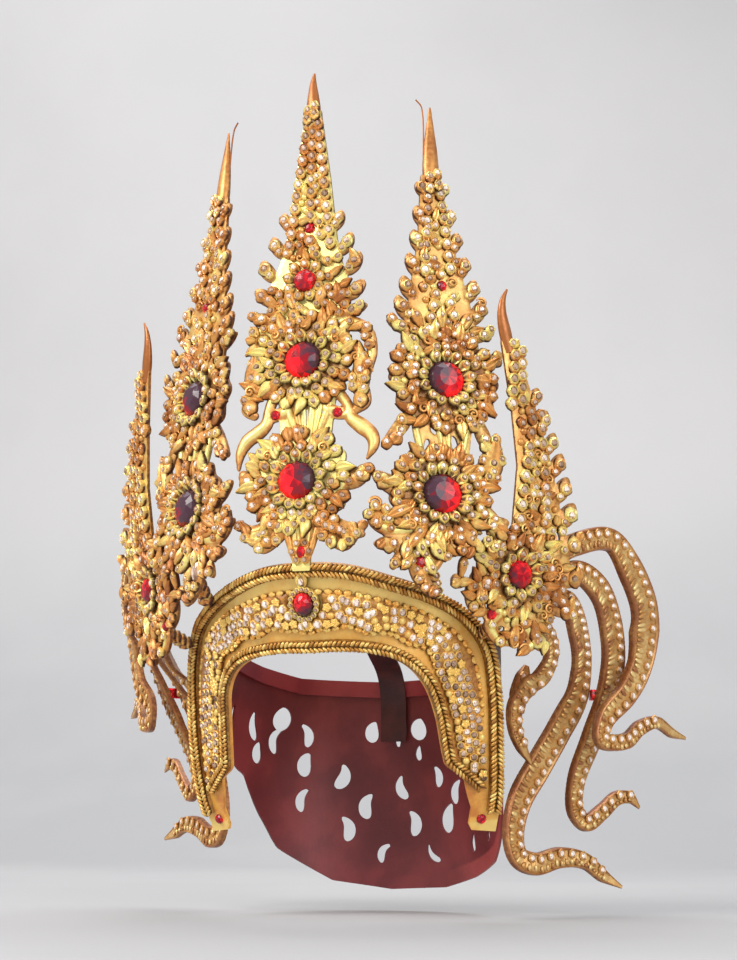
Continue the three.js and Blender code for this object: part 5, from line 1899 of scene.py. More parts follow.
OUTER_SPEC = SpireSpec(
    name="spire_outer",
    plate=PlateFrame(124.5, -52.5, 16.6, 41, -6),
    ground=table_of(
        GroundRow, (187, -18.8, -8.6), (183, -18.6, -7.5), (141, -9.6, 9), (105, -4, 22), (70, -6, 31),
        (54, -12, 36), (36, -22, 38), (4, -22, 22), (-6, -14, 12)),
    leaves=table_of(
        Leaf, (5, 146, 10, 8, 30), (11, 131, 11, 9, 34), (17, 116, 12, 9, 34), (22, 102, 13, 10, 36),
        (26, 86, 14, 11, 38), (30, 70, 14, 12, 44), (30, 52, 16, 13, 62), (30, 34, 16, 13, 88),
        (24, 18, 18, 13, 112), (10, 2, 16, 12, 152), (-14, 50, 13, 11, -20), (-18, 24, 14, 11, -76)),
    rosettes=(Rosette(-1.2, 34.6, 26, 10, 9.6),),
    scrolls=(
        table_of(RibbonRow, (-14, 10, 4.4), (-20, 2, 4), (-14, -7, 3.4), (-4, -9, 2.2)),
        table_of(RibbonRow, (4, 4, 5), (12, -7, 4.2), (4, -13, 3.2))),
    bosses=table_of(BossRow, (178, 146, 5, 2.4, 3.6, 2, -7), (138, 72, 8, 3, 10, 2, 8)),
    gaps=table_of(Gap, (-8, 66, 1.4, 4.5, -20), (27, 62, 1.5, 4.5, 24), (-12, 0, 2.6, 1.6, 0)),
    stones=table_of(
        Stone, ("stone_outer_main", -1.2, 34.6, 8.9, 9.4, 5.4, (0.2, 0.3)),
        ("stone_outer_foot", -19.5, 8.5, 3.6, 3.6, 2.6, (0.1, 0))),
    horn=table_of(
        Horn, (178, -12, 5.6), (190, -16, 4.6), (203, -19, 3.2), (212, -18.6, 2), (219, -15.9, 0.7)),
    plain=(),
    curls=(
        table_of(
            RibbonRow, (-18, 27, 2.6), (-28, 27.5, 2.2), (-34.6, 26, 2.4), (-36, 20, 2.4), (-34, 13, 2.2),
            (-28, 8, 2)),
        table_of(RibbonRow, (-19, 27, 2.4), (-24, 21, 2.4), (-26, 14, 2.2), (-22, 6, 2.2)),
        table_of(RibbonRow, (-33, 26.5, 1.8), (-38, 28, 1.8), (-43.4, 28.2, 2)),
        table_of(RibbonRow, (-43.2, 28, 4.6), (-44, 28.4, 4.6)),
        table_of(RibbonRow, (-20, 40, 3.4), (-29, 36, 2.8), (-33, 31, 2.4))),
    trim=table_of(
        Leaf, (-43, 31, 14, 6, 8), (-30, 25, 12, 6, 176), (-26, 25, 11, 6, -172), (-20, 42, 16, 9, -76),
        (-18, 56, 15, 9, -30), (22, 24, 16, 9, 118), (-2, 2, 14, 8, -165), (10, 6, 16, 8, 170)),
    prop=Prop(-16, 6, 0.515),
    ground_tone=0.6,
    seed=7,
)


def polar(u: float, v: float, turn: float, reach: float) -> tuple[float, float]:
    """Finds the place at a distance from another, in a direction in degrees from straight up to the right."""
    angle = math.radians(turn)
    return u + reach * math.sin(angle), v + reach * math.cos(angle)


def flame(left: bool) -> Motif:
    """Picks the flame that leans to the left or to the right."""
    return Motif.FLAME_L if left else Motif.FLAME_R


class Spire:
    """One pierced and embossed spire with its set ornament and stones."""

    STEP = 1.3
    FILL = 5.6
    HALF_WIDE = 64.0
    LEAF_SHARES = (0, 0.15, 0.35, 0.6, 0.85, 1)
    LONG_SWELL = (0.75, 0.95, 1, 0.72, 0.3, 0.06)
    SHORT_SWELL = (0.7, 0.85, 1, 0.95, 0.7, 0.4)
    SMALL_LIGHT = 0.55
    SMALL_ROSETTE = 20
    STONE_SHARE = 0.46
    STONE_CHANCE = 0.85
    STONE_MARGIN = 8
    BARE_TIP = 40
    BORDER = (1.4, 2.6)
    BORDER_SPACE = 6.2
    FILL_DEPTH = 2.4
    FILL_SPACE = 4.4
    FILL_SHIFT = 1.3
    FILL_ROW = 0.866
    LOBES, FLAMES, CURLS = 0.44, 0.66, 0.84

    def __init__(self, spec: SpireSpec, side: Side | None) -> None:
        """Keeps the spec and which side of the head it is for.

        Args:
            spec: What shapes the spire.
            side: Side of the head, or none for the middle.
        """
        self.spec = spec
        self.mirror = side is Side.L
        self.suffix = f"_{side.value}" if side else ""
        self.node = spec.name + self.suffix
        self.gilt: list[Mark] = []
        self.clear: list[Mark] = []
        self.spots: list[tuple[float, float]] = []
        self.chance = random.Random(spec.seed + 100)
        self.stones = list(spec.stones)
        if spec.stems:
            self.stones.append(spec.stems[int(self.mirror)])
        self.relief = self._relief()

    def _leaf_line(self, leaf: Leaf) -> Array:
        """Draws a leaf's curved spine, its tip turned up.

        Args:
            leaf: Leaf on the plate's edge.

        Returns:
            Points across and up the plate.
        """
        angle = math.radians(leaf.turn)
        along = np.array([math.sin(angle), math.cos(angle)])
        side = np.array([math.cos(angle), -math.sin(angle)])
        bend = -0.16 if leaf.turn > 0 else 0.16
        t = np.linspace(0, 1, 20)[:, None]
        return np.array([leaf.u, leaf.v]) + leaf.length * (along * t + side * bend * t * t)

    def _relief(self) -> Relief:
        """Draws the sheet: ground, leaves, scrolls and rosettes, less its gaps.

        Returns:
            The sheet, not yet a mesh.
        """
        spec = self.spec
        rows = sorted(spec.ground)
        foot, head = rows[0].v, rows[-1].v
        sheet = Relief(-self.HALF_WIDE, self.HALF_WIDE, foot - 18, head + 2, self.STEP)
        u, v = sheet.u, sheet.v
        heights = [row.v for row in rows]
        left = np.interp(v, heights, [row.left for row in rows])
        right = np.interp(v, heights, [row.right for row in rows])
        ground = np.minimum(np.minimum(u - left, right - u), np.minimum(v - foot, head - v))
        sheet.add(ground, 0.5 * smooth(ground, 0, 2.0), spec.ground_tone, 0.85)
        for leaf in spec.leaves:
            spine = self._leaf_line(leaf)
            swell = self.LONG_SWELL if leaf.length > LONG_LEAF else self.SHORT_SWELL
            half = leaf.width / 2
            radii = half * np.interp(np.linspace(0, 1, len(spine)), self.LEAF_SHARES, swell)
            depth = chain_field(u, v, spine, radii)
            sheet.add(depth, 0.4 + 1.5 * np.sqrt(np.clip(depth / half, 0, 1)), 0.5, 0.5)
        for ribbon in (*spec.scrolls, *spec.curls):
            line = Spline([(row.u, row.v) for row in ribbon])
            t = np.linspace(0, 1, 40)
            half = np.interp(t, np.linspace(0, 1, len(ribbon)), [row.half for row in ribbon])
            depth = chain_field(u, v, line.at(t), half)
            # Painted highlight and shade: a scroll's tone rises from dark edges to a light ridge along its
            # middle.
            tone, ink = (
                0.3 + 0.85 * smooth(depth, 0.6, 3.4), 0.75) if ribbon in spec.scrolls else (0.45, 0.7)
            sheet.add(depth, 0.4 + 2.6 * np.clip(depth / 4.4, 0, 1) ** 0.7, tone, ink)
        for rosette in spec.rosettes:
            reach = np.hypot(u - rosette.u, v - rosette.v)
            angle = np.arctan2(u - rosette.u, v - rosette.v)
            depth = rosette.radius * (1 + 0.05 * np.cos(angle * rosette.petals)) - reach
            # Painted shade and patina: rosettes below the brightest tone get a dark base under their petals.
            ink = 0.75 if rosette.tone > 0.8 else 0.35
            sheet.add(depth, 1.4 * smooth(depth, 0, 3.0), rosette.tone, ink)
        for gap in spec.gaps:
            tilt = math.radians(gap.tilt)
            a = (u - gap.u) * math.cos(tilt) + (v - gap.v) * math.sin(tilt)
            b = -(u - gap.u) * math.sin(tilt) + (v - gap.v) * math.cos(tilt)
            sheet.pierce((1 - np.hypot(a / gap.half, b / gap.tall)) * min(gap.half, gap.tall))
        sheet.soften(1.6)
        for stone in self.stones:
            if stone.rx <= LARGE_STONE:
                seat = np.hypot((u - stone.u) / (stone.rx + 0.8), (v - stone.v) / (stone.ry + 0.8)) < 1
                sheet.height = np.where(seat, np.minimum(sheet.height, 0.2), sheet.height)
        return sheet

    def _mark(
        self, kind: Motif, place: Sequence[float], turn: float, tilt: float,
        size: tuple[float, float, float], tone: float
    ) -> None:
        """Adds a motif to the plate.

        Args:
            kind: Motif.
            place: Place across and up the plate, and level above its middle.
            turn: Degrees from straight up, towards the right.
            tilt: Degrees by which its tip rises off the plate.
            size: Width, length and height.
            tone: Tone of the gilding.
        """
        plate = self.spec.plate
        mark = Mark(kind, plate.world(np.array(place)), plate.basis() @ tilted(turn, tilt), size, tone)
        rows = self.clear if kind is Motif.STONE else self.gilt
        rows.append(mark.mirrored() if self.mirror else mark)

    def _set_stone(
        self, u: float, v: float, w: float, radius: float, cup: float, turn: float = 0.0
    ) -> None:
        """Sets a small clear stone in a cup, each a little different.

        Args:
            u: Place across the plate.
            v: Place up the plate.
            w: Level above the plate's middle.
            radius: Radius of the stone.
            cup: Radius of the cup.
            turn: Degrees by which it is turned.
        """
        tone = self._patch(u, v) + 0.15
        dull = 0.4 + 0.65 * self.chance.random() ** 1.5
        self.spots.append((u, v))
        self._mark(Motif.CUP, (u, v, w), turn, 0, (cup, cup, cup * 0.9), tone)
        self._mark(Motif.STONE, (u, v, w + cup * 0.55), turn * 3, 0, (radius, radius, radius), dull)

    def _patch(self, u: float, v: float) -> float:
        """Tone of the gilding at a place, in drifting patches of lemon and orange.

        Args:
            u: Place across the plate.
            v: Place up the plate.

        Returns:
            The tone, a little different at each call.
        """
        drift = math.sin(0.13 * u + 0.7 * self.spec.seed) * math.cos(0.09 * v + self.spec.seed)
        base = 0.42 if self.mirror else 0.52
        return base + 0.3 * drift + self.chance.uniform(-0.22, 0.26)

    def _petal_ring(
        self, rosette: Rosette, inner: float, length: float, count: int,
        look: tuple[float, float, float, float]
    ) -> None:
        """Sets one ring of petals, each with a stone.

        Args:
            rosette: Flower that the ring belongs to.
            inner: Distance of the roots from its centre.
            length: Length of a petal.
            count: Number of petals.
            look: Level, tilt in degrees, tone and stone radius.
        """
        level, tilt, tone, stone = look
        width = 2 * math.pi * (inner + length * 0.4) / count * 0.98
        chance = self.chance
        for k in range(count):
            turn = 360 * k / count + chance.uniform(-4, 4)
            long = length * chance.uniform(0.9, 1.1)
            rise = tilt + chance.uniform(-5, 5)
            root = polar(rosette.u, rosette.v, turn, inner)
            shade = tone + chance.uniform(-0.25, 0.25)
            self._mark(Motif.PETAL, (*root, level), turn, rise, (width, long, 2.8), shade)
            lift = level + 1.0 + long * self.STONE_SHARE * math.sin(math.radians(rise))
            spot = polar(rosette.u, rosette.v, turn, inner + long * self.STONE_SHARE)
            self._set_stone(*spot, lift, stone, stone * 1.38, turn)

    def _rosette(self, rosette: Rosette) -> None:
        """Sets the rings of petals of one flower.

        Args:
            rosette: Place and size of the flower.
        """
        free, radius = rosette.stone, rosette.radius
        first = max(7, round(2 * math.pi * (free + 3) / 7.6))
        if radius < self.SMALL_ROSETTE:
            self._petal_ring(rosette, free - 0.4, radius - free + 1.5, first, (2.2, 14, 0.6, 1.9))
            return
        self._lobe_ring(rosette, radius - 7.0, round(2 * math.pi * (radius - 3) / 9.0))
        self._cup_ring(rosette, free + 9.4, first + 3)
        self._petal_ring(rosette, free - 0.2, 8.4, first, (3.4, 26, 1.0, 1.9))

    def _lobe_ring(self, rosette: Rosette, inner: float, count: int) -> None:
        """Sets the outer ring of round lobes, most of them with a stone.

        Args:
            rosette: Flower that the ring belongs to.
            inner: Distance of the roots from its centre.
            count: Number of lobes.
        """
        chance = self.chance
        for k in range(count):
            turn = 360 * (k + 0.5) / count + chance.uniform(-6, 6)
            far = inner + chance.uniform(-1.2, 1.0)
            u, v = polar(rosette.u, rosette.v, turn, far)
            tone = self._patch(u, v) + 0.4 * (rosette.tone - 0.4)
            if k % 3 == 1:
                slim = flame(chance.random() < 0.5)
                self._mark(slim, (u, v, 2.6), turn, 8, (8.4, chance.uniform(11.5, 14), 3.6), tone + 0.1)
                continue
            self._mark(Motif.LOBE, (u, v, 2.0), turn, 6, (9.2, chance.uniform(8.5, 10.5), 3.4), tone)
            if chance.random() < self.STONE_CHANCE:
                self._set_stone(*polar(rosette.u, rosette.v, turn, far + 5.0), 3.0, 2.3, 3.2, turn)

    def _cup_ring(self, rosette: Rosette, reach: float, count: int) -> None:
        """Sets a loose ring of cupped stones, each before a small lobe.

        Args:
            rosette: Flower that the ring belongs to.
            reach: Distance of the stones from its centre.
            count: Number of stones.
        """
        chance = self.chance
        for k in range(count):
            turn = 360 * k / count + chance.uniform(-7, 7)
            u, v = polar(rosette.u, rosette.v, turn, reach + chance.uniform(-1.2, 1.2))
            kind, long = (flame(k % 2 == 1), 11.0) if chance.random() < 0.45 else (Motif.LOBE, 7.8)
            root = polar(u, v, turn, -2)
            spin = turn + chance.uniform(-20, 20)
            tone = self._patch(u, v) + 0.4 * (rosette.tone - 0.4)
            self._mark(kind, (*root, 2.4), spin, 10, (7.6, long, 2.8), tone)
            if kind is Motif.LOBE or chance.random() < 0.4:
                self._set_stone(u, v, 3.4, 2.3, 3.3, turn)

    def _border(self) -> None:
        """Sets small lobes with stones along the sheet's outline."""
        chance = random.Random(self.spec.seed + 7)
        sheet = self.relief
        slope_u, slope_v = np.gradient(sheet.depth, sheet.step)
        bare = max(rosette.v for rosette in self.spec.rosettes) + self.BARE_TIP
        inner, outer = self.BORDER
        for i, j in np.argwhere((sheet.depth > inner) & (sheet.depth < outer)):
            u, v = float(sheet.u[i, j]), float(sheet.v[i, j])
            if v > bare or not self._free(u, v, 2.4) or self._taken(u, v, self.BORDER_SPACE):
                continue
            along = unit(np.array([-slope_u[i, j], -slope_v[i, j]]))
            turn = math.degrees(math.atan2(along[0], along[1])) + chance.uniform(-25, 25)
            level = 1.0 + float(sheet.height[i, j])
            kind, long = (flame(along[0] > 0), 9.6) if chance.random() < 0.34 else (Motif.LOBE, 7.6)
            size = (7.2, long * chance.uniform(0.9, 1.1), 3.0)
            root = (u - 4.2 * along[0], v - 4.2 * along[1], level)
            self._mark(kind, root, turn, 4, size, self._patch(u, v))
            if kind is Motif.LOBE and chance.random() < self.STONE_CHANCE:
                self._set_stone(u, v, level + 0.8, 2.0, 2.9, turn)
            else:
                self.spots.append((u, v))

    def _edge_leaves(self) -> None:
        """Sets a flame or lobe and its stones on every leaf of the edge and of the trim."""
        for leaf in self.spec.leaves:
            is_long = leaf.length > LONG_LEAF
            kind = flame(leaf.turn > 0) if is_long else Motif.LOBE
            long = leaf.length * 0.92 if is_long else min(leaf.length * 0.92, 9.5)
            size = (leaf.width * (0.86 if is_long else 1.0), long, 2.8)
            root = polar(leaf.u, leaf.v, leaf.turn, leaf.length * 0.95 - long)
            self._mark(kind, (*root, 1.8), leaf.turn, 3, size, self._patch(leaf.u, leaf.v) + 0.1)
            near = leaf.length * (0.36 if is_long else 0.55)
            far = leaf.length * (0.66 if leaf.length > 24 else 0.08)
            for reach, radius, cup in ((near, 2.4, 3.4), (far, 1.9, 2.8)):
                spot = polar(leaf.u, leaf.v, leaf.turn, reach)
                self._set_stone(*spot, 2.4, radius, cup, leaf.turn)
        for leaf in self.spec.trim:
            kind = flame(leaf.turn > 0) if leaf.length > LONG_LEAF else Motif.LOBE
            size = (leaf.width * 1.05, leaf.length, 3.4)
            self._mark(kind, (leaf.u, leaf.v, 2.2), leaf.turn, 5, size, self._patch(leaf.u, leaf.v))
            spot = polar(leaf.u, leaf.v, leaf.turn, leaf.length * 0.6)
            self._set_stone(*spot, 3.6, 2.0, 2.8, leaf.turn)

    def _bosses(self) -> None:
        """Sets the columns of stones, each over a small lobe."""
        for row in self.spec.bosses:
            for i in range(row.count):
                share = i / (row.count - 1) if row.count > 1 else 0.0
                spread = row.spread_top + (row.spread_low - row.spread_top) * share
                radius = 2.1 if row.level > 2 else 2.4 + 0.3 * share
                for column in range(row.columns):
                    side = 2 * column / (row.columns - 1) - 1 if row.columns > 1 else 0.0
                    stagger = 2.4 * (1 - abs(side)) if row.columns == 3 else 1.5 * side
                    u = row.shift + side * spread
                    v = row.start + (row.end - row.start) * share + stagger
                    if self._free(u, v, radius + 1.2):
                        self._set_stone(u, v, row.level, radius, radius * 1.5)
                        lobe = (u, v + 2.0, row.level - 0.2)
                        self._mark(Motif.LOBE, lobe, 180, 10, (7.0, 7.4, 2.4), 0.25 + 0.4 * share)

    def _free(self, u: float, v: float, margin: float) -> bool:
        """Tells whether a place is clear of the cut stones."""
        return all(math.hypot(u - s.u, v - s.v) > max(s.rx, s.ry) + margin for s in self.stones)

    def _taken(self, u: float, v: float, reach: float) -> bool:
        """Tells whether a place is kept plain or has a motif within reach.

        Args:
            u: Place across the plate.
            v: Place up the plate.
            reach: Distance that motifs keep from each other.

        Returns:
            True where nothing more fits.
        """
        if any(zone.left < u < zone.right and zone.low < v < zone.high for zone in self.spec.plain):
            return True
        return any(math.hypot(u - a, v - b) < reach for a, b in self.spots)

    def _fill(self) -> None:
        """Fills the rest of the sheet with seeded curls, flames and beads."""
        chance = random.Random(self.spec.seed)
        sheet = self.relief
        shift = self.FILL_SHIFT
        row = 0
        v = sheet.low
        while v < sheet.high:
            u = sheet.left + (self.FILL / 2 if row % 2 else 0)
            while u < sheet.right:
                at_u, at_v = u + chance.uniform(-shift, shift), v + chance.uniform(-shift, shift)
                pick, spin = chance.random(), chance.uniform(-50, 50)
                u += self.FILL
                depth, height = sheet.sample(at_u, at_v)
                if depth < self.FILL_DEPTH or not self._free(at_u, at_v, 2.0) or self._taken(
                    at_u, at_v, self.FILL_SPACE
                ):
                    continue
                if all(
                    math.hypot(
                        at_u - r.u, at_v - r.v) >= r.stone + self.STONE_MARGIN for r in self.spec.rosettes
                ):
                    self._fill_one(at_u, at_v, 1.0 + height, pick, spin)
            v += self.FILL * self.FILL_ROW
            row += 1

    def _fill_one(self, u: float, v: float, w: float, pick: float, spin: float) -> None:
        """Sets one filling motif chosen by a number from 0 to 1.

        Args:
            u: Place across the plate.
            v: Place up the plate.
            w: Level above the plate's middle.
            pick: Number that chooses the motif.
            spin: Degrees by which it is turned.
        """
        tone = self._patch(u, v)
        if pick < self.LOBES:
            self._mark(Motif.LOBE, (u, v - 3, w), spin, 8, (6.6, 7.4, 2.6), tone)
            self._set_stone(u, v, w + 0.8, 1.9, 2.8)
        elif pick < self.FLAMES:
            self._mark(flame(spin > 0), (u, v - 3.5, w), spin * 2, 8, (6.6, 9.4, 3.2), tone)
        elif pick < self.CURLS:
            hand = Motif.VOLUTE_L if pick < 0.75 else Motif.VOLUTE_R
            self._mark(hand, (u, v, w + 0.4), spin, 0, (4.0, 4.0, 4.0), tone)
        else:
            self._mark(Motif.BEAD, (u, v, w), 0, 0, (2.5, 2.5, 2.6), tone + 0.2)

    def _scroll_volutes(self) -> None:
        """Sets a curl and a stone at the end of each short scroll."""
        for ribbon in self.spec.scrolls:
            root, tip = ribbon[1], ribbon[-1]
            if tip.half >= 1.2 and self._free(root.u, root.v, 1.0):
                hand = Motif.VOLUTE_R if tip.u > 0 else Motif.VOLUTE_L
                self._mark(hand, (tip.u, tip.v, 1.6), 0, 0, (4.8, 4.8, 4.0), 0.6)
                self._set_stone(root.u, root.v, 3.0, 1.8, 2.7)

    def _stone_rings(self) -> None:
        """Sets a ring of clear stones round the red stone of the stem."""
        count = 6
        for stone in self.stones:
            if not stone.node.endswith("stem") or stone.clear:
                continue
            for k in range(count):
                angle = 2 * math.pi * (k + 0.5) / count
                u = stone.u + (stone.rx + 2.3) * math.sin(angle)
                v = stone.v + (stone.ry + 2.3) * math.cos(angle)
                self._set_stone(u, v, 1.8, 1.9, 2.5)

    def _prop_line(self) -> Array:
        """Finds the strut's middle line, from the plate's back down to the outer cord.

        Returns:
            Points in the room.
        """
        prop = self.spec.prop
        start = self.spec.plate.world(np.array([prop.u, prop.v, -1.8]))
        end = BAND.spot(prop.s, BAND.width(prop.s) - OUTER_CORD.inset, STRIP_FOOT + OUTER_CORD.height / 2)
        return start + (end - start) * np.linspace(0, 1, 6)[:, None]

    def _prop_ornament(self) -> None:
        """Dresses the strut with lobes and cupped stones."""
        plate = self.spec.plate
        local = (self._prop_line() - np.array([plate.x, plate.y, plate.z])) @ plate.basis()
        for u, v, w in local[1:-1]:
            for side in (-1, 1):
                turn = 180 - side * 28
                self._mark(Motif.LOBE, (u, v + 3.0, w + 1.0), turn, 6, (7.0, 8.4, 3.2), self._patch(u, v))
                self._set_stone(u + side * 3.0, v - 1.2 * side, w + 3.2, 2.0, 2.9)

    def _bars(self) -> list[bpy.types.Object]:
        """Models the horn tip, the reeds, the wire and the strut behind.

        Returns:
            The bars, on their own side of the head.
        """
        spec = self.spec
        world, out = spec.plate.world, spec.plate.basis()[:, 2]
        line = Spline([(h.u, h.v, 0.4) for h in spec.horn])
        t = np.linspace(0, 1, 26)
        radii = np.interp(t, np.linspace(0, 1, len(spec.horn)), [h.half for h in spec.horn])
        radii = radii * (0.72 + 0.28 * smooth(t, 0, 0.35))
        bars = [tube("horn", world(line.at(t)), radii, out, 0.72, spec.horn_tone, 14)]
        for reed in spec.reeds:
            share = np.linspace(0, 1, 9)
            at_u, at_v = reed.u + (reed.to_u - reed.u) * share, reed.v + (reed.to_v - reed.v) * share
            path = np.column_stack([at_u, at_v, np.full(len(share), 1.2)])
            rounded = np.sqrt(np.sin(math.pi * (0.08 + 0.84 * share)))
            half = (reed.half + (reed.to_half - reed.half) * share) * rounded
            bars.append(tube("reed", world(path), half, out, 0.9, reed.tone, 8))
        if spec.wire:
            path = Spline([(u, v, 0.0) for u, v in spec.wire]).at(np.linspace(0, 1, 24))
            bars.append(tube("wire", world(path), np.full(len(path), 0.55), out, 1.0, -0.6, 6))
        if spec.prop:
            path = self._prop_line()
            bars.append(
                tube("strut", path, np.linspace(3.2, 1.8, len(path)), np.array([0.0, 0.0, 1.0]), 1.0, 0.5))
        if self.mirror:
            for bar in bars:
                mirror_mesh(bar)
        return bars

    def build(self, motifs: Motifs, palette: Palette) -> list[bpy.types.Object]:
        """Makes every piece of the spire.

        Args:
            motifs: Cast motifs.
            palette: Materials.

        Returns:
            The pieces, dressed and declared.
        """
        spec = self.spec
        world = spec.plate.world
        sheet = self.relief.mesh(self.node + "_sheet", world, -PLATE_HALF, PLATE_HALF, self.mirror)
        sheet = join(self.node + "_sheet", [sheet, *self._bars()])
        self._bosses()
        self._edge_leaves()
        self._scroll_volutes()
        self._stone_rings()
        if spec.prop:
            self._prop_ornament()
        for rosette in spec.rosettes:
            self._rosette(rosette)
        self._border()
        self._fill()
        pieces = [declare(sheet, palette, Slot.GILT, self.node)]
        for label, marks, slot in (
            ("_ornament", self.gilt, Slot.GILT), ("_brilliants", self.clear, Slot.CLEAR)
        ):
            pieces.append(declare(motifs.set_on(self.node + label, marks, palette[slot]), palette, slot))
        for stone in self.stones:
            node = stone.node + self.suffix
            large = stone.rx > LARGE_STONE
            seat = GAP + (ROSETTE_TOP if large else PLATE_HALF)
            slot = Slot.CLEAR if stone.clear else Slot.RED
            light = spec.gem_light[int(self.mirror)] if large else self.SMALL_LIGHT
            gem = make_gem(node + "_cut", stone, world, seat, self.mirror, light)
            pieces.append(declare(gem, palette, slot, node))
        return pieces


def mirror_mesh(made: bpy.types.Object) -> None:
    """Turns a mesh over to the other side of the head, its faces outward."""
    made.data.transform(Matrix.Diagonal((-1, 1, 1, 1)))
    made.data.flip_normals()


def declare(piece: bpy.types.Object, palette: Palette, slot: Slot, *nodes: str) -> bpy.types.Object:
    """Dresses a piece and gives it its place in the frame.

    Args:
        piece: Finished mesh; one that has several materials keeps them.
        palette: Materials.
        slot: Slot of the record, which its material is named after.
        nodes: Solids that it stands for.

    Returns:
        The same piece.
    """
    if len(piece.data.materials) < 2:
        piece.data.materials.clear()
        piece.data.materials.append(palette[slot])
    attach(piece, "root")
    if nodes:
        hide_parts(*nodes)
    LOG.info("%s: %d faces", piece.name, len(piece.data.polygons))
    return piece


class BrowBand:
    """Band over the brow and down both legs, with its cords, stone strip and brow stone."""

    PITCH = 2.8
    STONE_PITCH = 5.6
    ROW_PITCH = 5.3
    STRIP_STEP = 1.4
    LAST_STONES = 0.94
    LEG_START = 0.45
    LEG_STONE_AT = 0.965
    FLOWERS = 0.28
    GRAINS = 0.36
    PETALS = 5
    SETTING_CUPS = 16
    # Rows: share of the rim, height, relief; the relief is painted shade, light at the rim and dark inside
    # and at the foot.
    DISH = (
        (1.0, 0.0, 0.2), (1.0, 2.6, 0.5), (0.95, 3.9, 0.95), (0.84, 4.2, 0.8), (0.74, 3.6, 0.2),
        (0.1, 3.6, 0.2))
    TAPE = ((-1, -0.6), (1, -0.6), (0.85, 1.3), (-0.85, 1.3))

    def __init__(self) -> None:
        """Starts with no ornament."""
        self.gilt: list[Mark] = []
        self.clear: list[Mark] = []

    @staticmethod
    def _near_edge(s: Array) -> Array:
        """Finds the sheet's inner edge as a share of its width: it follows the inner cord across the leg."""
        cord = (cord_middle(INNER_CORD, s) - INNER_CORD.half - 0.8) / BAND.frames(s)[2]
        return np.clip(cord, 0, 0.3) * smooth(np.abs(s), CROSS_START, CROSS_START + 0.05)

    def _sheet(self) -> bpy.types.Object:
        """Lofts the sheet with a soft swell and a painted shadow line under the strip.

        Returns:
            The new object.
        """
        s = np.linspace(-1, 1, 260)
        width = BAND.frames(s)[2]
        low, _ = strip_edges(s)
        near = self._near_edge(s)
        leg = np.abs(s)
        rings = []
        tones = []
        reliefs = []
        for share in np.linspace(0, 1, 17):
            rings.append(BAND.point(s, near + (1 - near) * share, BAND_THICK / 2))
            tip_tone = 0.6 * smooth(leg, 0.955, 0.975)
            # Tone rises across the band towards its outer edge; painted shade: it falls along both legs.
            tones.append(0.5 + 0.5 * share - 0.4 * smooth(leg, 0.3, 0.7) + tip_tone)
            # Painted shadow: relief drops to 0.25 along the strip's lower edge, a dark line where the strip
            # overhangs.
            line = smooth(np.abs(share * width - low), 0.3, 2.4)
            reliefs.append(0.25 + 0.75 * np.maximum(line, smooth(leg, STRIP_END - 0.02, STRIP_END)))
        for share in (1.0, 0.0):
            rings.append(BAND.point(s, near + (1 - near) * share, -BAND_THICK / 2))
            tones.append(np.full(len(s), 0.3))
            reliefs.append(np.full(len(s), 0.5))
        return loft_columns("brow_band_sheet", rings, tones, reliefs)

    def _cord(
        self, name: str, cord: Cord, end: float, motifs: Motifs, palette: Palette
    ) -> bpy.types.Object:
        """Braids one double cord.

        Args:
            name: Node that it stands for.
            cord: Its size and place.
            end: Last station on each leg.
            motifs: Cast motifs.
            palette: Materials.

        Returns:
            The finished piece.
        """
        s = np.linspace(-end, end, 400)
        middle = cord_middle(cord, s)
        foot = BAND_THICK / 2 + SEAT_GAP
        path = BAND.place(s, middle, foot)[::2]
        line = Spline(path)
        even = line.even(self.PITCH)
        points = line.at(even)
        normal = BAND.frames(np.interp(even, np.linspace(0, 1, len(path)), s[::2]))[3]
        tangent = unit(np.gradient(points, axis=0))
        side = unit(np.cross(normal, tangent))
        marks = []
        chance = random.Random(name)
        for k in range(len(points)):
            for hand in (-1, 1):
                lay = unit(tangent[k] * 0.72 + side[k] * hand * chance.uniform(0.5, 0.9))
                basis = np.column_stack([np.cross(lay, normal[k]), lay, normal[k]])
                place = points[k] + side[k] * hand * cord.half * 0.5 + normal[k] * cord.height * 0.14
                size = (self.PITCH * chance.uniform(1.15, 1.4), cord.half * 1.3, cord.height * 0.95)
                marks.append(Mark(Motif.STITCH, place, basis, size, chance.uniform(0.15, 1.0)))
        tape = [BAND.place(s, middle + offset * cord.half, foot + lift)[::3] for offset, lift in self.TAPE]
        shape = tape[0].shape[:1]
        # Painted shade: the core under the stitches is drawn dark, so the gaps of the braid read dark.
        tones, reliefs = [np.full(shape, 0.3)] * len(tape), [np.full(shape, 0.35)] * len(tape)
        core = loft_columns(name + "_core", tape, tones, reliefs)
        braid = motifs.set_on(name + "_braid", marks, palette[Slot.CORD])
        braid.data.materials.clear()
        return declare(join(name + "_braid", [braid, core]), palette, Slot.CORD, name)

    def _on_band(
        self, kind: Motif, place: tuple[float, float, float], turn: float, tilt: float,
        size: tuple[float, float, float], tone: float
    ) -> None:
        """Adds a motif to the band.

        Args:
            kind: Motif.
            place: Station, distance from the inner edge and height above the middle of the sheet.
            turn: Degrees from straight across the band.
            tilt: Degrees by which its tip rises off the band.
            size: Width, length and height.
            tone: Tone of the gilding.
        """
        rows = self.clear if kind is Motif.STONE else self.gilt
        rows.append(Mark(kind, BAND.spot(*place), BAND.basis(place[0]) @ tilted(turn, tilt), size, tone))

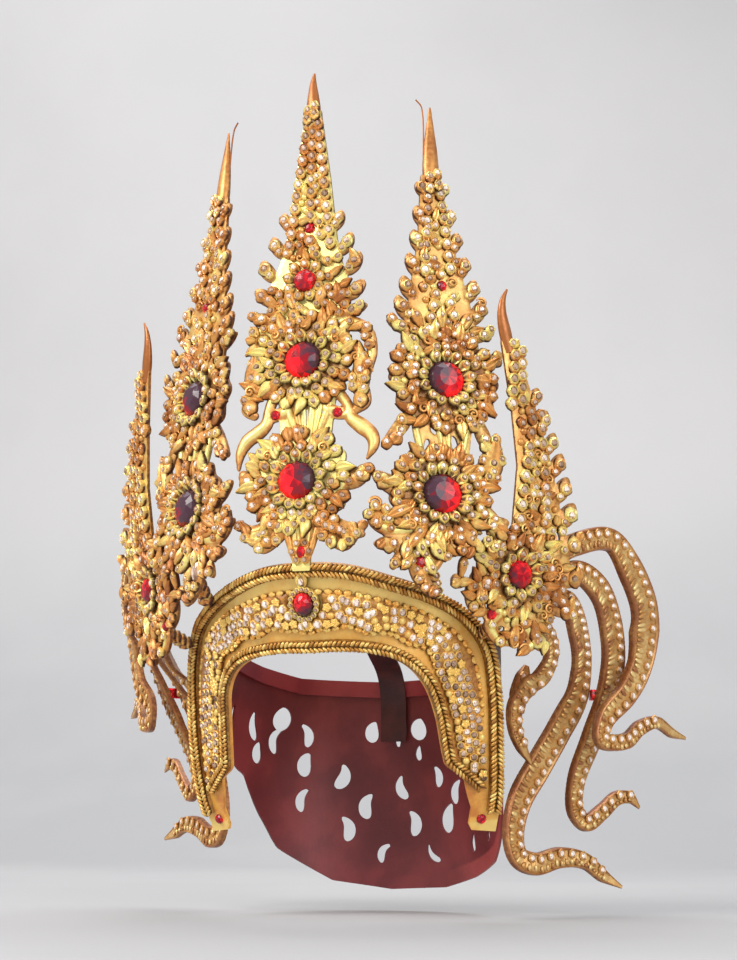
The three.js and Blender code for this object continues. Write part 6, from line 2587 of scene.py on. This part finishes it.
    def _strip(self) -> bpy.types.Object:
        """Embosses the stone strip.

        Returns:
            The new object.
        """
        reach = BAND.length(STRIP_END)
        sheet = Relief(-reach, reach, 0, 46, self.STRIP_STEP)
        u, v = sheet.u, sheet.v
        low, high = (edge[:, None] for edge in strip_edges(BAND.station(u[:, 0])))
        scallop = 0.5 * np.cos(u * 2 * math.pi / 8.0)
        depth = np.minimum(v - low - scallop, high - v + scallop * 0.5)
        depth = np.minimum(depth, reach - 0.5 - np.abs(u))
        middle = BROW_SHARE * BAND.width(0.0)
        rim = SETTING_RIM + 0.6
        oval = 1 - np.hypot(u / (BROW_RX + rim), (v - middle) / (BROW_RY + rim))
        # Painted shade and patina: the strip's base is dark brown, so the gaps between its stones read dark.
        sheet.add(depth, 0.7 + 1.3 * smooth(depth, 0, 2.2), 0.3, 0.3)
        sheet.pierce(oval * 10)
        sheet.soften(1.5)

        def to_world(local: Array) -> Array:
            """Lays the strip's coordinates on the band."""
            return BAND.place(BAND.station(local[:, 0]), local[:, 1], local[:, 2])

        return sheet.mesh("brow_stone_strip_sheet", to_world, STRIP_FOOT, STRIP_FOOT + 1.0, False)

    @staticmethod
    def _strip_span(s: float) -> tuple[float, float]:
        """Finds where the stones begin and end: on the strip, and up to the inner cord on the legs.

        Args:
            s: Station from -1 to 1.

        Returns:
            Least and greatest distance from the band's inner edge.
        """
        at = np.array([s])
        low, high = (float(edge[0]) for edge in strip_edges(at))
        inner = float(cord_middle(INNER_CORD, at)[0]) + INNER_CORD.half + 2.4
        outer = float(cord_middle(OUTER_CORD, at)[0]) - OUTER_CORD.half - 2.4
        leg = float(smooth(np.abs(at), 0.42, 0.56)[0])
        low = (low + 1.2) * (1 - leg) + inner * leg
        return low, (high - 1.2) * (1 - leg) + min(outer, inner + 19) * leg

    def _strip_ornament(self) -> None:
        """Packs stones, gold flowers and grains along the strip and down between the cords of the legs."""
        reach = BAND.length(self.LAST_STONES)
        chance = random.Random(23)
        pitch = self.STONE_PITCH
        for number in range(int(2 * reach / pitch)):
            run = -reach + number * pitch
            s = float(BAND.station(run))
            low, high = self._strip_span(s)
            if abs(s) < STRIP_END - 0.02:
                self._strip_leaves(s, chance)
            rows = round((high - low) / self.ROW_PITCH)
            for k in range(rows):
                distance = low + (high - low) * (k + 0.5) / rows + chance.uniform(-0.4, 0.4)
                place = run + (pitch / 2 if k % 2 else 0.0) + chance.uniform(-0.5, 0.5)
                self._strip_spot(float(BAND.station(place)), distance, chance)

    def _strip_leaves(self, s: float, chance: random.Random) -> None:
        """Sets a small leaf on each edge of the strip.

        Args:
            s: Station from -1 to 1.
            chance: Source of the spread.
        """
        low, high = (float(edge[0]) for edge in strip_edges(np.array([s])))
        for distance, turn in ((low + 1.4, 180), (high - 1.4, 0)):
            lean = turn + chance.uniform(-25, 25)
            place = (s, distance, STRIP_FOOT + 1.0)
            self._on_band(Motif.LOBE, place, lean, -6, (6.0, 3.6, 2.2), chance.uniform(0.4, 1.0))

    def _strip_spot(self, s: float, distance: float, chance: random.Random) -> None:
        """Sets one stone, flower or grain, clear of the brow stone.

        Args:
            s: Station from -1 to 1.
            distance: Millimetres from the band's inner edge.
            chance: Source of the choice.
        """
        off_middle = distance - BROW_SHARE * BAND.width(s)
        if math.hypot(BAND.length(s) / (BROW_RX + 5.4), off_middle / (BROW_RY + 5.4)) < 1:
            return
        low, high = (float(edge[0]) for edge in strip_edges(np.array([s])))
        on_strip = low + 1 < distance < high - 1 and abs(s) < STRIP_END - 0.01
        level = STRIP_FOOT + (2.3 if on_strip else 0.9)
        leg = abs(s) > self.LEG_START
        pick = chance.random() + (0.1 if leg else 0.0)
        place = (s, distance, level)
        if pick < self.FLOWERS:
            turn = chance.uniform(0, 360)
            for petal in range(self.PETALS):
                spin = turn + petal * 360 / self.PETALS
                self._on_band(Motif.LOBE, place, spin, 18, (3.2, 3.6, 2.2), 1.1)
            self._on_band(Motif.BEAD, (s, distance, level + 0.6), 0, 0, (1.5, 1.5, 2.0), 0.8)
        elif pick < self.GRAINS:
            self._on_band(Motif.BEAD, place, 0, 0, (2.6, 2.6, 2.4), chance.uniform(0.7, 1.1))
        else:
            radius = chance.uniform(2.1, 2.6) if leg else chance.uniform(2.4, 2.8)
            cup = (radius * 1.26, radius * 1.26, 2.0)
            self._on_band(Motif.CUP, (s, distance, level - 0.4), 0, 0, cup, chance.uniform(0.6, 1.1))
            spin = chance.uniform(0, 45)
            # Painted shade: stones on the legs are drawn duller.
            tone = chance.uniform(0.25, 0.9) if leg else chance.uniform(0.7, 1.2)
            self._on_band(Motif.STONE, (s, distance, level + 0.9), spin, 0, (radius, radius, radius), tone)

    def _setting(self, motifs: Motifs, palette: Palette) -> list[bpy.types.Object]:
        """Makes the oval setting, its ring of stones, the leaf above and the drop below.

        Args:
            motifs: Cast motifs.
            palette: Materials.

        Returns:
            The pieces, dressed and declared.
        """
        basis = BAND.basis(0.0)
        to_world = BAND.seat(0.0, BROW_SHARE, STRIP_FOOT)
        angle = np.linspace(0, 2 * math.pi, 48, endpoint=False)
        rim_x, rim_y = BROW_RX + SETTING_RIM, BROW_RY + SETTING_RIM
        lobes = 1 + 0.03 * np.cos(angle * 14)
        rings = []
        relief = []
        for share, height, shade in self.DISH:
            x, y = rim_x * share * lobes * np.cos(angle), rim_y * share * lobes * np.sin(angle)
            rings.append(to_world(np.column_stack([x, y, np.full(len(angle), height)])))
            relief.extend([shade] * len(angle))
        values = {"tone": np.full(len(relief), 0.7), "relief": np.array(relief)}
        dish = loft("brow_setting_dish", np.stack(rings), values)
        cups: list[Mark] = []
        stones: list[Mark] = []
        for k in range(self.SETTING_CUPS):
            turn = 2 * math.pi * k / self.SETTING_CUPS
            place = to_world(
                np.array(
                    [(BROW_RX + 1.9) * math.cos(turn), (BROW_RY + 1.9) * math.sin(turn), SETTING_HEIGHT]))
            cups.append(Mark(Motif.CUP, place, basis, (1.9, 1.9, 1.4), 0.9))
            stones.append(Mark(Motif.STONE, place + basis[:, 2] * 0.9, basis, (1.3, 1.3, 1.4), 0.55))
        for way, start, length, wide in ((1.0, rim_y - 1.0, 11.0, 8.0), (-1.0, rim_y - 2.0, 9.0, 7.0)):
            turned = basis @ np.diag([way, way, 1.0])
            place = to_world(np.array([0.0, way * start, 2.4]))
            cups.append(Mark(Motif.PETAL, place, turned, (wide, length, 3.2), 0.8))
            spot = to_world(np.array([0.0, way * (start + length * 0.4), 5.2]))
            stones.append(Mark(Motif.STONE, spot, turned, (1.7, 2.4, 1.8), 1.0))
        cast = motifs.set_on("brow_setting_cups", cups, palette[Slot.GILT])
        cut = motifs.set_on("brow_setting_brilliants", stones, palette[Slot.CLEAR])
        stone = Stone("brow_stone", 0, 0, BROW_RX - 0.4, BROW_RY - 0.4, 5, (-0.35, 0.5))
        gem = make_gem("brow_stone_cut", stone, to_world, SETTING_HEIGHT + GAP, False)
        return [
            declare(dish, palette, Slot.GILT, "brow_setting"), declare(cast, palette, Slot.GILT),
            declare(cut, palette, Slot.CLEAR), declare(gem, palette, Slot.RED, "brow_stone")]

    def _leg_stones(self, palette: Palette) -> list[bpy.types.Object]:
        """Cuts the small red stone at the tip of each leg.

        Args:
            palette: Materials.

        Returns:
            The pieces, dressed and declared.
        """
        to_world = BAND.seat(self.LEG_STONE_AT, 0.5, BAND_THICK / 2)
        pieces = []
        for side in Side:
            node = f"leg_stone_{side.value}"
            stone = Stone(node, 0, 0, 3.4, 3.4, 2.6, (0.1, 0))
            gem = make_gem(node + "_cut", stone, to_world, GAP, side is Side.L)
            pieces.append(declare(gem, palette, Slot.RED, node))
        return pieces

    def build(self, motifs: Motifs, palette: Palette) -> list[bpy.types.Object]:
        """Makes every piece of the band.

        Args:
            motifs: Cast motifs.
            palette: Materials.

        Returns:
            The pieces, dressed and declared.
        """
        self._strip_ornament()
        strip = self._strip()
        return [
            declare(self._sheet(), palette, Slot.BAND, "brow_band"),
            self._cord("outer_cord", OUTER_CORD, 1 - STATION, motifs, palette),
            self._cord("inner_cord", INNER_CORD, CROSS_END, motifs, palette),
            declare(strip, palette, Slot.BAND, "brow_stone_strip"),
            declare(motifs.set_on("strip_flowers", self.gilt, palette[Slot.BAND]), palette, Slot.BAND),
            declare(
                motifs.set_on("strip_brilliants", self.clear, palette[Slot.CLEAR]), palette, Slot.CLEAR),
            *self._setting(motifs, palette), *self._leg_stones(palette)]


class Tail:
    """One curling tail strip with a row of small stones."""

    # Rows: place across, height, relief; the relief is painted shade, dark in the grooves and at the foot,
    # light on the raised rims.
    PROFILE = (
        (-1.0, -0.5, 0.3), (-1.0, 0.1, 0.3), (-0.94, 0.42, 0.8), (-0.82, 0.5, 0.9), (-0.7, 0.32, 0.3),
        (-0.35, 0.36, 0.7), (0.0, 0.4, 0.75), (0.35, 0.36, 0.7), (0.7, 0.32, 0.3), (0.82, 0.5, 0.9),
        (0.94, 0.42, 0.8), (1.0, 0.1, 0.3), (1.0, -0.5, 0.3))
    STEP = 1.1
    RIPPLE = 2.9
    RIB_PITCH = 4.0
    PLAIN_WIDTH = 8.4
    STONE = (2.6, 2.6, 2.6)
    CUP = (3.3, 3.3, 1.7)

    def __init__(self, name: str, side: Side) -> None:
        """Keeps the tail's name and which side it hangs on.

        Args:
            name: Name of the tail, without its side.
            side: Side of the head.
        """
        self.name = name
        self.mirror = side is Side.L
        self.node = f"{name}_{side.value}"
        self.clear: list[Mark] = []
        self.ribs: list[Mark] = []

    def _strip(self, rows: Sequence[TailRow], label: str) -> bpy.types.Object:
        """Sweeps the strip and marks its stones.

        Args:
            rows: Places and widths along it.
            label: Name of the mesh.

        Returns:
            The new object.
        """
        line = Spline([(row.x, row.y, row.z + self.mirror * row.lift) for row in rows])
        t = line.even(self.STEP)
        t = t[t > self._start(line)]
        points = line.at(t)
        across = unit(np.cross(line.along(t), TAIL_NORMAL))
        wide = np.maximum(1.2, self._width(rows, t)) / 2
        thick = TAIL_THICK * np.minimum(1, wide / 6)
        columns = []
        for share, lift, _ in self.PROFILE:
            rib = np.sin(np.arange(len(t)) * 2 * math.pi / self.RIPPLE + share * 5)
            level = thick * (lift + (0.09 if -0.1 < share < 0.75 else 0.02) * rib)
            columns.append(points + across * (wide * share)[:, None] + TAIL_NORMAL * level[:, None])
        tones = [np.full(len(t), 0.15 if abs(share) > 0.75 else 0.62) for share, _, _ in self.PROFILE]
        reliefs = [np.full(len(t), shade) for _, _, shade in self.PROFILE]
        self._stones(line, rows)
        return loft_columns(label, columns, tones, reliefs, 40.0)

    @staticmethod
    def _width(rows: Sequence[TailRow], t: Array) -> Array:
        """Reads the strip's width at positions from 0 to 1."""
        return np.interp(t, np.linspace(0, 1, len(rows)), [row.wide for row in rows])

    def _start(self, line: Spline) -> float:
        """Finds where the strip comes out from behind the outer spire's plate.

        Args:
            line: Middle line of the strip.

        Returns:
            Position from 0 to 1.
        """
        plate = OUTER_SPEC.plate
        t = np.linspace(0, 0.3, 200)
        local = (line.at(t) - np.array([plate.x, plate.y, plate.z])) @ plate.basis()
        behind = local[:, 2] < -PLATE_HALF - GAP - 2.2
        return float(t[np.argmax(behind)]) if behind.any() else 0.0

    def _stones(self, line: Spline, rows: Sequence[TailRow]) -> None:
        """Marks a row of stones along the strip and fine ribs beside it, up to the plain tip.

        Args:
            line: Middle line of the strip.
            rows: Places and widths along it.
        """
        chance = random.Random(self.node)
        for k, t in enumerate(line.even(self.RIB_PITCH)):
            wide = float(self._width(rows, t))
            if wide < self.PLAIN_WIDTH or t < 0.05:
                continue
            point, tangent = line.at(np.array([t]))[0], line.along(np.array([t]))[0]
            across = unit(np.cross(tangent, TAIL_NORMAL))
            basis = np.column_stack([across, np.cross(TAIL_NORMAL, across), TAIL_NORMAL])
            base = point + TAIL_NORMAL * TAIL_THICK * 0.36
            tone = chance.uniform(0.1, 1.2)
            rib = (wide * chance.uniform(0.13, 0.22), chance.uniform(1.2, 1.9), chance.uniform(1.1, 1.6))
            reach = wide * chance.uniform(0.18, 0.27)
            marks = [Mark(Motif.BEAD, base + across * reach, basis, rib, tone)]
            if k % 2 == 0:
                spot = base - across * wide * 0.2
                marks.append(Mark(Motif.STONE, spot, basis, self.STONE, 1.1))
                marks.append(Mark(Motif.CUP, spot, basis, self.CUP, 0.5))
            for mark in marks:
                rows_of = self.clear if mark.kind is Motif.STONE else self.ribs
                rows_of.append(mark.mirrored() if self.mirror else mark)

    def build(self, motifs: Motifs, palette: Palette) -> list[bpy.types.Object]:
        """Makes the strip and its stones.

        Args:
            motifs: Cast motifs.
            palette: Materials.

        Returns:
            The pieces, dressed and declared.
        """
        parts = [self._strip(TAIL_ROWS[self.name], self.node + "_strip")]
        if self.name == "tail_4":
            parts.append(self._strip(CURL_ROWS, self.node + "_curl"))
        made = join(self.node + "_strip", parts)
        if self.mirror:
            mirror_mesh(made)
        stones = motifs.set_on(self.node + "_brilliants", self.clear, palette[Slot.CLEAR])
        ribs = motifs.set_on(self.node + "_ribs", self.ribs, palette[Slot.TAIL])
        return [
            declare(made, palette, Slot.TAIL, self.node), declare(ribs, palette, Slot.TAIL),
            declare(stones, palette, Slot.CLEAR)]


class TailBridge:
    """Small red block between the second and the third tail."""

    START = (147.0, 50.0, -18.0)
    END = (167.0, 59.0, -18.0)
    LIFTS = (7.0, 9.5)
    LEVELS = ((-3.6, 0.8), (-3.0, 1.0), (3.0, 1.0), (3.6, 0.8))
    HALF_WIDE = 4.6
    HALF_TALL = 3.8
    ROUNDING = 0.45

    def __init__(self, side: Side) -> None:
        """Keeps the side."""
        self.side = side

    def build(self, palette: Palette) -> bpy.types.Object:
        """Makes the block with softened edges.

        Args:
            palette: Materials.

        Returns:
            The piece, dressed and declared.
        """
        mirror = self.side is Side.L
        start, end = (
            np.array([x, y, z + mirror * lift]) for (x, y, z),
            lift in zip((self.START, self.END), self.LIFTS))
        reach = unit(end - start)
        out = unit(np.array([reach[1], -reach[0], 0.0]))
        rise = np.cross(reach, out)
        middle = (start + end) / 2
        angle = np.linspace(0, 2 * math.pi, 20, endpoint=False)
        rings = []
        for along, share in self.LEVELS:
            x = self.HALF_WIDE * share * np.sign(np.cos(angle)) * np.abs(np.cos(angle)) ** self.ROUNDING
            y = self.HALF_TALL * share * np.sign(np.sin(angle)) * np.abs(np.sin(angle)) ** self.ROUNDING
            rings.append(middle + reach * along + out * x[:, None] + rise * y[:, None])
        node = f"tail_bridge_{self.side.value}"
        full = np.ones(len(rings) * len(angle))
        made = loft(node + "_block", np.stack(rings), {"relief": full, "tone": full}, 40.0)
        # Painted reflection: faces are drawn in a repeating pattern of three brightnesses.
        set_facets(made, [0.45 + 0.2 * (k % 3) for k in range(len(made.data.polygons))])
        if mirror:
            mirror_mesh(made)
        return declare(made, palette, Slot.RED, node)


class HeadWall:
    """Pierced lacquered wall round the back of the head, with its rim and the strap over the crown."""

    PANEL_STEP = 1.6
    RIM_STEP = 1.2
    FRONT_Y = 30
    NEAR_BAND = 46
    BAND_CLEAR = 0.6
    FAR = 20.0
    MM_PER_DEG = 1.7
    FACE = 0.25
    STRAP_PROFILE = (
        (-1, 0.0), (-0.97, 0.42), (-0.88, 0.5), (-0.8, 0.36), (0, 0.44), (0.8, 0.36), (0.88, 0.5),
        (0.97, 0.42), (1, 0.0), (0.97, -0.42), (0.88, -0.5), (0, -0.44), (-0.88, -0.5), (-0.97, -0.42))

    def __init__(self) -> None:
        """Samples the band's surface, which the wall stops behind."""
        stations = np.linspace(-1, 1, 161)
        shares = np.linspace(0, 1, 15)
        self.places = np.vstack([BAND.point(stations, share, 0.0) for share in shares])
        self.normals = np.tile(BAND.frames(stations)[3], (len(shares), 1))
        self.tree = KDTree(len(self.places))
        for number, place in enumerate(self.places):
            self.tree.insert(Vector(place), number)
        self.tree.balance()

    @staticmethod
    def _world(local: Array) -> Array:
        """Places arc, height and distance out of the wall in the room.

        Args:
            local: One row of coordinates for each place.

        Returns:
            One row for each place.
        """
        angle = -local[:, 0] / WALL_ARC
        out = local[:, 2]
        return np.column_stack(
            [(HEAD_HALF_WIDTH + out) * np.sin(angle), (HEAD_DEPTH + out) * np.cos(angle), local[:, 1]])

    def _behind_band(self, sheet: Relief, out: float) -> Array:
        """Measures how far the sheet's places are behind the band's back.

        Args:
            sheet: Grid laid round the wall.
            out: Level of its face.

        Returns:
            One depth for each place of the grid.
        """
        flat = np.column_stack([sheet.u.ravel(), sheet.v.ravel(), np.full(sheet.u.size, out)])
        spots = self._world(flat)
        depth = np.full(len(spots), self.FAR)
        for k, spot in enumerate(spots):
            if spot[1] > self.FRONT_Y:
                continue
            _, number, distance = self.tree.find(Vector(spot))
            if distance < self.NEAR_BAND:
                ahead = float(np.dot(spot - self.places[number], self.normals[number]))
                depth[k] = -ahead - BAND_THICK / 2 - self.BAND_CLEAR
        return depth.reshape(sheet.u.shape)

    def _empty(self, low: float, high: float, step: float) -> tuple[Relief, Array]:
        """Lays a grid round the wall and finds the angle of each place.

        Args:
            low: Lowest place.
            high: Highest place.
            step: Width of the grid's cells.

        Returns:
            The grid and its angles.
        """
        reach = math.radians(WALL_END_DEG) * WALL_ARC
        sheet = Relief(-reach - step, reach + step, low, high, step)
        return sheet, -np.degrees(sheet.u / WALL_ARC)

    def _panel(self) -> bpy.types.Object:
        """Cuts the pierced wall.

        Returns:
            The new object.
        """
        sheet, deg = self._empty(-153, 20, self.PANEL_STEP)
        top = edge_height(WALL_TOP, np.abs(deg))
        bottom = edge_height(WALL_BOTTOM, deg)
        scallop = 0.7 * np.abs(np.sin(sheet.u / 3.6)) * smooth(-deg, 40, 60)
        depth = np.minimum(top - sheet.v, (sheet.v - bottom - scallop) * 0.9)
        depth = np.minimum(depth, (WALL_END_DEG - np.abs(deg)) * self.MM_PER_DEG)
        depth = np.minimum(depth, self._behind_band(sheet, -PANEL_THICK / 2))
        sheet.add(depth, self.FACE * smooth(depth, 0, 3), 0.5)
        up = np.linspace(-1, 1, 17)
        swell = np.sqrt(np.clip(1 - up ** 2, 0, 1)) * (1.0 - 0.45 * up)
        for gap in WALL_GAPS:
            tilt = math.radians(gap.tilt)
            a = gap.bend * 1.3 * (1 - up ** 2) + 0.08 * gap.half
            b = up * gap.tall
            at_u = -math.radians(gap.deg) * WALL_ARC + a * math.cos(tilt) - b * math.sin(tilt)
            at_v = gap.z + a * math.sin(tilt) + b * math.cos(tilt)
            spine = np.column_stack([at_u, at_v])
            sheet.pierce(chain_field(sheet.u, sheet.v, spine, 0.82 * gap.half * swell + 0.2))
        return sheet.mesh("back_panel_sheet", self._world, -PANEL_THICK, -self.FACE, False)

    def _paint(self, panel: bpy.types.Object, palette: Palette) -> None:
        """Paints the outside, and marks its dark top and foot and the lighter hem inside.

        Args:
            panel: The wall.
            palette: Materials.
        """
        mesh = panel.data
        mesh.materials.append(palette[Slot.LACQUER])
        mesh.materials.append(palette["tan_paint"])
        count = len(mesh.vertices)
        places = np.zeros(count * 3)
        mesh.vertices.foreach_get("co", places)
        places = places.reshape(-1, 3) / MM
        back = np.zeros(count)
        mesh.attributes["back"].data.foreach_get("value", back)
        deg = np.degrees(np.arctan2(places[:, 0] / HEAD_HALF_WIDTH, places[:, 1] / HEAD_DEPTH))
        top = edge_height(WALL_TOP, np.abs(deg))
        bottom = edge_height(WALL_BOTTOM, deg)
        outside = np.maximum(smooth(places[:, 2], top - 18, top - 14), 1 - smooth(places[:, 2], -58, -52))
        inside = 0.8 * (1 - smooth(places[:, 2] - bottom, 10, 12)) * smooth(deg, 20, 45)
        on_front = back < 0.25
        layer = mesh.attributes.new("shade", "FLOAT", "POINT")
        layer.data.foreach_set("value", np.where(on_front, outside, inside).astype(np.float32))
        index = [int(all(on_front[k] for k in face.vertices)) for face in mesh.polygons]
        mesh.polygons.foreach_set("material_index", index)

    def _rim(self) -> bpy.types.Object:
        """Makes the lighter band inside the top of the wall.

        Returns:
            The new object.
        """
        sheet, deg = self._empty(-16, 20, self.RIM_STEP)
        top = edge_height(WALL_TOP, np.abs(deg))
        depth = np.minimum(top - sheet.v, sheet.v - top + RING_TALL)
        depth = np.minimum(depth, (WALL_END_DEG - np.abs(deg)) * self.MM_PER_DEG)
        depth = np.minimum(depth, self._behind_band(sheet, -PANEL_THICK - RING_THICK))
        sheet.add(depth, np.zeros(depth.shape), 0.5)
        inset = PANEL_THICK + GAP
        return sheet.mesh("head_ring_band", self._world, -inset - RING_THICK, -inset, False)

    def _strap(self) -> bpy.types.Object:
        """Sweeps the strap with rounded, creased edges.

        Returns:
            The new object.
        """
        line = Spline([(STRAP_X, y, z) for y, z in STRAP_ROWS])
        t = np.linspace(0, 1, 90)
        points = line.at(t)
        along = line.along(t)
        up = np.column_stack([np.zeros(len(t)), along[:, 2], -along[:, 1]])
        across = np.array([STRAP_HALF, 0.0, 0.0])
        columns = [points + across * share + up * lift * STRAP_THICK for share, lift in self.STRAP_PROFILE]
        plain = [np.full(len(t), 0.5)] * len(columns)
        return loft_columns("top_strap_hide", columns, plain, plain)

    def build(self, palette: Palette) -> list[bpy.types.Object]:
        """Makes the wall, its rim and the strap.

        Args:
            palette: Materials.

        Returns:
            The pieces, dressed and declared.
        """
        panel = self._panel()
        self._paint(panel, palette)
        return [
            declare(panel, palette, Slot.LACQUER, "back_panel"),
            declare(self._rim(), palette, Slot.RIM, "head_ring"),
            declare(self._strap(), palette, Slot.STRAP, "top_strap")]


class Lamp(NamedTuple):
    """Round soft light: place, what it is aimed at, diameter, watts, colour."""

    name: str
    place: tuple[float, float, float]
    aim: tuple[float, float, float]
    size: float
    power: float
    colour: tuple[float, float, float]


class Studio:
    """Pale sweep, soft lights and the camera, in metres."""

    FLOOR = -0.166
    FRONT = -4.0
    BEND_AT = 1.2
    BEND_RADIUS = 1.2
    TOP = 4.5
    HALF_WIDE = 5
    EYE = (0.3226, -1.0543, -0.1022)
    AIM = (0.0095, 0.0028, 0.1321)
    LENS = 60.0
    SENSOR = 36.0
    SKY = (0.9, 0.93, 1.0, 1.0)
    SKY_STRENGTH = 0.55
    LIT = (0.0, -0.05, 0.15)
    LIGHTS = table_of(
        Lamp, ("key", (-1.3, -1.7, 1.5), LIT, 1.3, 50.0, (1.0, 0.97, 0.93)),
        ("fill", (1.7, -1.5, 0.7), LIT, 1.6, 24.0, (0.95, 0.97, 1.0)),
        ("top", (0.1, 0.3, 2.1), LIT, 1.6, 26.0, (1.0, 0.99, 0.97)),
        ("wall_wash", (-1.3, 0.6, 2.4), (-1.2, 2.4, 0.8), 2.2, 32.0, (1.0, 1.0, 1.0)))

    def _sweep(self, palette: Palette) -> None:
        """Makes the floor that curves up into the backdrop.

        Args:
            palette: Materials.
        """
        radius = self.BEND_RADIUS
        line = [(self.FRONT, 0.0)]
        for angle in np.linspace(0, math.pi / 2, 16):
            line.append((self.BEND_AT + radius * math.sin(angle), radius * (1 - math.cos(angle))))
        line.append((self.BEND_AT + radius, self.TOP))
        across = np.linspace(-self.HALF_WIDE, self.HALF_WIDE, 21)
        places = np.array([(x, y, z + self.FLOOR) for y, z in line for x in across])
        # Painted shade: the floor is drawn darker, fading out up the curve into the backdrop.
        shade = 1 - smooth(places[:, 2], self.FLOOR, self.FLOOR + 1.0)
        faces = grid_faces(len(across), len(line))
        made = make_object("sweep", places / MM, faces, {"shade": shade}, 180.0)
        made.data.materials.append(palette["plaster"])

    @staticmethod
    def _hang(
        name: str, data: bpy.types.ID, place: Sequence[float], aim: Sequence[float]
    ) -> bpy.types.Object:
        """Puts a light or the camera in its place and aims it.

        Args:
            name: Name of the object.
            data: Light or camera.
            place: Where it is.
            aim: Where it looks.

        Returns:
            The new object.
        """
        made = bpy.data.objects.new(name, data)
        made.location = place
        made.rotation_euler = (Vector(aim) - Vector(place)).to_track_quat("-Z", "Y").to_euler()
        bpy.context.scene.collection.objects.link(made)
        return made

    def build(self, palette: Palette) -> None:
        """Sets the floor, the lights, the world and the camera.

        Args:
            palette: Materials.
        """
        self._sweep(palette)
        for lamp in self.LIGHTS:
            light = bpy.data.lights.new(lamp.name, "AREA")
            light.shape = "DISK"
            light.size = lamp.size
            light.energy = lamp.power
            light.color = lamp.colour
            self._hang(lamp.name, light, lamp.place, lamp.aim)
        scene = bpy.context.scene
        scene.world = bpy.data.worlds.new("studio")
        scene.world.use_nodes = True
        sky = scene.world.node_tree.nodes["Background"]
        sky.inputs["Color"].default_value = self.SKY
        sky.inputs["Strength"].default_value = self.SKY_STRENGTH
        scene.view_settings.view_transform = "Standard"
        lens = bpy.data.cameras.new("camera")
        lens.lens = self.LENS
        lens.sensor_width = self.SENSOR
        lens.dof.use_dof = False
        scene.camera = self._hang("camera", lens, self.EYE, self.AIM)


def main() -> None:
    """Builds the headdress and its studio in order."""
    logging.basicConfig(level=logging.INFO, format="%(name)s %(message)s")
    palette = Palette()
    motifs = Motifs()
    BrowBand().build(motifs, palette)
    Spire(CENTRE_SPEC, None).build(motifs, palette)
    for side in Side:
        Spire(MID_SPEC, side).build(motifs, palette)
        Spire(OUTER_SPEC, side).build(motifs, palette)
        for name in TAIL_ROWS:
            Tail(name, side).build(motifs, palette)
        TailBridge(side).build(palette)
    HeadWall().build(palette)
    motifs.clear()
    Studio().build(palette)


if __name__ == "__main__":
    main()
